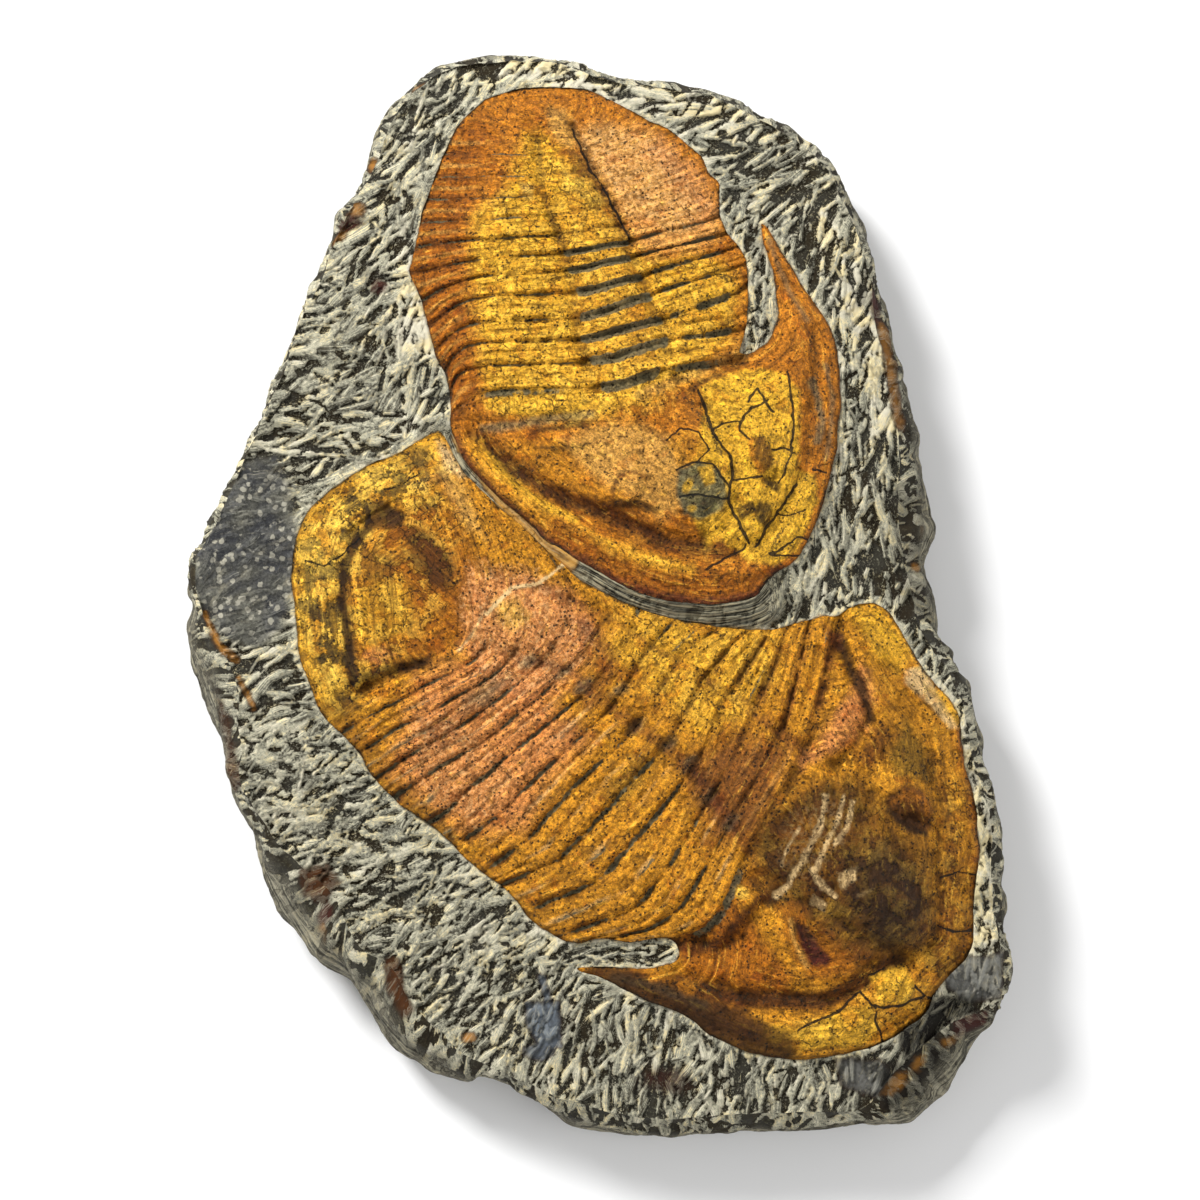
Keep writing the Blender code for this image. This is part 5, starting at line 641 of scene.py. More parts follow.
# Stains of the rock, written as the fossils' features are.
ROCK_FEATURES = [
    ("tan", 0.9, 1.0, "line", (3.4, [(-46, 54), (-38, 42.5), (-29, 31), (-19, 20), (-11, 13)])),
    ("brown", 0.7, 0.6, "line", (0.5, [(-44, 52), (-36, 40), (-28, 30), (-19, 19.5), (-11, 13)])),
    ("rust", 0.75, 1.5, "oval", (-82, 131, 2.5, 2.0, 0)),
    ("rust", 0.6, 1.2, "oval", (-88, 122, 2.0, 1.4, 40)),
    ("wine", 0.6, 1.5, "oval", (-84, 127, 4.0, 2.6, 0)),
    ("wine", 0.7, 1.2, "oval", (-74.5, 105, 2.6, 2.0, 20)),
    ("rust", 0.6, 1.0, "oval", (-62, 176, 2.0, 1.2, 30)),
    ("rust", 0.6, 1.0, "oval", (-77, 150, 1.4, 2.4, 0)),
    ("rust", 0.85, 0.8, "line", (0.8, [(-130.5, -6), (-128, -12), (-125, -17), (-120, -21)])),
    ("rust", 0.7, 0.8, "line", (0.6, [(-119, -27), (-117, -31), (-114, -37)])),
    ("blue", 0.9, 1.0, "area", [(-24, -133), (-14, -133), (-13, -147), (-20, -147), (-24, -140)]),
    ("blue", 0.8, 0.8, "line", (1.0, [(-17, -134), (-19, -125)])),
    ("blue", 0.7, 1.0, "oval", (-20.5, -148.5, 4.5, 2.2, 0)),
    ("brown", 0.75, 2.0, "area", [(-98, -90), (-90, -88), (-86, -94), (-90, -100), (-97, -97)]),
    ("wine", 0.85, 1.2, "oval", (-90, -104, 3.4, 2.0, 60)),
    ("rust", 0.7, 1.0, "line", (0.9, [(-91, -109), (-91, -116)])),
    ("brown", 0.75, 1.6, "line", (2.4, [(-68, -121), (-67, -128), (-64, -135)])),
    ("rust", 0.8, 0.8, "oval", (-43, -144, 1.8, 1.2, 0)),
    ("wine", 0.7, 1.5, "oval", (94.5, 101, 2.2, 6.0, 0)),
    ("rust", 0.65, 2.0, "line", (1.8, [(97, 95), (99.5, 80), (102, 62)])),
    ("char", 0.6, 3.0, "area", [(100, 40), (112, 36), (112, -4), (102, -4), (98, 15)]),
    ("rust", 0.8, 0.8, "oval", (111, 25, 1.4, 2.2, 0)),
    ("rust", 0.8, 0.8, "oval", (108, 13, 1.6, 1.6, 0)),
    ("smooth", 0.8, 1.5, "area", [(78, -152), (92, -152), (97, -158), (92, -163), (80, -160)]),
    ("wine", 0.35, 3.0, "oval", (22, -158, 8.0, 4.0, 0)),
    ("black", 0.85, 2.0, "area", [(90, -156), (104, -150), (124, -138), (128, -146), (108, -166),
        (96, -170)]),
    ("rust", 0.85, 1.2, "oval", (99, -160, 4.5, 2.0, 40)),
    ("rust", 0.8, 1.0, "oval", (107, -153, 3.0, 1.4, 55)),
    ("rust", 0.7, 1.0, "oval", (118, -146, 3.0, 1.4, 20)),
    ("wine", 0.8, 1.5, "area", [(118, -138), (130, -136), (131, -143), (120, -145)]),
    ("black", 0.95, 1.5, "area", [(96, -132), (122, -131), (126, -136), (114, -140), (110, -150),
        (100, -152)]),
    ("black", 0.7, 1.5, "area", [(111, -131), (122, -131), (122, -136), (112, -136)]),
    ("smooth", 0.85, 1.5, "area", [(114, -119), (124, -119), (134, -117), (134, -131), (122, -132),
        (115, -128)]),
    ("dark", 0.7, 1.2, "oval", (22, -115, 2.6, 1.6, 0)),
]
SLATE_AREA = [
    (-136, 6), (-130, 28), (-121, 45), (-108, 47), (-101, 32), (-100, 8), (-105, -11), (-114, -17),
    (-128, -13),
]

# Places with brighter, creamier strokes.
PALE_AREAS = [
    [(70, 140), (88, 125), (100, 84), (106, 56), (94, 52), (88, 84), (74, 118)],
    [(104, -20), (118, -30), (134, -70), (136, -116), (122, -112), (124, -70), (112, -36)],
    [(-70, 118), (-58, 116), (-50, 78), (-70, 84)],
    [(-44, 190), (0, 188), (50, 170), (46, 158), (0, 172), (-38, 176)],
]

# Tool strokes of the prepared rock: x, y, direction in degrees, share kept, length, width.
STROKES = [
    (-70, 105, 30, 0.72, 10, 2.6), (-85, 130, 30, 0.62, 9, 2.4), (-60, 162, 45, 0.68, 9, 2.4),
    (-30, 181, 40, 0.62, 8, 2.2), (0, 178, 14, 0.68, 8, 2.2), (35, 166, 14, 0.7, 8, 2.2),
    (60, 150, 20, 0.62, 7, 2.2), (-63, 122, 76, 0.75, 9, 2.2), (-62, 95, 78, 0.75, 9, 2.2),
    (-55, 74, 60, 0.7, 8, 2.2), (-95, 75, 15, 0.66, 9, 2.4), (-90, 50, 20, 0.7, 11, 2.4),
    (-110, 58, 20, 0.56, 9, 2.6), (-110, -22, 25, 0.5, 8, 2.4), (-100, -55, 25, 1.2, 9, 2.2),
    (-85, -80, 25, 1.2, 9, 2.2), (-60, -95, 30, 1.2, 9, 2.2), (-40, -115, 40, 1.2, 9, 2.2),
    (-20, -135, 62, 0.66, 7, 2.0), (5, -150, 80, 0.72, 8, 2.2), (40, -160, 80, 0.72, 8, 2.2),
    (70, -162, 80, 0.66, 8, 2.2), (10, -117, 5, 0.9, 8, 2.0), (105, -150, 60, 0.5, 7, 2.2),
    (128, -110, 86, 0.75, 8, 2.0), (129, -80, 86, 0.75, 8, 2.0), (118, -35, 70, 0.85, 9, 2.2),
    (105, 0, 85, 0.5, 7, 2.2), (98, 40, 85, 0.7, 9, 2.2), (92, 80, 84, 0.75, 9, 2.2),
    (75, 125, 75, 0.66, 8, 2.2), (65, 142, 50, 0.66, 8, 2.2), (52, 110, 80, 0.8, 8, 1.9),
]

# Spacing of the fine meshes: points between the fossils, on each fossil and along its outline,
# spans of the slab's edge and their parts, and rows of the wall from ring to ring.
FACE_GRID, LARGE_GRID, SMALL_GRID, OUTLINE_STEP = 0.68, 0.6, 0.5, 0.8
SLAB_STEP, RIM_PARTS = 6.2, 9
WALL_ROWS = (7, 6, 8, 8, 5)
# Gap between a fossil and its pocket, shares of a fossil's buried edge where it has a ring, how
# far its hollows are averaged, and a reach past everything.
POCKET_GAP = 0.03
EDGE_LEVELS = (0.1, 0.25, 0.5, 1.0)
HOLLOW_REACH = 3.2
WHOLE = 400.0
# Roughness of the slab's wall, in millimetres: its outline, the heights of its rings, and how far
# each ring swells out (or draws in) from the straight line between rim and widest place.
RIM_HEIGHT_ROUGHNESS, RING_HEIGHT_ROUGHNESS, FOOT_ROUGHNESS = 0.5, 1.4, 1.0
WALL_ROUGHNESS, MIDDLE_ROUGHNESS = 0.7, 1.1
UPPER_SHARE, UPPER_SWELL = 0.5, 0.6
MIDDLE_SHARE, MIDDLE_SWELL = 0.85, 0.3
WIDE_INSET, LOWER_INSET = 0.4, 1.75
# Chips along the rim (amount and size outward, then in height), and the fossils' broken edge.
RIM_CHIPS, RIM_CHIP_SIZE, RIM_CUT = 0.9, 9.0, 0.2
RIM_STEPS, RIM_STEP_SIZE = 0.7, 6.0
EDGE_CHIPS, EDGE_CHIP_SIZE, EDGE_EASING = 0.32, 5.0, 3
# Rounding of the height functions, and how many points they take at a time.
SHEET_ROUNDING, SHEET_CHUNK = 9.0, 20000
# The marks that a fossil's mesh keeps, and how much longer its grain is along than across.
FOSSIL_MARKS = ("flakes", "charred", "grime", "pale", "shade")
GRAIN_SHARE = 0.14
# Tool marks. Each kind has its spacing, then share struck, length, width and scatter in degrees.
STROKE_SIZES = (1.0, (0.56, 1.45, 1.05, 17.0))
PIT_SIZES = (1.7, (0.75, 0.6, 0.85, 30.0))
CHIP_SIZES = (1.05, (0.2, 0.6, 0.36, 24.0))
FACE_STROKE_SPACING, WALL_STROKE_SPACING = 2.9, 3.2
# How marks differ from each other (length, width, lift, tilt and bend), how their edges wander
# (amount and size), the cover where there is none, and how their streaks are stretched.
LENGTH_SPREAD, WIDTH_SPREAD, TILT, BEND = 0.35, 0.3, 0.1, 0.012
LOWEST_LIFT, HIGHEST_LIFT = -0.3, 0.4
WANDER, WANDER_SIZE = 0.38, 4.0
BARE_COVER = -0.6
STREAK_ALONG, STREAK_ACROSS = 0.13, 3.0
# Side of the squares in which the points near a mark are looked up.
CELL = 6.0
# Strokes of the wall, as in STROKES, by the distance along the rim and down the wall.
WALL_STROKES = [
    (0, 5, 75, 0.75, 10, 2.4), (0, 30, 80, 0.6, 12, 2.8), (600, 5, 100, 0.75, 10, 2.4),
    (600, 30, 95, 0.6, 12, 2.8), (1200, 5, 75, 0.75, 10, 2.4), (1200, 30, 85, 0.6, 12, 2.8),
]
WALL_FEATURES = ROCK_FEATURES + [
    ("brown", 0.6, 3.0, "line", (3.0, [(-122, -60), (-126, -42), (-132, -28)])),
]


# Shapes


def true_place(flat, heights, plane):
    """Points laid out on a level plane, moved along the line of sight to their own heights."""
    share = ((plane - heights) / (EYE[2] - heights))[:, None]
    return (flat - share * np.array(EYE[:2])) / (1.0 - share)


def placed(flat, heights):
    """Points laid out on FOSSIL_PLANE, at their true places and heights."""
    return np.column_stack([true_place(flat, heights, FOSSIL_PLANE), heights])


def laid_out(points):
    """Where points at their own heights are seen on FOSSIL_PLANE."""
    share = ((FOSSIL_PLANE - points[:, 2]) / (EYE[2] - points[:, 2]))[:, None]
    return points[:, :2] + share * (np.array(EYE[:2]) - points[:, :2])


def tree_of(places):
    """A search tree over places in the plane."""
    tree = kdtree.KDTree(len(places))
    for index, (x, y) in enumerate(places):
        tree.insert(Vector((x, y, 0.0)), index)
    tree.balance()
    return tree


def turned(points, place, turn):
    """How far the points lie along and across a direction (radians) from a place."""
    c, s = math.cos(turn), math.sin(turn)
    gap = points - np.array(place)
    return gap[:, 0] * c + gap[:, 1] * s, gap[:, 1] * c - gap[:, 0] * s


def blend(p0, p1, p2, p3, t):
    """Point at share t between p1 and p2 of a Catmull-Rom curve."""
    return 0.5 * (
        2.0 * p1
        + (p2 - p0) * t
        + (2.0 * p0 - 5.0 * p1 + 4.0 * p2 - p3) * t * t
        + (3.0 * p1 - p0 - 3.0 * p2 + p3) * t * t * t
    )


def evenly(points, step, closed):
    """The line through the points, cut at equal distances of about the step."""
    if closed:
        points = np.concatenate([points, points[:1]])
    lengths = np.linalg.norm(np.diff(points[:, :2], axis=0), axis=1)
    along = np.concatenate([[0.0], np.cumsum(lengths)])
    marks = np.linspace(0.0, along[-1], max(3, int(round(along[-1] / step))) + 1)
    if closed:
        marks = marks[:-1]
    return np.stack([np.interp(marks, along, points[:, c]) for c in range(points.shape[1])], axis=1)


def catmull(points, step):
    """A smooth closed curve through the points, resampled at about the given step."""
    points = np.array(points, float)
    around = [np.roll(points, shift, axis=0) for shift in (1, 0, -1, -2)]
    dense = np.stack([blend(*around, t) for t in np.arange(0.0, 1.0, 0.1)], axis=1)
    return evenly(dense.reshape(-1, points.shape[1]), step, True)


def signed_area(loop):
    """Area of a closed loop, positive where it runs counter-clockwise."""
    x, y = loop[:, 0], loop[:, 1]
    return 0.5 * float(np.sum(x * np.roll(y, -1) - y * np.roll(x, -1)))


def moved_outward(loop, distance):
    """A closed loop with each point moved outward by the distance."""
    before = np.roll(loop, 1, axis=0)
    after = np.roll(loop, -1, axis=0)
    first = loop - before
    second = after - loop
    first /= np.linalg.norm(first, axis=1)[:, None]
    second /= np.linalg.norm(second, axis=1)[:, None]
    turning = 1.0 if signed_area(loop) > 0 else -1.0
    normal = np.stack([first[:, 1] + second[:, 1], -first[:, 0] - second[:, 0]], axis=1)
    normal /= np.linalg.norm(normal, axis=1)[:, None]
    side = np.stack([second[:, 1], -second[:, 0]], axis=1)
    mitre = 1.0 / np.maximum(0.5, np.sum(normal * side, axis=1))
    return loop + turning * np.reshape(distance, (-1, 1)) * normal * mitre[:, None]


def natural_edge(outline, step):
    """A fossil's outline at a fine step, with its corners eased and a slightly broken edge."""
    loop = evenly(np.array(outline, float), step, True)
    if signed_area(loop) < 0:
        loop = loop[::-1]
    for _ in range(EDGE_EASING):
        loop = 0.5 * loop + 0.25 * (np.roll(loop, 1, axis=0) + np.roll(loop, -1, axis=0))
    return moved_outward(loop, EDGE_CHIPS * EDGE_NOISE.fractal(loop, EDGE_CHIP_SIZE, 3))


def inside(points, loop):
    """True for each point that lies inside the closed loop."""
    x, y = points[:, 0], points[:, 1]
    found = np.zeros(len(points), bool)
    for (x1, y1), (x2, y2) in zip(loop, np.roll(loop, -1, axis=0)):
        if y1 == y2:
            continue
        crosses = (y1 > y) != (y2 > y)
        found ^= crosses & (x < (x2 - x1) * (y - y1) / (y2 - y1) + x1)
    return found


def distance_to(points, line, closed=False):
    """Distance of each point to a line given by its corners."""
    line = np.array(line, float)
    ends = np.roll(line, -1, axis=0) if closed else line[1:]
    starts = line if closed else line[:-1]
    nearest = np.full(len(points), 1e9)
    for start, end in zip(starts, ends):
        span = end - start
        share = np.clip((points - start) @ span / max(span @ span, 1e-9), 0.0, 1.0)
        gap = points - start - share[:, None] * span
        nearest = np.minimum(nearest, np.einsum("ij,ij->i", gap, gap))
    return np.sqrt(nearest)


def near_distance(points, line, closed, reach):
    """distance_to for the points near the line's box, and a large number elsewhere."""
    line = np.array(line, float)
    low, high = line.min(axis=0) - reach, line.max(axis=0) + reach
    close = np.all((points > low) & (points < high), axis=1)
    found = np.full(len(points), 1e3)
    found[close] = distance_to(points[close], line, closed)
    return found, close


def smooth_sheet(knots):
    """A smooth height function through the knots (x, y, height)."""
    knots = np.array(knots, float)
    places = knots[:, :2]
    count = len(knots)

    def kernel(points):
        gap = points[:, None, :] - places[None, :, :]
        return np.sqrt(np.sum(gap * gap, axis=2) + SHEET_ROUNDING**2)

    system = np.zeros((count + 3, count + 3))
    system[:count, :count] = kernel(places) - 0.05 * np.eye(count)
    system[:count, count] = 1.0
    system[:count, count + 1 :] = places
    system[count:, :count] = system[:count, count:].T
    weights = np.linalg.solve(system, np.concatenate([knots[:, 2], np.zeros(3)]))

    def height(points):
        parts = []
        for start in range(0, len(points), SHEET_CHUNK):
            some = points[start : start + SHEET_CHUNK]
            bent = kernel(some) @ weights[:count]
            parts.append(bent + weights[count] + some @ weights[count + 1 :])
        return np.concatenate(parts)

    return height


def lump_sum(points, lumps):
    """Height change of round lumps and pits."""
    total = np.zeros(len(points))
    for x, y, half_length, half_width, turn, change in lumps:
        along, across = turned(points, (x, y), math.radians(turn))
        total += change * np.exp(-((along / half_length) ** 2 + (across / half_width) ** 2))
    return total


def line_sum(points, lines):
    """Height change of furrows and ridges along lines."""
    total = np.zeros(len(points))
    for change, half_width, line in lines:
        gap, _ = near_distance(points, line, False, 3.0 * half_width)
        total += change * np.exp(-((gap / half_width) ** 2))
    return total


class Noise:
    """Smooth lattice noise of about -1 to 1, the same each time for the same seed."""

    def __init__(self, seed):
        rng = np.random.default_rng(seed)
        self.order = rng.permutation(256)
        directions = rng.normal(size=(256, 3))
        self.directions = directions / np.linalg.norm(directions, axis=1)[:, None]

    def smooth(self, points):
        cell = np.floor(points).astype(int)
        local = points - cell
        fade = local**3 * (local * (local * 6.0 - 15.0) + 10.0)
        total = np.zeros(len(points))
        for corner in itertools.product((0, 1), repeat=points.shape[1]):
            key = (cell + corner) & 255
            index = self.order[key[:, 0]]
            for axis in range(1, points.shape[1]):
                index = self.order[(index + key[:, axis]) & 255]
            slope = self.directions[index][:, : points.shape[1]]
            weight = np.prod(np.where(corner, fade, 1.0 - fade), axis=1)
            total += weight * np.einsum("ij,ij->i", slope, local - corner)
        return total * 1.9

    def fractal(self, points, size, octaves):
        """Sum of finer and finer noise, the coarsest with features of about the size."""
        total = np.zeros(len(points))
        share = 1.0
        for octave in range(octaves):
            total += share * self.smooth(points / size * 2.0**octave + 17.3 * octave)
            share *= 0.5
        return total / (2.0 - 2.0 * share)


class Net:
    """Curved coordinates over a segmented body: u runs across it, v from one furrow to the next."""

    FINE = 16

    def __init__(self, rows):
        self.rows = np.array(rows, float)
        self.along = self.rows.shape[0] - 1
        self.across = self.rows.shape[1] - 1
        us = np.linspace(0.0, self.across, self.across * self.FINE + 1)
        vs = np.linspace(0.0, self.along, self.along * self.FINE + 1)
        grid = np.array([self.line(v, us) for v in vs])
        self.slope_v = np.gradient(grid, axis=0).reshape(-1, 2) * self.FINE
        self.slope_u = np.gradient(grid, axis=1).reshape(-1, 2) * self.FINE
        self.places = grid.reshape(-1, 2)
        self.values = np.array([(u, v) for v in vs for u in us])
        self.tree = tree_of(self.places)

    @staticmethod
    def between(rows, place):
        """The smooth value at a place in a sequence, which is held at its ends."""
        last = len(rows) - 1
        i = min(int(place), last - 1)
        return blend(*(rows[min(max(i + j, 0), last)] for j in (-1, 0, 1, 2)), place - i)

    def line(self, v, us):
        """Points across the body at the given v."""
        row = self.between(self.rows, v)
        return np.array([self.between(row, u) for u in us])

    def lookup(self, points, noise):
        """u, v of each point, how far it lies outside the net, and how deep its furrows are."""
        nearest = np.array([self.tree.find(Vector((x, y, 0.0)))[1] for x, y in points])
        gap = points - self.places[nearest]
        su, sv = self.slope_u[nearest], self.slope_v[nearest]
        size = su[:, 0] * sv[:, 1] - su[:, 1] * sv[:, 0]
        size = np.where(np.abs(size) < 1e-3, 1e-3, size)
        du = (gap[:, 0] * sv[:, 1] - gap[:, 1] * sv[:, 0]) / size
        dv = (su[:, 0] * gap[:, 1] - su[:, 1] * gap[:, 0]) / size
        u = np.clip(self.values[nearest, 0] + np.clip(du, -0.1, 0.1), 0.0, self.across)
        v = np.clip(self.values[nearest, 1] + np.clip(dv, -0.1, 0.1), 0.0, self.along)
        outside = np.linalg.norm(gap, axis=1)
        wander = np.clip(1.0 - outside, 0.0, 1.0)
        v = np.clip(v + 0.1 * noise.fractal(points + 31.0, 11.0, 3) * wander, 0.0, self.along)
        wear = smoothstep(-0.35, 0.3, noise.fractal(points - 57.0, 12.0, 4))
        return u, v, outside, wear


def ribs(net, found, relief):
    """Height change of the body segments: flat plates between furrows, with a slanting one."""
    u, v, gap, wear = found
    first, last = relief["axis_from"], relief["axis_to"]
    in_axis = 1.0 / (1.0 + np.exp(-(u - first) * 9.0))
    in_axis *= 1.0 / (1.0 + np.exp((u - last) * 9.0))
    beside = np.where(u < 0.5 * (first + last), relief["left"], relief["right"])
    depth = relief["axis"] * in_axis + beside * (1.0 - in_axis)
    depth *= np.clip((v - relief["starts"]) / (relief["full"] - relief["starts"]), 0.12, 1.0)
    depth *= np.clip((net.along + 0.35 - v) / 0.4, 0.0, 1.0)
    depth *= np.exp(-((np.maximum(gap - 0.6, 0.0) / 2.5) ** 2))
    place = v % 1.0
    from_furrow = 0.5 - np.abs(place - 0.5)
    furrow = np.exp(-((from_furrow / (relief["narrow"] + 0.06 * wear)) ** 2))
    plate = 0.3 * smoothstep(0.0, 0.34, from_furrow) + 0.16 * place
    outward = np.where(u < first, (first - u) / first, (u - last) / (net.across - last))
    slant = np.exp(-(((place - 0.32 - 0.36 * np.clip(outward, 0.0, 1.0)) / 0.075) ** 2))
    return depth * (plate - (0.25 + 0.65 * wear) * furrow - 0.34 * slant * (1.0 - in_axis))


def settled(values, faces, rounds):
    """The values of a mesh's points averaged over their neighbours a number of times."""
    ends = np.concatenate([faces[:, [0, 1]], faces[:, [1, 2]], faces[:, [2, 0]]])
    count = np.bincount(ends.ravel(), minlength=len(values)) + 1e-9
    for _ in range(rounds):
        total = np.bincount(ends[:, 0], values[ends[:, 1]], len(values))
        total += np.bincount(ends[:, 1], values[ends[:, 0]], len(values))
        values = 0.3 * values + 0.7 * total / count
    return values


def smoothstep(low, high, values):
    """0 at low, 1 at high and an eased slope between them."""
    t = np.clip((values - low) / (high - low), 0.0, 1.0)
    return t * t * (3.0 - 2.0 * t)


def grid_points(loop, spacing, rng):
    """Staggered points over the box of a loop, slightly shuffled."""
    low, high = loop.min(axis=0), loop.max(axis=0)
    rows = []
    for j, y in enumerate(np.arange(low[1], high[1], spacing * 0.87)):
        xs = np.arange(low[0] + (j % 2) * spacing * 0.5, high[0], spacing)
        rows.append(np.stack([xs, np.full(len(xs), y)], axis=1))
    points = np.concatenate(rows)
    return points + rng.uniform(-0.16, 0.16, points.shape) * spacing


def clear_of(points, loop, distance):
    """Points farther than the distance from a finely cut loop."""
    tree = tree_of(loop)
    gaps = np.array([tree.find(Vector((x, y, 0.0)))[2] for x, y in points])
    return points[gaps > distance]


def filled(loops, free):
    """Triangles between closed loops, the first being the outer one, through the free points."""
    places, edges = [], []
    for loop in loops:
        first = len(places)
        places.extend(loop)
        edges.extend((first + i, first + (i + 1) % len(loop)) for i in range(len(loop)))
    places.extend(free)
    vectors = [Vector((float(x), float(y))) for x, y in places]
    out, _, faces, originals, _, _ = delaunay_2d_cdt(vectors, edges, [], 0, 1e-5)
    out = np.array([(p.x, p.y) for p in out])
    faces = np.array([tuple(f) for f in faces])
    centres = out[faces].mean(axis=1)
    keep = inside(centres, loops[0])
    for loop in loops[1:]:
        keep &= ~inside(centres, loop)
    faces = faces[keep]
    side1 = out[faces[:, 1]] - out[faces[:, 0]]
    side2 = out[faces[:, 2]] - out[faces[:, 0]]
    turned = (side1[:, 0] * side2[:, 1] - side1[:, 1] * side2[:, 0]) < 0
    faces[turned] = faces[turned][:, ::-1]
    index_of = {old: new for new, group in enumerate(originals) for old in group}
    return out, faces, [index_of[i] for i in range(sum(len(loop) for loop in loops))]


def strip(upper, lower):
    """Faces of a wall between two closed rings of points, both counter-clockwise from above."""
    upper, lower = np.array(upper), np.array(lower)
    upper_next, lower_next = np.roll(upper, -1), np.roll(lower, -1)
    first = np.stack([upper, lower, lower_next], axis=1)
    second = np.stack([upper, lower_next, upper_next], axis=1)
    return np.concatenate([first, second])


def cap(loop, ring):
    """Faces that close a ring of points, seen from above."""
    _, faces, order = filled([loop], np.zeros((0, 2)))
    back = np.zeros(len(loop), int)
    back[order] = np.arange(len(loop))
    return np.array(ring)[back[faces]]


def lowered(loop, levels, upper, count):
    """Rings below a closed ring, one for each level, the wall's faces, and the last ring."""
    points, faces = [], []
    for level in levels:
        points.append(placed(loop, np.broadcast_to(level, len(loop))))
        lower = np.arange(count, count + len(loop))
        count += len(loop)
        faces.append(strip(upper, lower))
        upper = lower
    return points, faces, upper


def linked(thing):
    """The object, once it is in the scene."""
    bpy.context.scene.collection.objects.link(thing)
    return thing


def add_piece(name, points, faces, values, material):
    """A smooth-shaded piece of the points (millimetres), with its values kept at its points."""
    used = np.unique(faces)
    renumber = np.zeros(len(points), int)
    renumber[used] = np.arange(len(used))
    mesh = bpy.data.meshes.new(name)
    moved = (points[used] - np.array([*CENTRE, 0.0])) * TO_METRES
    mesh.from_pydata(moved, [], renumber[faces])
    kinds = {1: ("FLOAT", "value"), 3: ("FLOAT_VECTOR", "vector"), 4: ("FLOAT_COLOR", "color")}
    for key, data in values.items():
        data = np.asarray(data, np.float32)[used].reshape(len(used), -1)
        kind, field = kinds[data.shape[1]]
        mesh.attributes.new(key, kind, "POINT").data.foreach_set(field, data.ravel())
    mesh.validate()
    mesh.shade_smooth()
    mesh.materials.append(material)
    return linked(bpy.data.objects.new(name, mesh))


# Colour and marks


def linear(code):
    """A colour written as six hex digits, in the renderer's linear values."""
    parts = [int(code[i : i + 2], 16) / 255.0 for i in (0, 2, 4)]
    return np.array([p / 12.92 if p <= 0.04045 else ((p + 0.055) / 1.055) ** 2.4 for p in parts])


PALETTE = {name: linear(code) for name, code in COLOURS.items()}


def shape_depth(points, kind, data, reach):
    """How far each point lies inside a shape, in millimetres, below zero outside it."""
    if kind == "oval":
        x, y, half_length, half_width, turn = data
        along, across = turned(points, (x, y), math.radians(turn))
        reached = np.sqrt((along / half_length) ** 2 + (across / half_width) ** 2)
        return (1.0 - reached) * min(half_length, half_width)
    if kind == "area":
        gap, close = near_distance(points, data, True, reach)
        sign = np.full(len(points), -1.0)
        sign[close] = np.where(inside(points[close], np.array(data, float)), 1.0, -1.0)
        return gap * sign
    half_width, line = data
    gap, _ = near_distance(points, line, False, reach + half_width)
    return half_width - gap


def marked(points, features, noise, channels, base):
    """The tint of each point and its marks, from listed shapes with uneven edges."""
    wave = noise.fractal(points, 7.0, 3)
    fine = noise.fractal(points + 40.0, 2.0, 2)
    tint = np.tile(PALETTE[base], (len(points), 1))
    marks = {name: np.zeros(len(points)) for name in channels}
    for target, strength, softness, kind, data in features:
        depth = shape_depth(points, kind, data, softness + 4.0)
        uneven = min(2.2, 0.5 * softness + 0.35)
        share = smoothstep(-softness, softness, depth + uneven * (wave + 0.6 * fine)) * strength
        if target in marks:
            marks[target] = np.maximum(marks[target], share)
        else:
            tint += share[:, None] * (PALETTE[target] - tint)
    return tint, marks


def crack_marks(points, cracks, noise):
    """Nearness to a crack: 1 on its line, 0 at one millimetre from it, with a wandering line."""
    first, second = points, points + 91.0
    shift = np.stack([noise.fractal(first, 4.0, 4), noise.fractal(second, 4.0, 4)], axis=1)
    moved = points + 0.9 * shift
    found = np.zeros(len(points))
    for width, line in cracks:
        gap, _ = near_distance(moved, line, False, 3.0)
        found = np.maximum(found, 1.0 - gap / (1.1 * width))
    return found


def field_values(points, table):
    """Blends the columns of a table of places (x, y, then values) by nearness."""
    table = np.array(table, float)
    gap = np.sum((points[:, None, :] - table[None, :, :2]) ** 2, axis=2)
    weight = 1.0 / (gap + 30.0) ** 2
    weight /= weight.sum(axis=1)[:, None]
    return weight @ table[:, 2:]


def in_cells(points, size):
    """Numbers of the points in each square cell of the plane."""
    cells = np.floor(points / size).astype(int)
    order = np.lexsort((cells[:, 1], cells[:, 0]))
    breaks = np.flatnonzero(np.any(np.diff(cells[order], axis=0), axis=1)) + 1
    return {tuple(cells[group[0]]): group for group in np.split(order, breaks)}


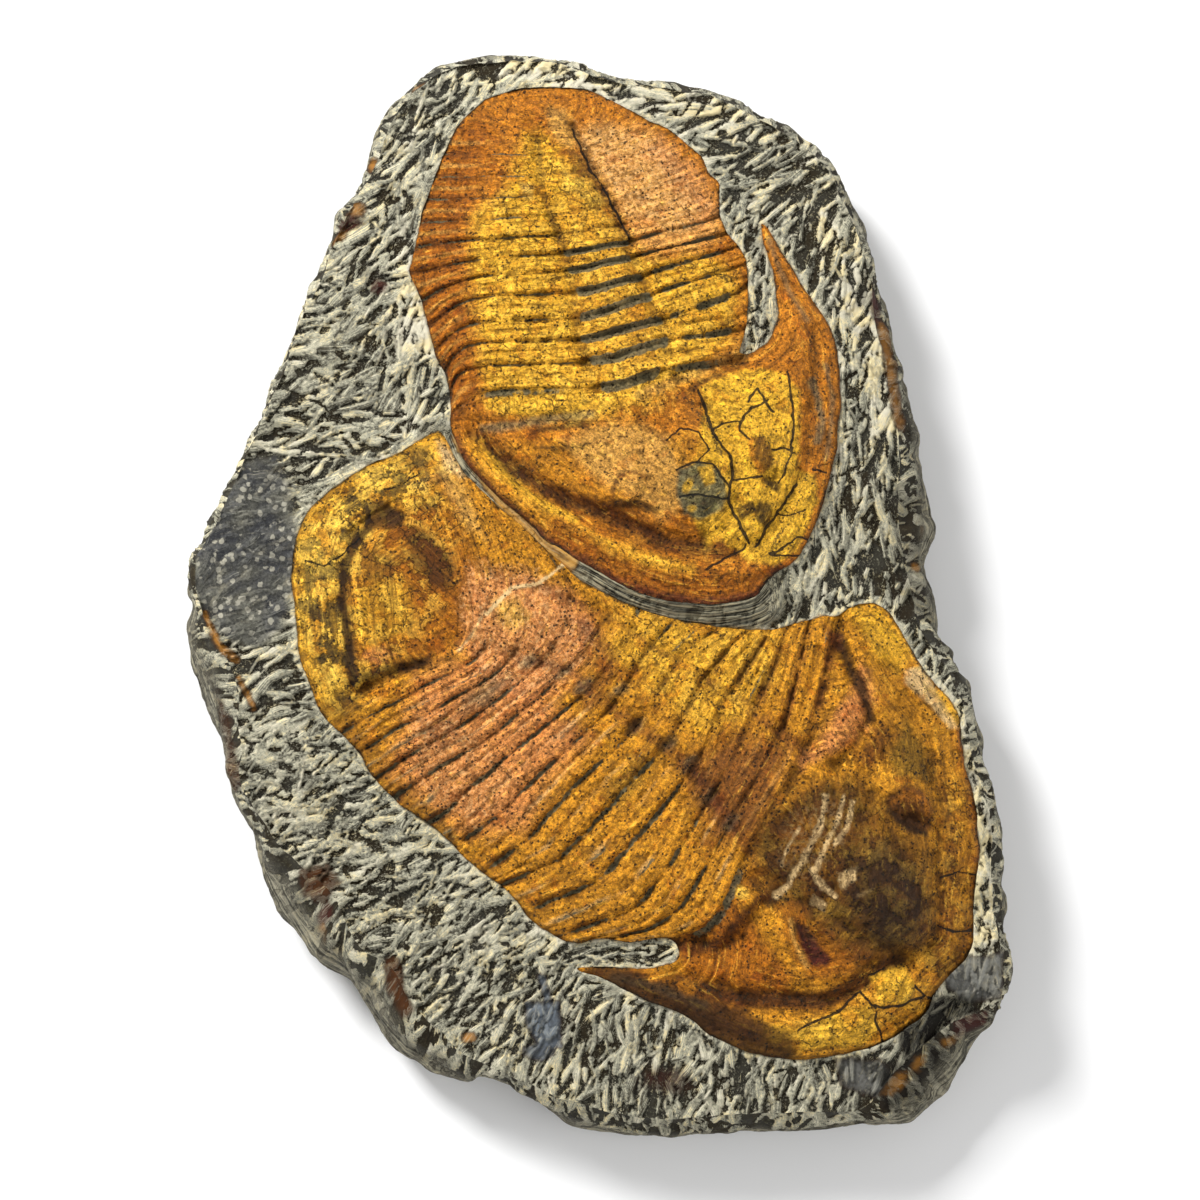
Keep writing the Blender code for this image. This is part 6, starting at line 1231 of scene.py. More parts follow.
def chiselled(points, places, field, sizes, rng):
    """Tool marks over rock: cover (1 mid stroke to 0 beside), streak places, tone (a random tone
    with a painted highlight towards one edge of each mark) and lift.
    """
    share, long, wide, spread = sizes
    heading, shares, long_here, wide_here = field_values(places, field).T
    count = len(places)
    turns = np.radians(heading + rng.normal(0.0, spread, count))
    lengths = long * long_here * np.exp(rng.normal(0.0, LENGTH_SPREAD, count))
    widths = wide * wide_here * np.exp(rng.normal(0.0, WIDTH_SPREAD, count))
    kept = rng.uniform(0.0, 1.0, count) < share * shares
    tones = rng.uniform(0.0, 1.0, count)
    lifts = rng.uniform(LOWEST_LIFT, HIGHEST_LIFT, count)
    tilts = rng.normal(0.0, TILT, count)
    bends = rng.normal(0.0, BEND, count)
    warp = [ROCK_NOISE.fractal(points + shift, WANDER_SIZE, 3) for shift in (0.0, 55.0)]
    moved = points + WANDER * np.stack(warp, axis=1)
    cover = np.full(len(points), BARE_COVER)
    streak = np.zeros((len(points), 3))
    tone = np.zeros(len(points))
    relief = np.zeros(len(points))
    cells = in_cells(moved, CELL)
    for number in np.flatnonzero(kept):
        place, half = places[number], 0.5 * lengths[number]
        low = np.floor((place - half - 0.5) / CELL).astype(int)
        high = np.floor((place + half + 0.5) / CELL).astype(int)
        keys = itertools.product(range(low[0], high[0] + 1), range(low[1], high[1] + 1))
        near = [cells[key] for key in keys if key in cells]
        if not near:
            continue
        near = np.concatenate(near)
        along, across = turned(moved[near], place, turns[number])
        across = across + bends[number] * along * along
        end = np.clip(1.0 - (along / half) ** 2, 0.0, 1.0)
        profile = end**0.6 - np.abs(across) / (0.5 * widths[number])
        better = profile > cover[near]
        chosen, along, across = near[better], along[better], across[better]
        cover[chosen] = profile[better]
        offset = np.full(len(chosen), 7.0 * tones[number])
        streak[chosen] = np.column_stack([along * STREAK_ALONG, across * STREAK_ACROSS, offset])
        # The tone rises across each mark: a painted highlight that makes one edge lighter than the
        # other.
        tone[chosen] = tones[number] + 0.9 * across / widths[number]
        relief[chosen] = lifts[number] + tilts[number] * across * 2.0
    return cover, streak, tone, relief


def tooled(points, field, spacing, rng):
    """Broad pale strokes with dark pits and small bright chips over them."""
    layers = []
    for scale, sizes in (STROKE_SIZES, PIT_SIZES, CHIP_SIZES):
        step = scale * spacing
        centres = grid_points(points, step, rng)
        centres = centres + rng.uniform(-0.35, 0.35, centres.shape) * step
        layers.append(chiselled(points, centres, field, sizes, rng))
    (cover, streak, tone, relief), (pits, *_), chips = layers
    pitted = pits > 0.0
    cover[pitted] = np.minimum(cover, 0.1 - 1.2 * pits)[pitted]
    chipped = (chips[0] > 0.0) & (chips[0] > cover - 0.6)
    cover[chipped] = chips[0][chipped] + 0.1
    streak[chipped] = chips[1][chipped] + 40.0
    tone[chipped] = 0.6 + 0.6 * chips[2][chipped]
    relief[chipped] = chips[3][chipped] + 0.25
    return cover, streak, tone, relief


# The slab


def slab_rings(rng):
    """The rim of the top face and the rings of the side wall, drawn as in the part's own source."""
    edge = catmull(SLAB_EDGE, SLAB_STEP)
    if signed_area(edge[:, :2]) < 0:
        edge = edge[::-1]
    count = len(edge)

    def rough(amount, columns=1):
        values = rng.uniform(-amount, amount, (count, columns))
        return values[:, 0] if columns == 1 else values

    rim_heights = edge[:, 2] + rough(RIM_HEIGHT_ROUGHNESS)
    rim = true_place(edge[:, :2], rim_heights, SLAB_PLANE)
    wide = true_place(edge[:, 3:5], np.full(count, WIDEST_HEIGHT), SLAB_PLANE)
    wide = moved_outward(wide, -WIDE_INSET) + rough(WALL_ROUGHNESS, 2)
    upper = moved_outward(rim + UPPER_SHARE * (wide - rim), UPPER_SWELL)
    upper = upper + rough(WALL_ROUGHNESS, 2)
    middle = moved_outward(rim + MIDDLE_SHARE * (wide - rim), MIDDLE_SWELL)
    middle = middle + rough(MIDDLE_ROUGHNESS, 2)
    lower = moved_outward(wide, -LOWER_INSET) + rough(WALL_ROUGHNESS, 2)
    base = moved_outward(wide, -BASE_INSET)
    upper_heights = rim_heights - UPPER_WALL_DROP
    heights = [
        rim_heights,
        upper_heights + rough(RING_HEIGHT_ROUGHNESS),
        0.5 * (upper_heights + WIDEST_HEIGHT) + rough(RING_HEIGHT_ROUGHNESS),
        WIDEST_HEIGHT + rough(RING_HEIGHT_ROUGHNESS),
        LOWER_WALL_HEIGHT + rough(FOOT_ROUGHNESS),
        np.zeros(count),
    ]
    rings = [rim, upper, middle, wide, lower, base]
    return [np.column_stack(ring) for ring in zip(rings, heights)]


def finer(ring, parts):
    """A closed ring with each of its spans cut into parts along a smooth curve."""
    around = [np.roll(ring, shift, axis=0) for shift in (1, 0, -1, -2)]
    shares = np.arange(parts) / parts
    return np.stack([blend(*around, t) for t in shares], axis=1).reshape(-1, ring.shape[1])


def broken_rim(ring):
    """The finely cut rim with small chips along it."""
    places = ring[:, :2]
    chips = ROCK_NOISE.fractal(places, RIM_CHIP_SIZE, 4)
    ring = ring.copy()
    ring[:, :2] = moved_outward(places, RIM_CHIPS * chips - RIM_CUT)
    ring[:, 2] += RIM_STEPS * ROCK_NOISE.fractal(places + 200.0, RIM_STEP_SIZE, 4)
    return ring


def slab_face(rim, pockets, small_loop, rng):
    """The prepared upper face between the rim and the two pockets, with the pockets."""
    rim_flat = laid_out(rim)
    rim_knots = np.column_stack([rim_flat, rim[:, 2]])[::18]
    sheet = smooth_sheet(MATRIX_KNOTS + [tuple(knot) for knot in rim_knots])
    free = grid_points(rim_flat, FACE_GRID, rng)
    free = free[inside(free, rim_flat)]
    for pocket in pockets:
        free = free[~inside(free, pocket)]
    for loop in [rim_flat, *pockets]:
        free = clear_of(free, loop, 0.6 * FACE_GRID)
    flat, faces, loops = filled([rim_flat, *pockets], free)
    values, relief = rock_marks(flat, small_loop, pockets, rng)
    heights = sheet(flat) + lump_sum(flat, MATRIX_LUMPS) + relief
    first = len(rim_flat)
    heights[loops[:first]] = rim[:, 2]
    from_rim, _ = near_distance(flat, rim_flat[::4], True, WHOLE)
    values["rim"] = 1.0 - smoothstep(0.0, 6.0, from_rim)
    points, all_faces = [placed(flat, heights)], [faces]
    for pocket in pockets:
        ring = loops[first : first + len(pocket)]
        first += len(pocket)
        count = sum(len(part) for part in points)
        levels = (POCKET_FLOOR + 5.0, POCKET_FLOOR)
        rings, wall, ring = lowered(pocket, levels, ring, count)
        points += rings
        all_faces += [part[:, ::-1] for part in wall] + [cap(pocket, ring)]
    points = np.concatenate(points)
    extra = len(points) - len(flat)
    for key, data in values.items():
        values[key] = np.concatenate([data, np.zeros((extra,) + data.shape[1:])])
    return points, np.concatenate(all_faces), values


def stains(points, features):
    """Colour of the stains at the points, and how strong they are."""
    stain, _ = marked(points, features, ROCK_NOISE, (), "dark")
    strength = np.clip(np.abs(stain - PALETTE["dark"]).sum(axis=1) * 40.0, 0.0, 1.0)
    return np.column_stack([stain, np.ones(len(points))]), strength


def rock_marks(flat, small_loop, pockets, rng):
    """Strokes, stains and zones of the rock's face, and the relief that goes with them."""
    cover, streak, tone, relief = tooled(flat, STROKES, FACE_STROKE_SPACING, rng)
    broad = ROCK_NOISE.fractal(flat, 26.0, 4)
    fine = ROCK_NOISE.fractal(flat + 300.0, 2.4, 4)
    # A pale rim of rock follows the fossils' edges.
    gaps = [near_distance(flat, pocket[::3], True, 8.0)[0] for pocket in pockets]
    from_fossil = np.minimum(*gaps)
    rim_band = smoothstep(2.0, 0.8, from_fossil + 2.6 * ROCK_NOISE.fractal(flat, 6.0, 4))
    cover = np.maximum(cover, rim_band * (0.3 + 0.9 * fine))
    lifted = smoothstep(-0.1, 0.35, cover)
    change = -1.05 + lifted * (1.0 + relief + 0.3 * np.clip(cover, 0.0, 1.0))
    change += 0.9 * broad + 0.3 * fine
    change = change * smoothstep(-0.6, 2.0, from_fossil) + 0.15 * rim_band
    # The dark slate area at the left is smooth.
    slate_depth = shape_depth(flat, "area", SLATE_AREA, 12.0)
    slate = smoothstep(-2.5, 2.5, slate_depth + 3.5 * ROCK_NOISE.fractal(flat, 12.0, 4))
    change = change * (1.0 - 0.75 * slate)
    # The ledge between the two fossils shows thin layers along the smaller one's margin; its dark
    # layers are partly the shale's own and partly painted shadow of the smaller trilobite's head.
    from_small, _ = near_distance(flat, small_loop[::4], True, 14.0)
    between = smoothstep(61.0, 55.0, flat[:, 1]) * smoothstep(12.0, 8.5, from_small)
    between *= smoothstep(66.0, 56.0, flat[:, 0])
    layer = np.sin(from_small * 2.6 + 2.6 * ROCK_NOISE.fractal(flat, 9.0, 3))
    change = change * (1.0 - 0.7 * between) + between * 0.3 * layer
    along = np.arctan2(flat[:, 1] - 90.0, flat[:, 0] - 10.0) * 90.0
    ledge_streak = np.column_stack([along * 0.06, from_small * 1.6, np.full(len(flat), 31.0)])
    streak += between[:, None] * (ledge_streak - streak)
    stain, strength = stains(flat, ROCK_FEATURES)
    for area in PALE_AREAS:
        tone = tone + 0.7 * smoothstep(-4.0, 4.0, shape_depth(flat, "area", area, 6.0))
    values = {
        "cover": cover,
        "streak": streak,
        "tone": tone + 0.35 * rim_band,
        "slate": slate,
        "ledge": between,
        "stain": stain,
        "stained": strength,
    }
    return values, change


def wall_grid(rings, rim):
    """Points of the wall, row below row from the rim to the foot, and their outward directions."""
    levels = np.array([rim] + [finer(ring, RIM_PARTS) for ring in rings[1:]])
    rows = []
    for band, parts in enumerate(WALL_ROWS):
        spans = [levels[min(max(band + j, 0), len(levels) - 1)] for j in (-1, 0, 1, 2)]
        for t in np.arange(parts) / parts:
            rows.append(0.5 * blend(*spans, t) + 0.5 * (spans[1] + t * (spans[2] - spans[1])))
    grid = np.array(rows + [levels[-1]])
    around = np.roll(grid, -1, axis=1) - np.roll(grid, 1, axis=1)
    normal = np.cross(np.gradient(grid, axis=0), around)
    return grid, normal / (np.linalg.norm(normal, axis=2)[:, :, None] + 1e-9)


def slab_walls(rings, rim, rng):
    """The broken side walls below the rim and the sawn underside."""
    grid, normal = wall_grid(rings, rim)
    last, count = len(grid) - 1, grid.shape[1]
    steps = np.linalg.norm(np.diff(grid, axis=0), axis=2)
    depth = np.concatenate([np.zeros((1, count)), np.cumsum(steps, axis=0)])
    lengths = np.linalg.norm(np.roll(rim, -1, axis=0) - rim, axis=1)
    along = np.tile(np.concatenate([[0.0], np.cumsum(lengths)[:-1]]), (len(grid), 1))
    places = grid.reshape(-1, 3)
    sheet = np.column_stack([along.ravel(), depth.ravel()])
    cover, streak, tone, relief = tooled(sheet, WALL_STROKES, WALL_STROKE_SPACING, rng)
    flaky = ROCK_NOISE.fractal(places * np.array([0.35, 0.35, 2.0]), 7.0, 4)
    chunky = ROCK_NOISE.fractal(places, 16.0, 5)
    lifted = smoothstep(-0.1, 0.35, cover)
    worked = smoothstep(15.0, 7.0, sheet[:, 1] + 9.0 * chunky)
    change = 1.6 * chunky + 0.95 * flaky + 0.45 * worked * lifted * (1.0 + relief)
    row = np.repeat(np.arange(len(grid)), count)
    taper = smoothstep(0.0, 4.0, row) * smoothstep(float(last), last - 3.0, row)
    places = places + (change * taper)[:, None] * normal.reshape(-1, 3)
    ring_of = [np.arange(count) + i * count for i in range(len(grid))]
    faces = [strip(upper, lower) for upper, lower in zip(ring_of, ring_of[1:])]
    faces.append(cap(grid[-1][:, :2], ring_of[-1])[:, ::-1])
    # Below the worked top the wall shows the layers of the shale, without stains.
    deep = smoothstep(7.0, 15.0, sheet[:, 1] + 9.0 * chunky)
    stain, strength = stains(places[:, :2], WALL_FEATURES)
    bedding = np.column_stack([sheet[:, 0] * 0.07, places[:, 2] * 0.9, np.full(len(places), 31.0)])
    values = {
        "cover": cover,
        "streak": streak + deep[:, None] * (bedding - streak),
        "tone": tone,
        "slate": np.zeros(len(places)),
        "ledge": deep,
        "stain": stain,
        "stained": strength * (1.0 - deep),
        "rim": np.ones(len(places)),
    }
    return places, np.concatenate(faces), values


# The fossils


def fossil(loop, spacing, sculpt, rng):
    """One trilobite: its sculpted top, its edge and its flat underside, with its marks."""
    free = grid_points(loop, spacing, rng)
    free = clear_of(free[inside(free, loop)], loop, 0.6 * spacing)
    flat, top_faces, rim = filled([loop], free)
    from_edge, _ = near_distance(flat, loop[::2], True, WHOLE)
    heights, values = sculpt(flat, from_edge)
    heights = heights - 0.5 * np.exp(-((from_edge / 0.7) ** 2))
    # How far each point lies above or below its surroundings, for painted shade in the hollows and
    # painted highlights on the ridges.
    rounds = int(round((HOLLOW_REACH / spacing) ** 2))
    values["hollow"] = heights - settled(heights, top_faces, rounds)
    rim_heights = heights[rim]
    levels = [rim_heights + share * (FOSSIL_FLOOR - rim_heights) for share in EDGE_LEVELS]
    rings, wall, ring = lowered(loop, levels, rim, len(flat))
    faces = [top_faces] + wall + [cap(loop, ring)[:, ::-1]]
    for key, data in values.items():
        values[key] = np.concatenate([data] + [data[rim]] * len(levels))
    return np.concatenate([placed(flat, heights)] + rings), np.concatenate(faces), values


def flow_of(flat, found, from_edge, steps, head):
    """Places along and across the grain, which follows the ribs, and the margin on the head."""
    u, v, gap, _ = found
    body = np.column_stack([u * steps[0] * GRAIN_SHARE, v * steps[1], np.zeros(len(flat))])
    around = np.arctan2(flat[:, 1] - head[1], flat[:, 0] - head[0]) * 60.0
    margin = np.column_stack([around * GRAIN_SHARE, from_edge * 1.0, np.full(len(flat), 50.0)])
    return np.where((gap < 2.0)[:, None], body, margin)


def grain_relief(flat, flow, flakes):
    """Fine relief of a fossil: fibres along the grain, flaked plates and grains."""
    fibres = SHELL_NOISE.fractal(flow, 2.4, 3)
    plates = smoothstep(-0.06, 0.08, flakes)
    grains = SHELL_NOISE.fractal(flat, 1.5, 3)
    lumps = SHELL_NOISE.fractal(flat + 70.0, 8.0, 3)
    return 0.55 * fibres + 0.3 * plates + 0.28 * grains + 0.4 * lumps


def small_height(flat, found, clear):
    """Height of the smaller trilobite, with its ribs as clear as given."""
    body = SMALL_SHEET(flat) + clear * ribs(SMALL_BODY, found, SMALL_RIBS)
    return body + line_sum(flat, SMALL_LINES) + lump_sum(flat, SMALL_LUMPS)


def large_height(flat, found, clear):
    """Height of the larger trilobite, with its ribs as clear as given."""
    body = LARGE_SHEET(flat) + clear * ribs(LARGE_BODY, found, LARGE_RIBS)
    return body + line_sum(flat, LARGE_LINES) + lump_sum(flat, LARGE_LUMPS)


def toward(tint, share, name):
    """The tint moved by the share towards a palette colour."""
    return tint + share[:, None] * (PALETTE[name] - tint)


def body_places(flat, v, gap):
    """How far points are on the body (1 to 0), a small waver, and the places between two furrows
    and from the nearer one."""
    on_body = np.exp(-((np.maximum(gap - 1.0, 0.0) / 2.0) ** 2))
    wobble = 0.05 * SHELL_NOISE.fractal(flat, 3.0, 3) + 0.03 * SHELL_NOISE.fractal(flat, 1.3, 2)
    in_rib = (v + wobble) % 1.0
    return on_body, wobble, in_rib, 0.5 - np.abs(in_rib - 0.5)


def small_sculpt(flat, from_edge):
    """Heights, colour and marks of the smaller trilobite's top."""
    u, v, gap, wear = SMALL_BODY.lookup(flat, SHELL_NOISE)
    # The ribs right of the axis rise outwards.
    v = v + 1.1 * np.clip(u - 3.0, 0.0, 1.0) * smoothstep(13.6, 10.5, v)
    found = (u, v, gap, wear)
    flow = flow_of(flat, found, from_edge, (25.0, 8.0), (20.0, 60.0))
    flakes = SHELL_NOISE.fractal(flat + 11.0, 5.0, 5)
    faint = 0.7 * smoothstep(2.95, 3.15, u) * smoothstep(7.8, 6.8, v)
    faint += 0.6 * smoothstep(1.9, 2.1, u) * smoothstep(3.1, 2.95, u) * smoothstep(8.0, 6.8, v)
    heights = small_height(flat, found, 1.0 - faint) + grain_relief(flat, flow, flakes)
    tint, marks = marked(flat, SMALL_FEATURES, SHELL_NOISE, FOSSIL_MARKS, "orange")
    on_body, wobble, _, from_furrow = body_places(flat, v, gap)
    on_axis = smoothstep(1.92, 2.08, u) * smoothstep(3.1, 2.95, u)
    worn = 0.4 + 0.6 * wear
    # Dark grey bands on the axis rings and in the right furrows.
    band = smoothstep(0.3, 0.12, from_furrow) * on_axis * smoothstep(7.2, 8.2, v) * on_body
    right = smoothstep(3.05, 3.2, u) * smoothstep(3.95, 3.7, u) * smoothstep(7.3, 8.3, v) * on_body
    band = np.maximum(band, 0.9 * smoothstep(0.19, 0.06, from_furrow) * right * worn)
    upper_right = smoothstep(3.05, 3.2, u) * smoothstep(7.6, 6.6, v) * on_body
    # Darker furrows at the upper right: partly their own colour, partly painted shade in the
    # creases.
    tint = toward(tint, 0.25 * smoothstep(0.14, 0.06, from_furrow) * upper_right, "burnt")
    # Thin dark lines and pale crests on the left flank, and browner sides of its furrows, partly
    # their own colour and partly painted shade in the creases.
    left = smoothstep(1.95, 1.8, u) * smoothstep(1.0, 3.0, v) * on_body
    band = np.maximum(band, 0.75 * smoothstep(0.09, 0.02, from_furrow) * left * worn)
    crest = smoothstep(0.36, 0.47, from_furrow)
    tint = toward(tint, 0.5 * crest * smoothstep(1.1, 0.6, u) * left, "tan")
    furrow_side_dark = smoothstep(0.24, 0.12, from_furrow) * smoothstep(1.0, 0.5, u)
    tint = toward(tint, 0.5 * furrow_side_dark * left, "brown")
    # Browner furrows on the upper axis: partly their own colour, partly painted shade in the
    # creases.
    upper_axis = on_axis * smoothstep(7.8, 6.8, v) * on_body
    tint = toward(tint, 0.4 * smoothstep(0.12, 0.05, from_furrow) * upper_axis, "brown")
    # The furrows beside the axis, darker: partly their own colour, partly painted shade in these
    # creases.
    for place in (2.0, 3.0):
        beside = smoothstep(0.09, 0.03, np.abs(u + 1.4 * wobble - place))
        beside *= smoothstep(13.8, 13.0, v)
        tint = toward(tint, 0.6 * beside * on_body * worn, "umber")
    specks = smoothstep(0.3, 0.1, from_furrow) * on_body * smoothstep(4.0, 8.0, v)
    values = finished_marks(flat, tint, marks, SMALL_CRACKS, from_edge, flow, flakes)
    values["specks"] = 0.35 + 0.65 * specks
    values["band"] = band
    return heights, values


def large_sculpt(flat, from_edge):
    """Heights, colour and marks of the larger trilobite's top."""
    found = LARGE_BODY.lookup(flat, SHELL_NOISE)
    flow = flow_of(flat, found, from_edge, (28.0, 10.0), (70.0, -80.0))
    flakes = SHELL_NOISE.fractal(flat + 23.0, 7.0, 6)
    u, v, gap, wear = found
    faded = smoothstep(3.0, 3.8, u) * smoothstep(3.6, 1.6, v)
    grain = 1.35 * grain_relief(flat, flow, flakes)
    heights = large_height(flat, found, 1.0 - 0.85 * faded) + grain
    tint, marks = marked(flat, LARGE_FEATURES, SHELL_NOISE, FOSSIL_MARKS, "amber")
    on_body, wobble, in_rib, from_furrow = body_places(flat, v, gap)
    worn = 0.3 + 0.7 * wear
    wide = smoothstep(0.24, 0.1, from_furrow) * worn
    broken = smoothstep(-0.2, 0.3, SHELL_NOISE.fractal(flow, 3.0, 3))
    crest = smoothstep(0.4, 0.48, from_furrow) * broken
    left = smoothstep(3.0, 2.7, u) * on_body
    kept = 1.0 - faded
    right = smoothstep(3.9, 4.15, u) * smoothstep(4.98, 4.8, u) * on_body * kept
    axis = smoothstep(2.95, 3.1, u) * smoothstep(4.05, 3.9, u) * on_body * kept
    early, late = smoothstep(0.2, 1.0, v), smoothstep(6.0, 10.0, v)
    band = 0.95 * smoothstep(0.1, 0.02, from_furrow) * worn * left * early
    tint = toward(tint, 0.4 * crest * left * early, "cream")
    # Browner sides of the furrows: partly their own colour, partly painted shade in the creases.
    tint = toward(tint, 0.8 * wide * smoothstep(1.6, 0.3, u) * left, "brown")
    # A second, fainter line runs along the middle of each rib.
    middle = smoothstep(0.09, 0.02, np.abs(in_rib - 0.5 - 0.04 * u))
    band = np.maximum(band, 0.6 * middle * broken * (left + right) * early)
    furrow = smoothstep(0.12, 0.03, from_furrow) * worn
    band = np.maximum(band, 0.75 * furrow * right * (1.0 - late))
    # Maroon and umber sides of the furrows: partly their own colour, partly painted shade in the
    # creases.
    tint = toward(tint, 0.8 * wide * right * late, "maroon")
    tint = toward(tint, 0.5 * wide * axis * early, "umber")
    tint = toward(tint, 0.35 * crest * axis, "peach")
    # The furrows beside the axis, darker: partly their own colour, partly painted shade in these
    # creases.
    for place in (3.0, 4.0):
        beside = smoothstep(0.09, 0.03, np.abs(u + 1.6 * wobble - place)) * smoothstep(1.0, 3.0, v)
        tint = toward(tint, 0.6 * beside * on_body * worn, "maroon")
    values = finished_marks(flat, tint, marks, LARGE_CRACKS, from_edge, flow, flakes)
    values["specks"] = 0.45 + 0.55 * smoothstep(0.28, 0.08, from_furrow) * on_body
    values["band"] = band
    return heights, values


def finished_marks(flat, tint, marks, cracks, from_edge, flow, flakes):
    """The marks of a fossil's top with its dirty edge and its cracks, as mesh values."""
    patches = smoothstep(-0.25, 0.35, SHELL_NOISE.fractal(flat, 14.0, 3))
    edge = np.exp(-((from_edge / 1.2) ** 2)) * patches
    marks["grime"] = np.maximum(marks["grime"], 0.75 * edge)
    clouds = SHELL_NOISE.fractal(flat + 140.0, 17.0, 5)
    marks["shade"] = np.maximum(marks["shade"] + 0.16 * clouds, 0.22 * smoothstep(0.0, 0.5, clouds))
    values = dict(marks)
    values["flow"] = flow
    values["plates"] = flakes
    values["tint"] = np.column_stack([tint, np.ones(len(flat))])
    values["crack"] = crack_marks(flat, cracks, SHELL_NOISE)
    return values


# Materials


class Shader:
    """A short way to write a node material."""

    def __init__(self, name):
        self.material = bpy.data.materials.new(name)
        self.material.use_nodes = True
        self.nodes = self.material.node_tree.nodes
        self.links = self.material.node_tree.links
        self.surface = self.nodes["Principled BSDF"]
        self.place = self.nodes.new("ShaderNodeTexCoord").outputs["Object"]

    def connect(self, value, socket):
        """Links a socket, or sets a constant on it."""
        if isinstance(value, bpy.types.NodeSocket):
            self.links.new(value, socket)
        elif isinstance(value, (tuple, list, np.ndarray)):
            colour = len(value) == 3 and socket.type == "RGBA"
            socket.default_value = (*value, 1.0) if colour else value
        else:
            socket.default_value = value

    def kept(self, name, output="Fac"):
        """A value that the mesh keeps at its points."""
        node = self.nodes.new("ShaderNodeAttribute")
        node.attribute_name = name
        return node.outputs[output]

    def noise(self, size, detail=4.0, rough=0.55, place=None, stretch=0.0, shift=0.0):
        """Noise with features of the size in millimetres, or of 1 / size on kept places."""
        node = self.nodes.new("ShaderNodeTexNoise")
        if shift:
            moved = self.nodes.new("ShaderNodeVectorMath")
            self.links.new(self.place, moved.inputs[0])
            moved.inputs[1].default_value = (shift, 2.0 * shift, 0.5 * shift)
            place_in = moved.outputs["Vector"]
        else:
            place_in = self.place if place is None else place
        self.connect(place_in, node.inputs["Vector"])
        node.inputs["Scale"].default_value = size if place is not None else 1000.0 / size
        node.inputs["Detail"].default_value = detail
        node.inputs["Roughness"].default_value = rough
        node.inputs["Distortion"].default_value = stretch
        return node.outputs["Fac"]

    def warped(self, size, amount):
        """The place, moved about by noise of the size and amount in millimetres."""
        node = self.nodes.new("ShaderNodeTexNoise")
        self.links.new(self.place, node.inputs["Vector"])
        node.inputs["Scale"].default_value = 1000.0 / size
        centred = self.nodes.new("ShaderNodeVectorMath")
        centred.operation = "MULTIPLY_ADD"
        self.links.new(node.outputs["Color"], centred.inputs[0])
        centred.inputs[1].default_value = (amount * TO_METRES,) * 3
        self.links.new(self.place, centred.inputs[2])
        return centred.outputs["Vector"]

    def cells(self, size, place, feature="F1"):
        """Distance in cells of the size in millimetres."""
        node = self.nodes.new("ShaderNodeTexVoronoi")
        node.feature = feature
        self.links.new(place, node.inputs["Vector"])
        node.inputs["Scale"].default_value = 1000.0 / size
        return node.outputs["Distance"]

    def math(self, action, first, second=0.0):
        node = self.nodes.new("ShaderNodeMath")
        node.operation = action
        for value, socket in zip((first, second), node.inputs):
            self.connect(value, socket)
        return node.outputs["Value"]

    def plus(self, first, second):
        return self.math("ADD", first, second)

    def times(self, first, second):
        return self.math("MULTIPLY", first, second)

    def about(self, value, source, amount):
        """The value, raised and lowered by noise of the amount."""
        return self.plus(value, self.times(self.math("SUBTRACT", source, 0.5), amount))

    def step(self, value, low, high, to_low=0.0, to_high=1.0):
        """An eased step of the value from low to high."""
        node = self.nodes.new("ShaderNodeMapRange")
        node.interpolation_type = "SMOOTHSTEP"
        self.connect(value, node.inputs["Value"])
        numbers = (("From Min", low), ("From Max", high), ("To Min", to_low), ("To Max", to_high))
        for name, number in numbers:
            node.inputs[name].default_value = number
        return node.outputs["Result"]

    def mix(self, share, first, second, kind="MIX"):
        """The first colour with a share of the second, either one a palette name, too."""
        node = self.nodes.new("ShaderNodeMix")
        node.data_type = "RGBA"
        node.blend_type = kind
        self.connect(share, node.inputs["Factor"])
        for colour, socket in ((first, node.inputs[6]), (second, node.inputs[7])):
            self.connect(PALETTE[colour] if isinstance(colour, str) else colour, socket)
        return node.outputs[2]

    def grey(self, value):
        node = self.nodes.new("ShaderNodeCombineColor")
        for socket in node.inputs:
            self.links.new(value, socket)
        return node.outputs["Color"]

    def shaded(self, colour, source, *limits):
        """The colour, darker and lighter by a step of the source."""
        return self.mix(1.0, colour, self.grey(self.step(source, *limits)), "MULTIPLY")

    def bump(self, height, depth):
        """Fine relief of the depth in millimetres."""
        node = self.nodes.new("ShaderNodeBump")
        node.inputs["Distance"].default_value = depth * TO_METRES
        self.connect(height, node.inputs["Height"])
        self.links.new(node.outputs["Normal"], self.surface.inputs["Normal"])

    def finish(self, colour, fine, roughness, shine):
        """Colour and polish of the surface."""
        self.connect(colour, self.surface.inputs["Base Color"])
        self.connect(self.step(fine, 0.3, 0.7, *roughness), self.surface.inputs["Roughness"])
        self.surface.inputs["Specular IOR Level"].default_value = shine


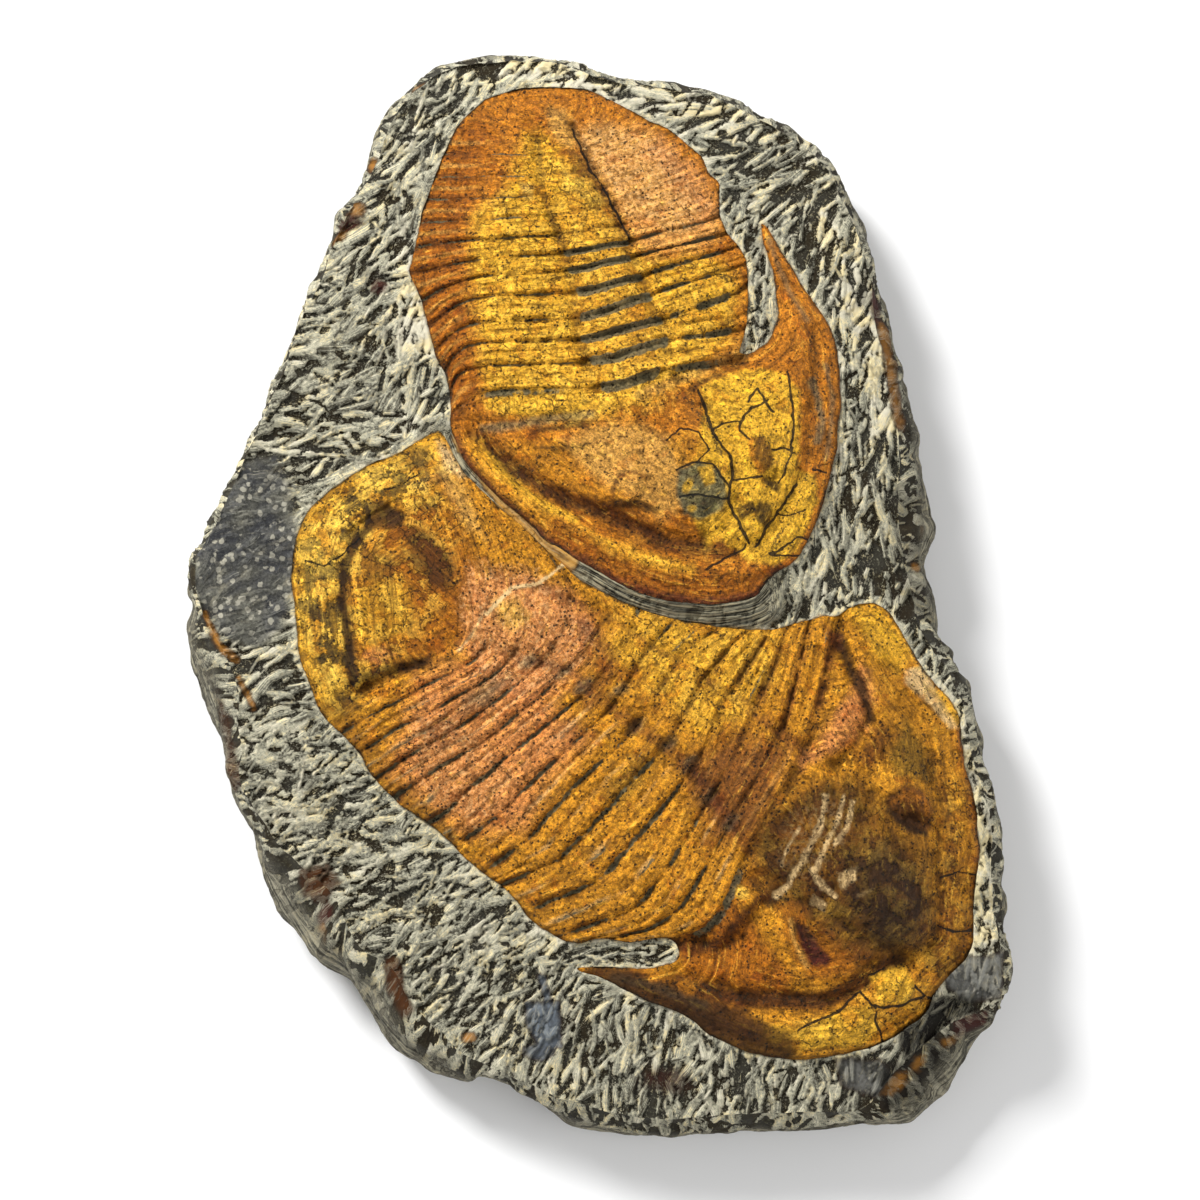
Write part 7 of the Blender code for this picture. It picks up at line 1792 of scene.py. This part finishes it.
def fossil_material(name):
    """Fossil shell: the kept tint, broken up by flakes, dirt, pale dust, specks and cracks, with
    painted shade in its hollows and painted highlights on its ridges.
    """
    s = Shader(name)
    warped = s.warped(1.4, 0.9)
    mottle = s.noise(7.0, 7.0, 0.7, stretch=0.3)
    blotch = s.noise(4.0, 7.0, 0.72, stretch=0.5, shift=3.0)
    fine = s.noise(1.5, 6.0, 0.75)
    grain = s.noise(0.55, 3.0, 0.7)
    fibre = s.noise(0.75, 5.0, 0.7, place=s.kept("flow", "Vector"))
    plates = s.about(s.kept("plates"), fine, 1.2)
    colour = s.kept("tint", "Color")
    # Broad changes of hue: rusty, olive and golden patches.
    colour = s.mix(s.step(mottle, 0.46, 0.36, 0.0, 0.8), colour, (0.78, 0.6, 0.45), "MULTIPLY")
    colour = s.mix(s.step(blotch, 0.54, 0.64, 0.0, 0.8), colour, (0.66, 0.68, 0.72), "MULTIPLY")
    colour = s.mix(s.step(blotch, 0.46, 0.36, 0.0, 0.8), colour, (1.22, 1.3, 1.0), "MULTIPLY")
    # Golden flakes and the bare shell between them.
    raised = s.step(plates, -0.1, -0.02)
    flakes = s.times(raised, s.kept("flakes"))
    bright = s.mix(s.step(mottle, 0.42, 0.58), "amber", "bright")
    strength = s.plus(s.times(s.kept("charred"), 0.3), 0.5)
    colour = s.mix(s.times(flakes, strength), colour, bright)
    bare = s.times(s.step(plates, -0.09, -0.16), s.kept("flakes"))
    scorched = s.mix(s.kept("charred"), "burnt", "char")
    strong = s.plus(s.times(s.kept("charred"), 0.65), 0.2)
    colour = s.mix(s.times(bare, strong), colour, scorched)
    # Light and dark at the scale of the fibres and grains.
    colour = s.mix(s.step(fibre, 0.56, 0.68, 0.0, 0.3), colour, "bright")
    colour = s.mix(s.step(fibre, 0.44, 0.32, 0.0, 0.45), colour, "umber")
    colour = s.shaded(colour, fibre, 0.3, 0.7, 0.65, 1.3)
    colour = s.shaded(colour, fine, 0.34, 0.66, 0.52, 1.38)
    colour = s.shaded(colour, grain, 0.36, 0.64, 0.72, 1.22)
    # Dark outlines of the flakes, then painted shade in the hollows and painted highlights on the
    # ridges.
    outline = s.step(s.math("ABSOLUTE", s.plus(plates, 0.09)), 0.045, 0.02)
    outline = s.times(outline, s.kept("flakes"))
    colour = s.mix(s.times(outline, 0.55), colour, "dark")
    # Painted shade: darker where the surface lies below its surroundings.
    colour = s.mix(s.step(s.kept("hollow"), -0.2, -1.0, 0.0, 0.55), colour, "dark")
    # Painted highlight: lighter where the surface lies above its surroundings.
    colour = s.shaded(colour, s.kept("hollow"), 0.1, 0.6, 1.0, 1.15)
    # Muddy bands, pale dust, grime, shade and peeling scraps.
    muddy = s.mix(s.step(fine, 0.35, 0.6), PALETTE["ring"] * 0.55, PALETTE["ring"] * 1.1)
    banded = s.about(s.kept("band"), fine, 1.1)
    colour = s.mix(s.step(banded, 0.42, 0.6, 0.0, 0.88), colour, muddy)
    dusty = s.about(s.kept("pale"), fine, 1.8)
    colour = s.mix(s.step(dusty, 0.42, 0.85, 0.0, 0.5), colour, "cream")
    dirty = s.about(s.kept("grime"), fine, 2.6)
    colour = s.mix(s.step(dirty, 0.5, 0.72, 0.0, 0.85), colour, "char")
    shade = s.about(s.kept("shade"), fine, 1.2)
    colour = s.mix(s.step(shade, 0.2, 1.0, 0.0, 0.92), colour, "dark")
    peeling = s.about(dusty, fibre, 1.2)
    colour = s.mix(s.step(peeling, 0.85, 1.1, 0.0, 0.75), colour, "cream")
    # Fine dark crackle in patches, black specks and the placed cracks.
    net = s.step(s.cells(4.2, warped, "DISTANCE_TO_EDGE"), 0.045, 0.02)
    where = s.plus(s.noise(5.0, 5.0, 0.7, shift=9.0), s.times(s.kept("flakes"), 0.07))
    net = s.times(net, s.step(where, 0.54, 0.62))
    colour = s.mix(s.times(net, 0.75), colour, "dark")
    often = s.plus(s.noise(3.0, 4.0, 0.7, shift=5.0), s.times(s.kept("specks"), 0.12))
    spots = s.times(s.step(s.cells(1.5, warped), 0.33, 0.24), s.step(often, 0.54, 0.61))
    colour = s.mix(s.times(spots, 0.85), colour, "black")
    crack = s.step(s.about(s.kept("crack"), fine, 0.8), 0.48, 0.62)
    colour = s.mix(s.times(crack, 0.92), colour, "black")
    s.finish(colour, fine, (0.45, 0.75), 0.22)
    height = s.plus(s.times(fine, 0.9), s.times(grain, 0.25))
    height = s.plus(height, s.times(fibre, 0.9))
    height = s.plus(height, s.times(raised, 0.3))
    for mark, deep in ((net, 0.3), (spots, 0.4), (crack, 1.2)):
        height = s.math("SUBTRACT", height, s.times(mark, deep))
    s.bump(height, 0.95)
    return s.material


def rock_material():
    """Dark shale under pale tool strokes, with slate, layered and stained places; the ledge's dark
    layers are partly painted shadow.
    """
    s = Shader("shale")
    streaks = s.noise(1.0, 5.0, 0.68, place=s.kept("streak", "Vector"))
    fine = s.noise(0.9, 5.0, 0.7)
    broad = s.noise(18.0, 4.0, 0.6)
    hue = s.noise(8.0, 4.0, 0.6, shift=4.0)
    dark = s.mix(s.step(broad, 0.42, 0.58), "shale_brown", "shale_grey")
    dark = s.mix(s.step(fine, 0.52, 0.66, 0.0, 0.7), dark, "shale_dust")
    # The pale strokes run from dark fibres over grey to cream; the kept tone also carries each
    # stroke's painted highlight along one edge.
    value = s.about(s.about(streaks, fine, 0.5), s.kept("tone"), 0.22)
    light = s.mix(s.step(value, 0.34, 0.44), "fibre_dark", "fibre_grey")
    light = s.mix(s.step(value, 0.44, 0.52), light, "fibre_pale")
    cream = s.mix(s.step(hue, 0.42, 0.56), "stroke_white", "stroke_cream")
    light = s.mix(s.step(value, 0.54, 0.66), light, cream)
    uneven = s.about(s.times(s.math("SUBTRACT", streaks, 0.5), 0.9), fine, 0.7)
    cover = s.plus(s.kept("cover"), uneven)
    colour = s.mix(s.step(cover, 0.04, 0.16), dark, light)
    # Slate with small pale dots.
    slate = s.mix(s.step(broad, 0.38, 0.6), "slate_warm", "slate_blue")
    slate = s.shaded(slate, fine, 0.34, 0.66, 0.55, 1.45)
    dots = s.step(s.cells(3.1, s.warped(1.6, 1.6)), 0.36, 0.27)
    dots = s.times(dots, s.step(hue, 0.36, 0.46))
    slate = s.mix(s.times(dots, 0.85), slate, "slate_dot")
    slate = s.mix(s.step(streaks, 0.58, 0.66, 0.0, 0.6), slate, "slate_scratch")
    colour = s.mix(s.times(s.kept("slate"), 0.9), colour, slate)
    # Layers of the ledge, whose dark layers partly stand for painted shadow of the smaller
    # trilobite's head, and of the broken walls.
    layers = s.mix(s.step(streaks, 0.46, 0.56), "ledge_dark_and_shadow", "ledge_pale")
    bed = s.mix(s.step(streaks, 0.4, 0.62), "bed_dark", "bed_pale")
    bed = s.shaded(bed, fine, 0.3, 0.7, 0.7, 1.3)
    layers = s.mix(s.kept("rim"), layers, bed)
    colour = s.mix(s.times(s.kept("ledge"), 0.85), colour, layers)
    patch = s.times(s.kept("stained"), s.step(fine, 0.25, 0.5, 0.7, 0.95))
    patch = s.times(patch, s.step(streaks, 0.62, 0.4, 0.7, 1.0))
    colour = s.mix(patch, colour, s.kept("stain", "Color"))
    s.finish(colour, fine, (0.7, 0.95), 0.25)
    height = s.plus(s.times(streaks, 1.1), s.times(fine, 0.6))
    s.bump(s.plus(height, s.times(s.step(cover, -0.1, 0.3), 0.6)), 0.8)
    return s.material


# Build


rng, wall_rng = np.random.default_rng(5), np.random.default_rng(11)
EDGE_NOISE, SHELL_NOISE, ROCK_NOISE = Noise(1), Noise(2), Noise(3)
SMALL_SHEET, LARGE_SHEET = smooth_sheet(SMALL_KNOTS), smooth_sheet(LARGE_KNOTS)
SMALL_BODY, LARGE_BODY = Net(SMALL_NET), Net(LARGE_NET)

corners = np.array(LARGE_OUTLINE, float)
low_corner = true_place(corners, np.full(len(corners), FOSSIL_FLOOR), FOSSIL_PLANE).min(axis=0)
CENTRE = low_corner - np.array(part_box("large_trilobite")[0][:2]) / TO_METRES

small_loop = natural_edge(SMALL_OUTLINE, OUTLINE_STEP)
large_loop = natural_edge(LARGE_OUTLINE, OUTLINE_STEP)
rings = slab_rings(wall_rng)
rim = broken_rim(finer(rings[0], RIM_PARTS))

rock = rock_material()
pockets = [moved_outward(loop, POCKET_GAP) for loop in (large_loop, small_loop)]
face = add_piece("slab_face", *slab_face(rim, pockets, small_loop, rng), rock)
walls = add_piece("slab_walls", *slab_walls(rings, rim, rng), rock)
large = add_piece("large_fossil", *fossil(large_loop, LARGE_GRID, large_sculpt, rng),
                  fossil_material("large_shell"))
small = add_piece("small_fossil", *fossil(small_loop, SMALL_GRID, small_sculpt, rng),
                  fossil_material("small_shell"))

for piece, node, slot in (
    (face, "matrix_slab", "matrix_stone"),
    (walls, "matrix_slab", "matrix_stone"),
    (large, "large_trilobite", "large_fossil"),
    (small, "small_trilobite", "small_fossil"),
):
    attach(piece, "root")
    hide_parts(node)


# Studio


def floor_piece():
    """A wide pale floor under the plate."""
    mesh = bpy.data.meshes.new("studio_floor")
    signs = ((-1, -1), (1, -1), (1, 1), (-1, 1))
    corners = [(x * FLOOR_HALF, y * FLOOR_HALF, 0.0) for x, y in signs]
    mesh.from_pydata(corners, [], [(0, 1, 2, 3)])
    s = Shader("floor_paper")
    shade = s.step(s.noise(900.0, 2.0), 0.3, 0.7, 0.88, 0.94)
    s.connect(s.grey(shade), s.surface.inputs["Base Color"])
    s.surface.inputs["Roughness"].default_value = 0.9
    mesh.materials.append(s.material)
    return linked(bpy.data.objects.new("studio_floor", mesh))


def lamp(name, place, size, power):
    """A square lamp that shines on the plate."""
    light = bpy.data.lights.new(name, "AREA")
    light.size = size
    light.energy = power
    thing = linked(bpy.data.objects.new(name, light))
    thing.location = place
    aim = Vector(LAMP_TARGET) - Vector(place)
    thing.rotation_euler = aim.to_track_quat("-Z", "Y").to_euler()


def camera():
    """The photo's view: from above, tilted a little towards the lower left."""
    tilt, turn = math.radians(CAMERA_TILT), math.radians(CAMERA_TURN)
    lean = math.sin(tilt)
    back = Vector((math.sin(turn) * lean, -math.cos(turn) * lean, math.cos(tilt)))
    up = (Vector((0.0, 1.0, 0.0)) - back * back.y).normalized()
    side = up.cross(back)
    target = Vector((CAMERA_TARGET[0] - CENTRE[0], CAMERA_TARGET[1] - CENTRE[1], CAMERA_TARGET[2]))
    place = (target + back * (HALF_VIEW * CAMERA_LENS / (0.5 * CAMERA_SENSOR))) * TO_METRES
    data = bpy.data.cameras.new("camera")
    data.lens, data.sensor_width = CAMERA_LENS, CAMERA_SENSOR
    data.clip_start = 0.05
    eye = linked(bpy.data.objects.new("camera", data))
    eye.matrix_world = Matrix((
        (side.x, up.x, back.x, place.x),
        (side.y, up.y, back.y, place.y),
        (side.z, up.z, back.z, place.z),
        (0.0, 0.0, 0.0, 1.0),
    ))
    bpy.context.scene.camera = eye


floor_piece()
for name, (place, size, power) in LAMPS.items():
    lamp(name, place, size, power)
world = bpy.data.worlds.new("studio")
world.use_nodes = True
sky = world.node_tree.nodes["Background"]
sky.inputs["Color"].default_value = (1.0, 1.0, 1.0, 1.0)
sky.inputs["Strength"].default_value = WORLD_STRENGTH
bpy.context.scene.world = world
bpy.context.scene.view_settings.view_transform = "Standard"
camera()
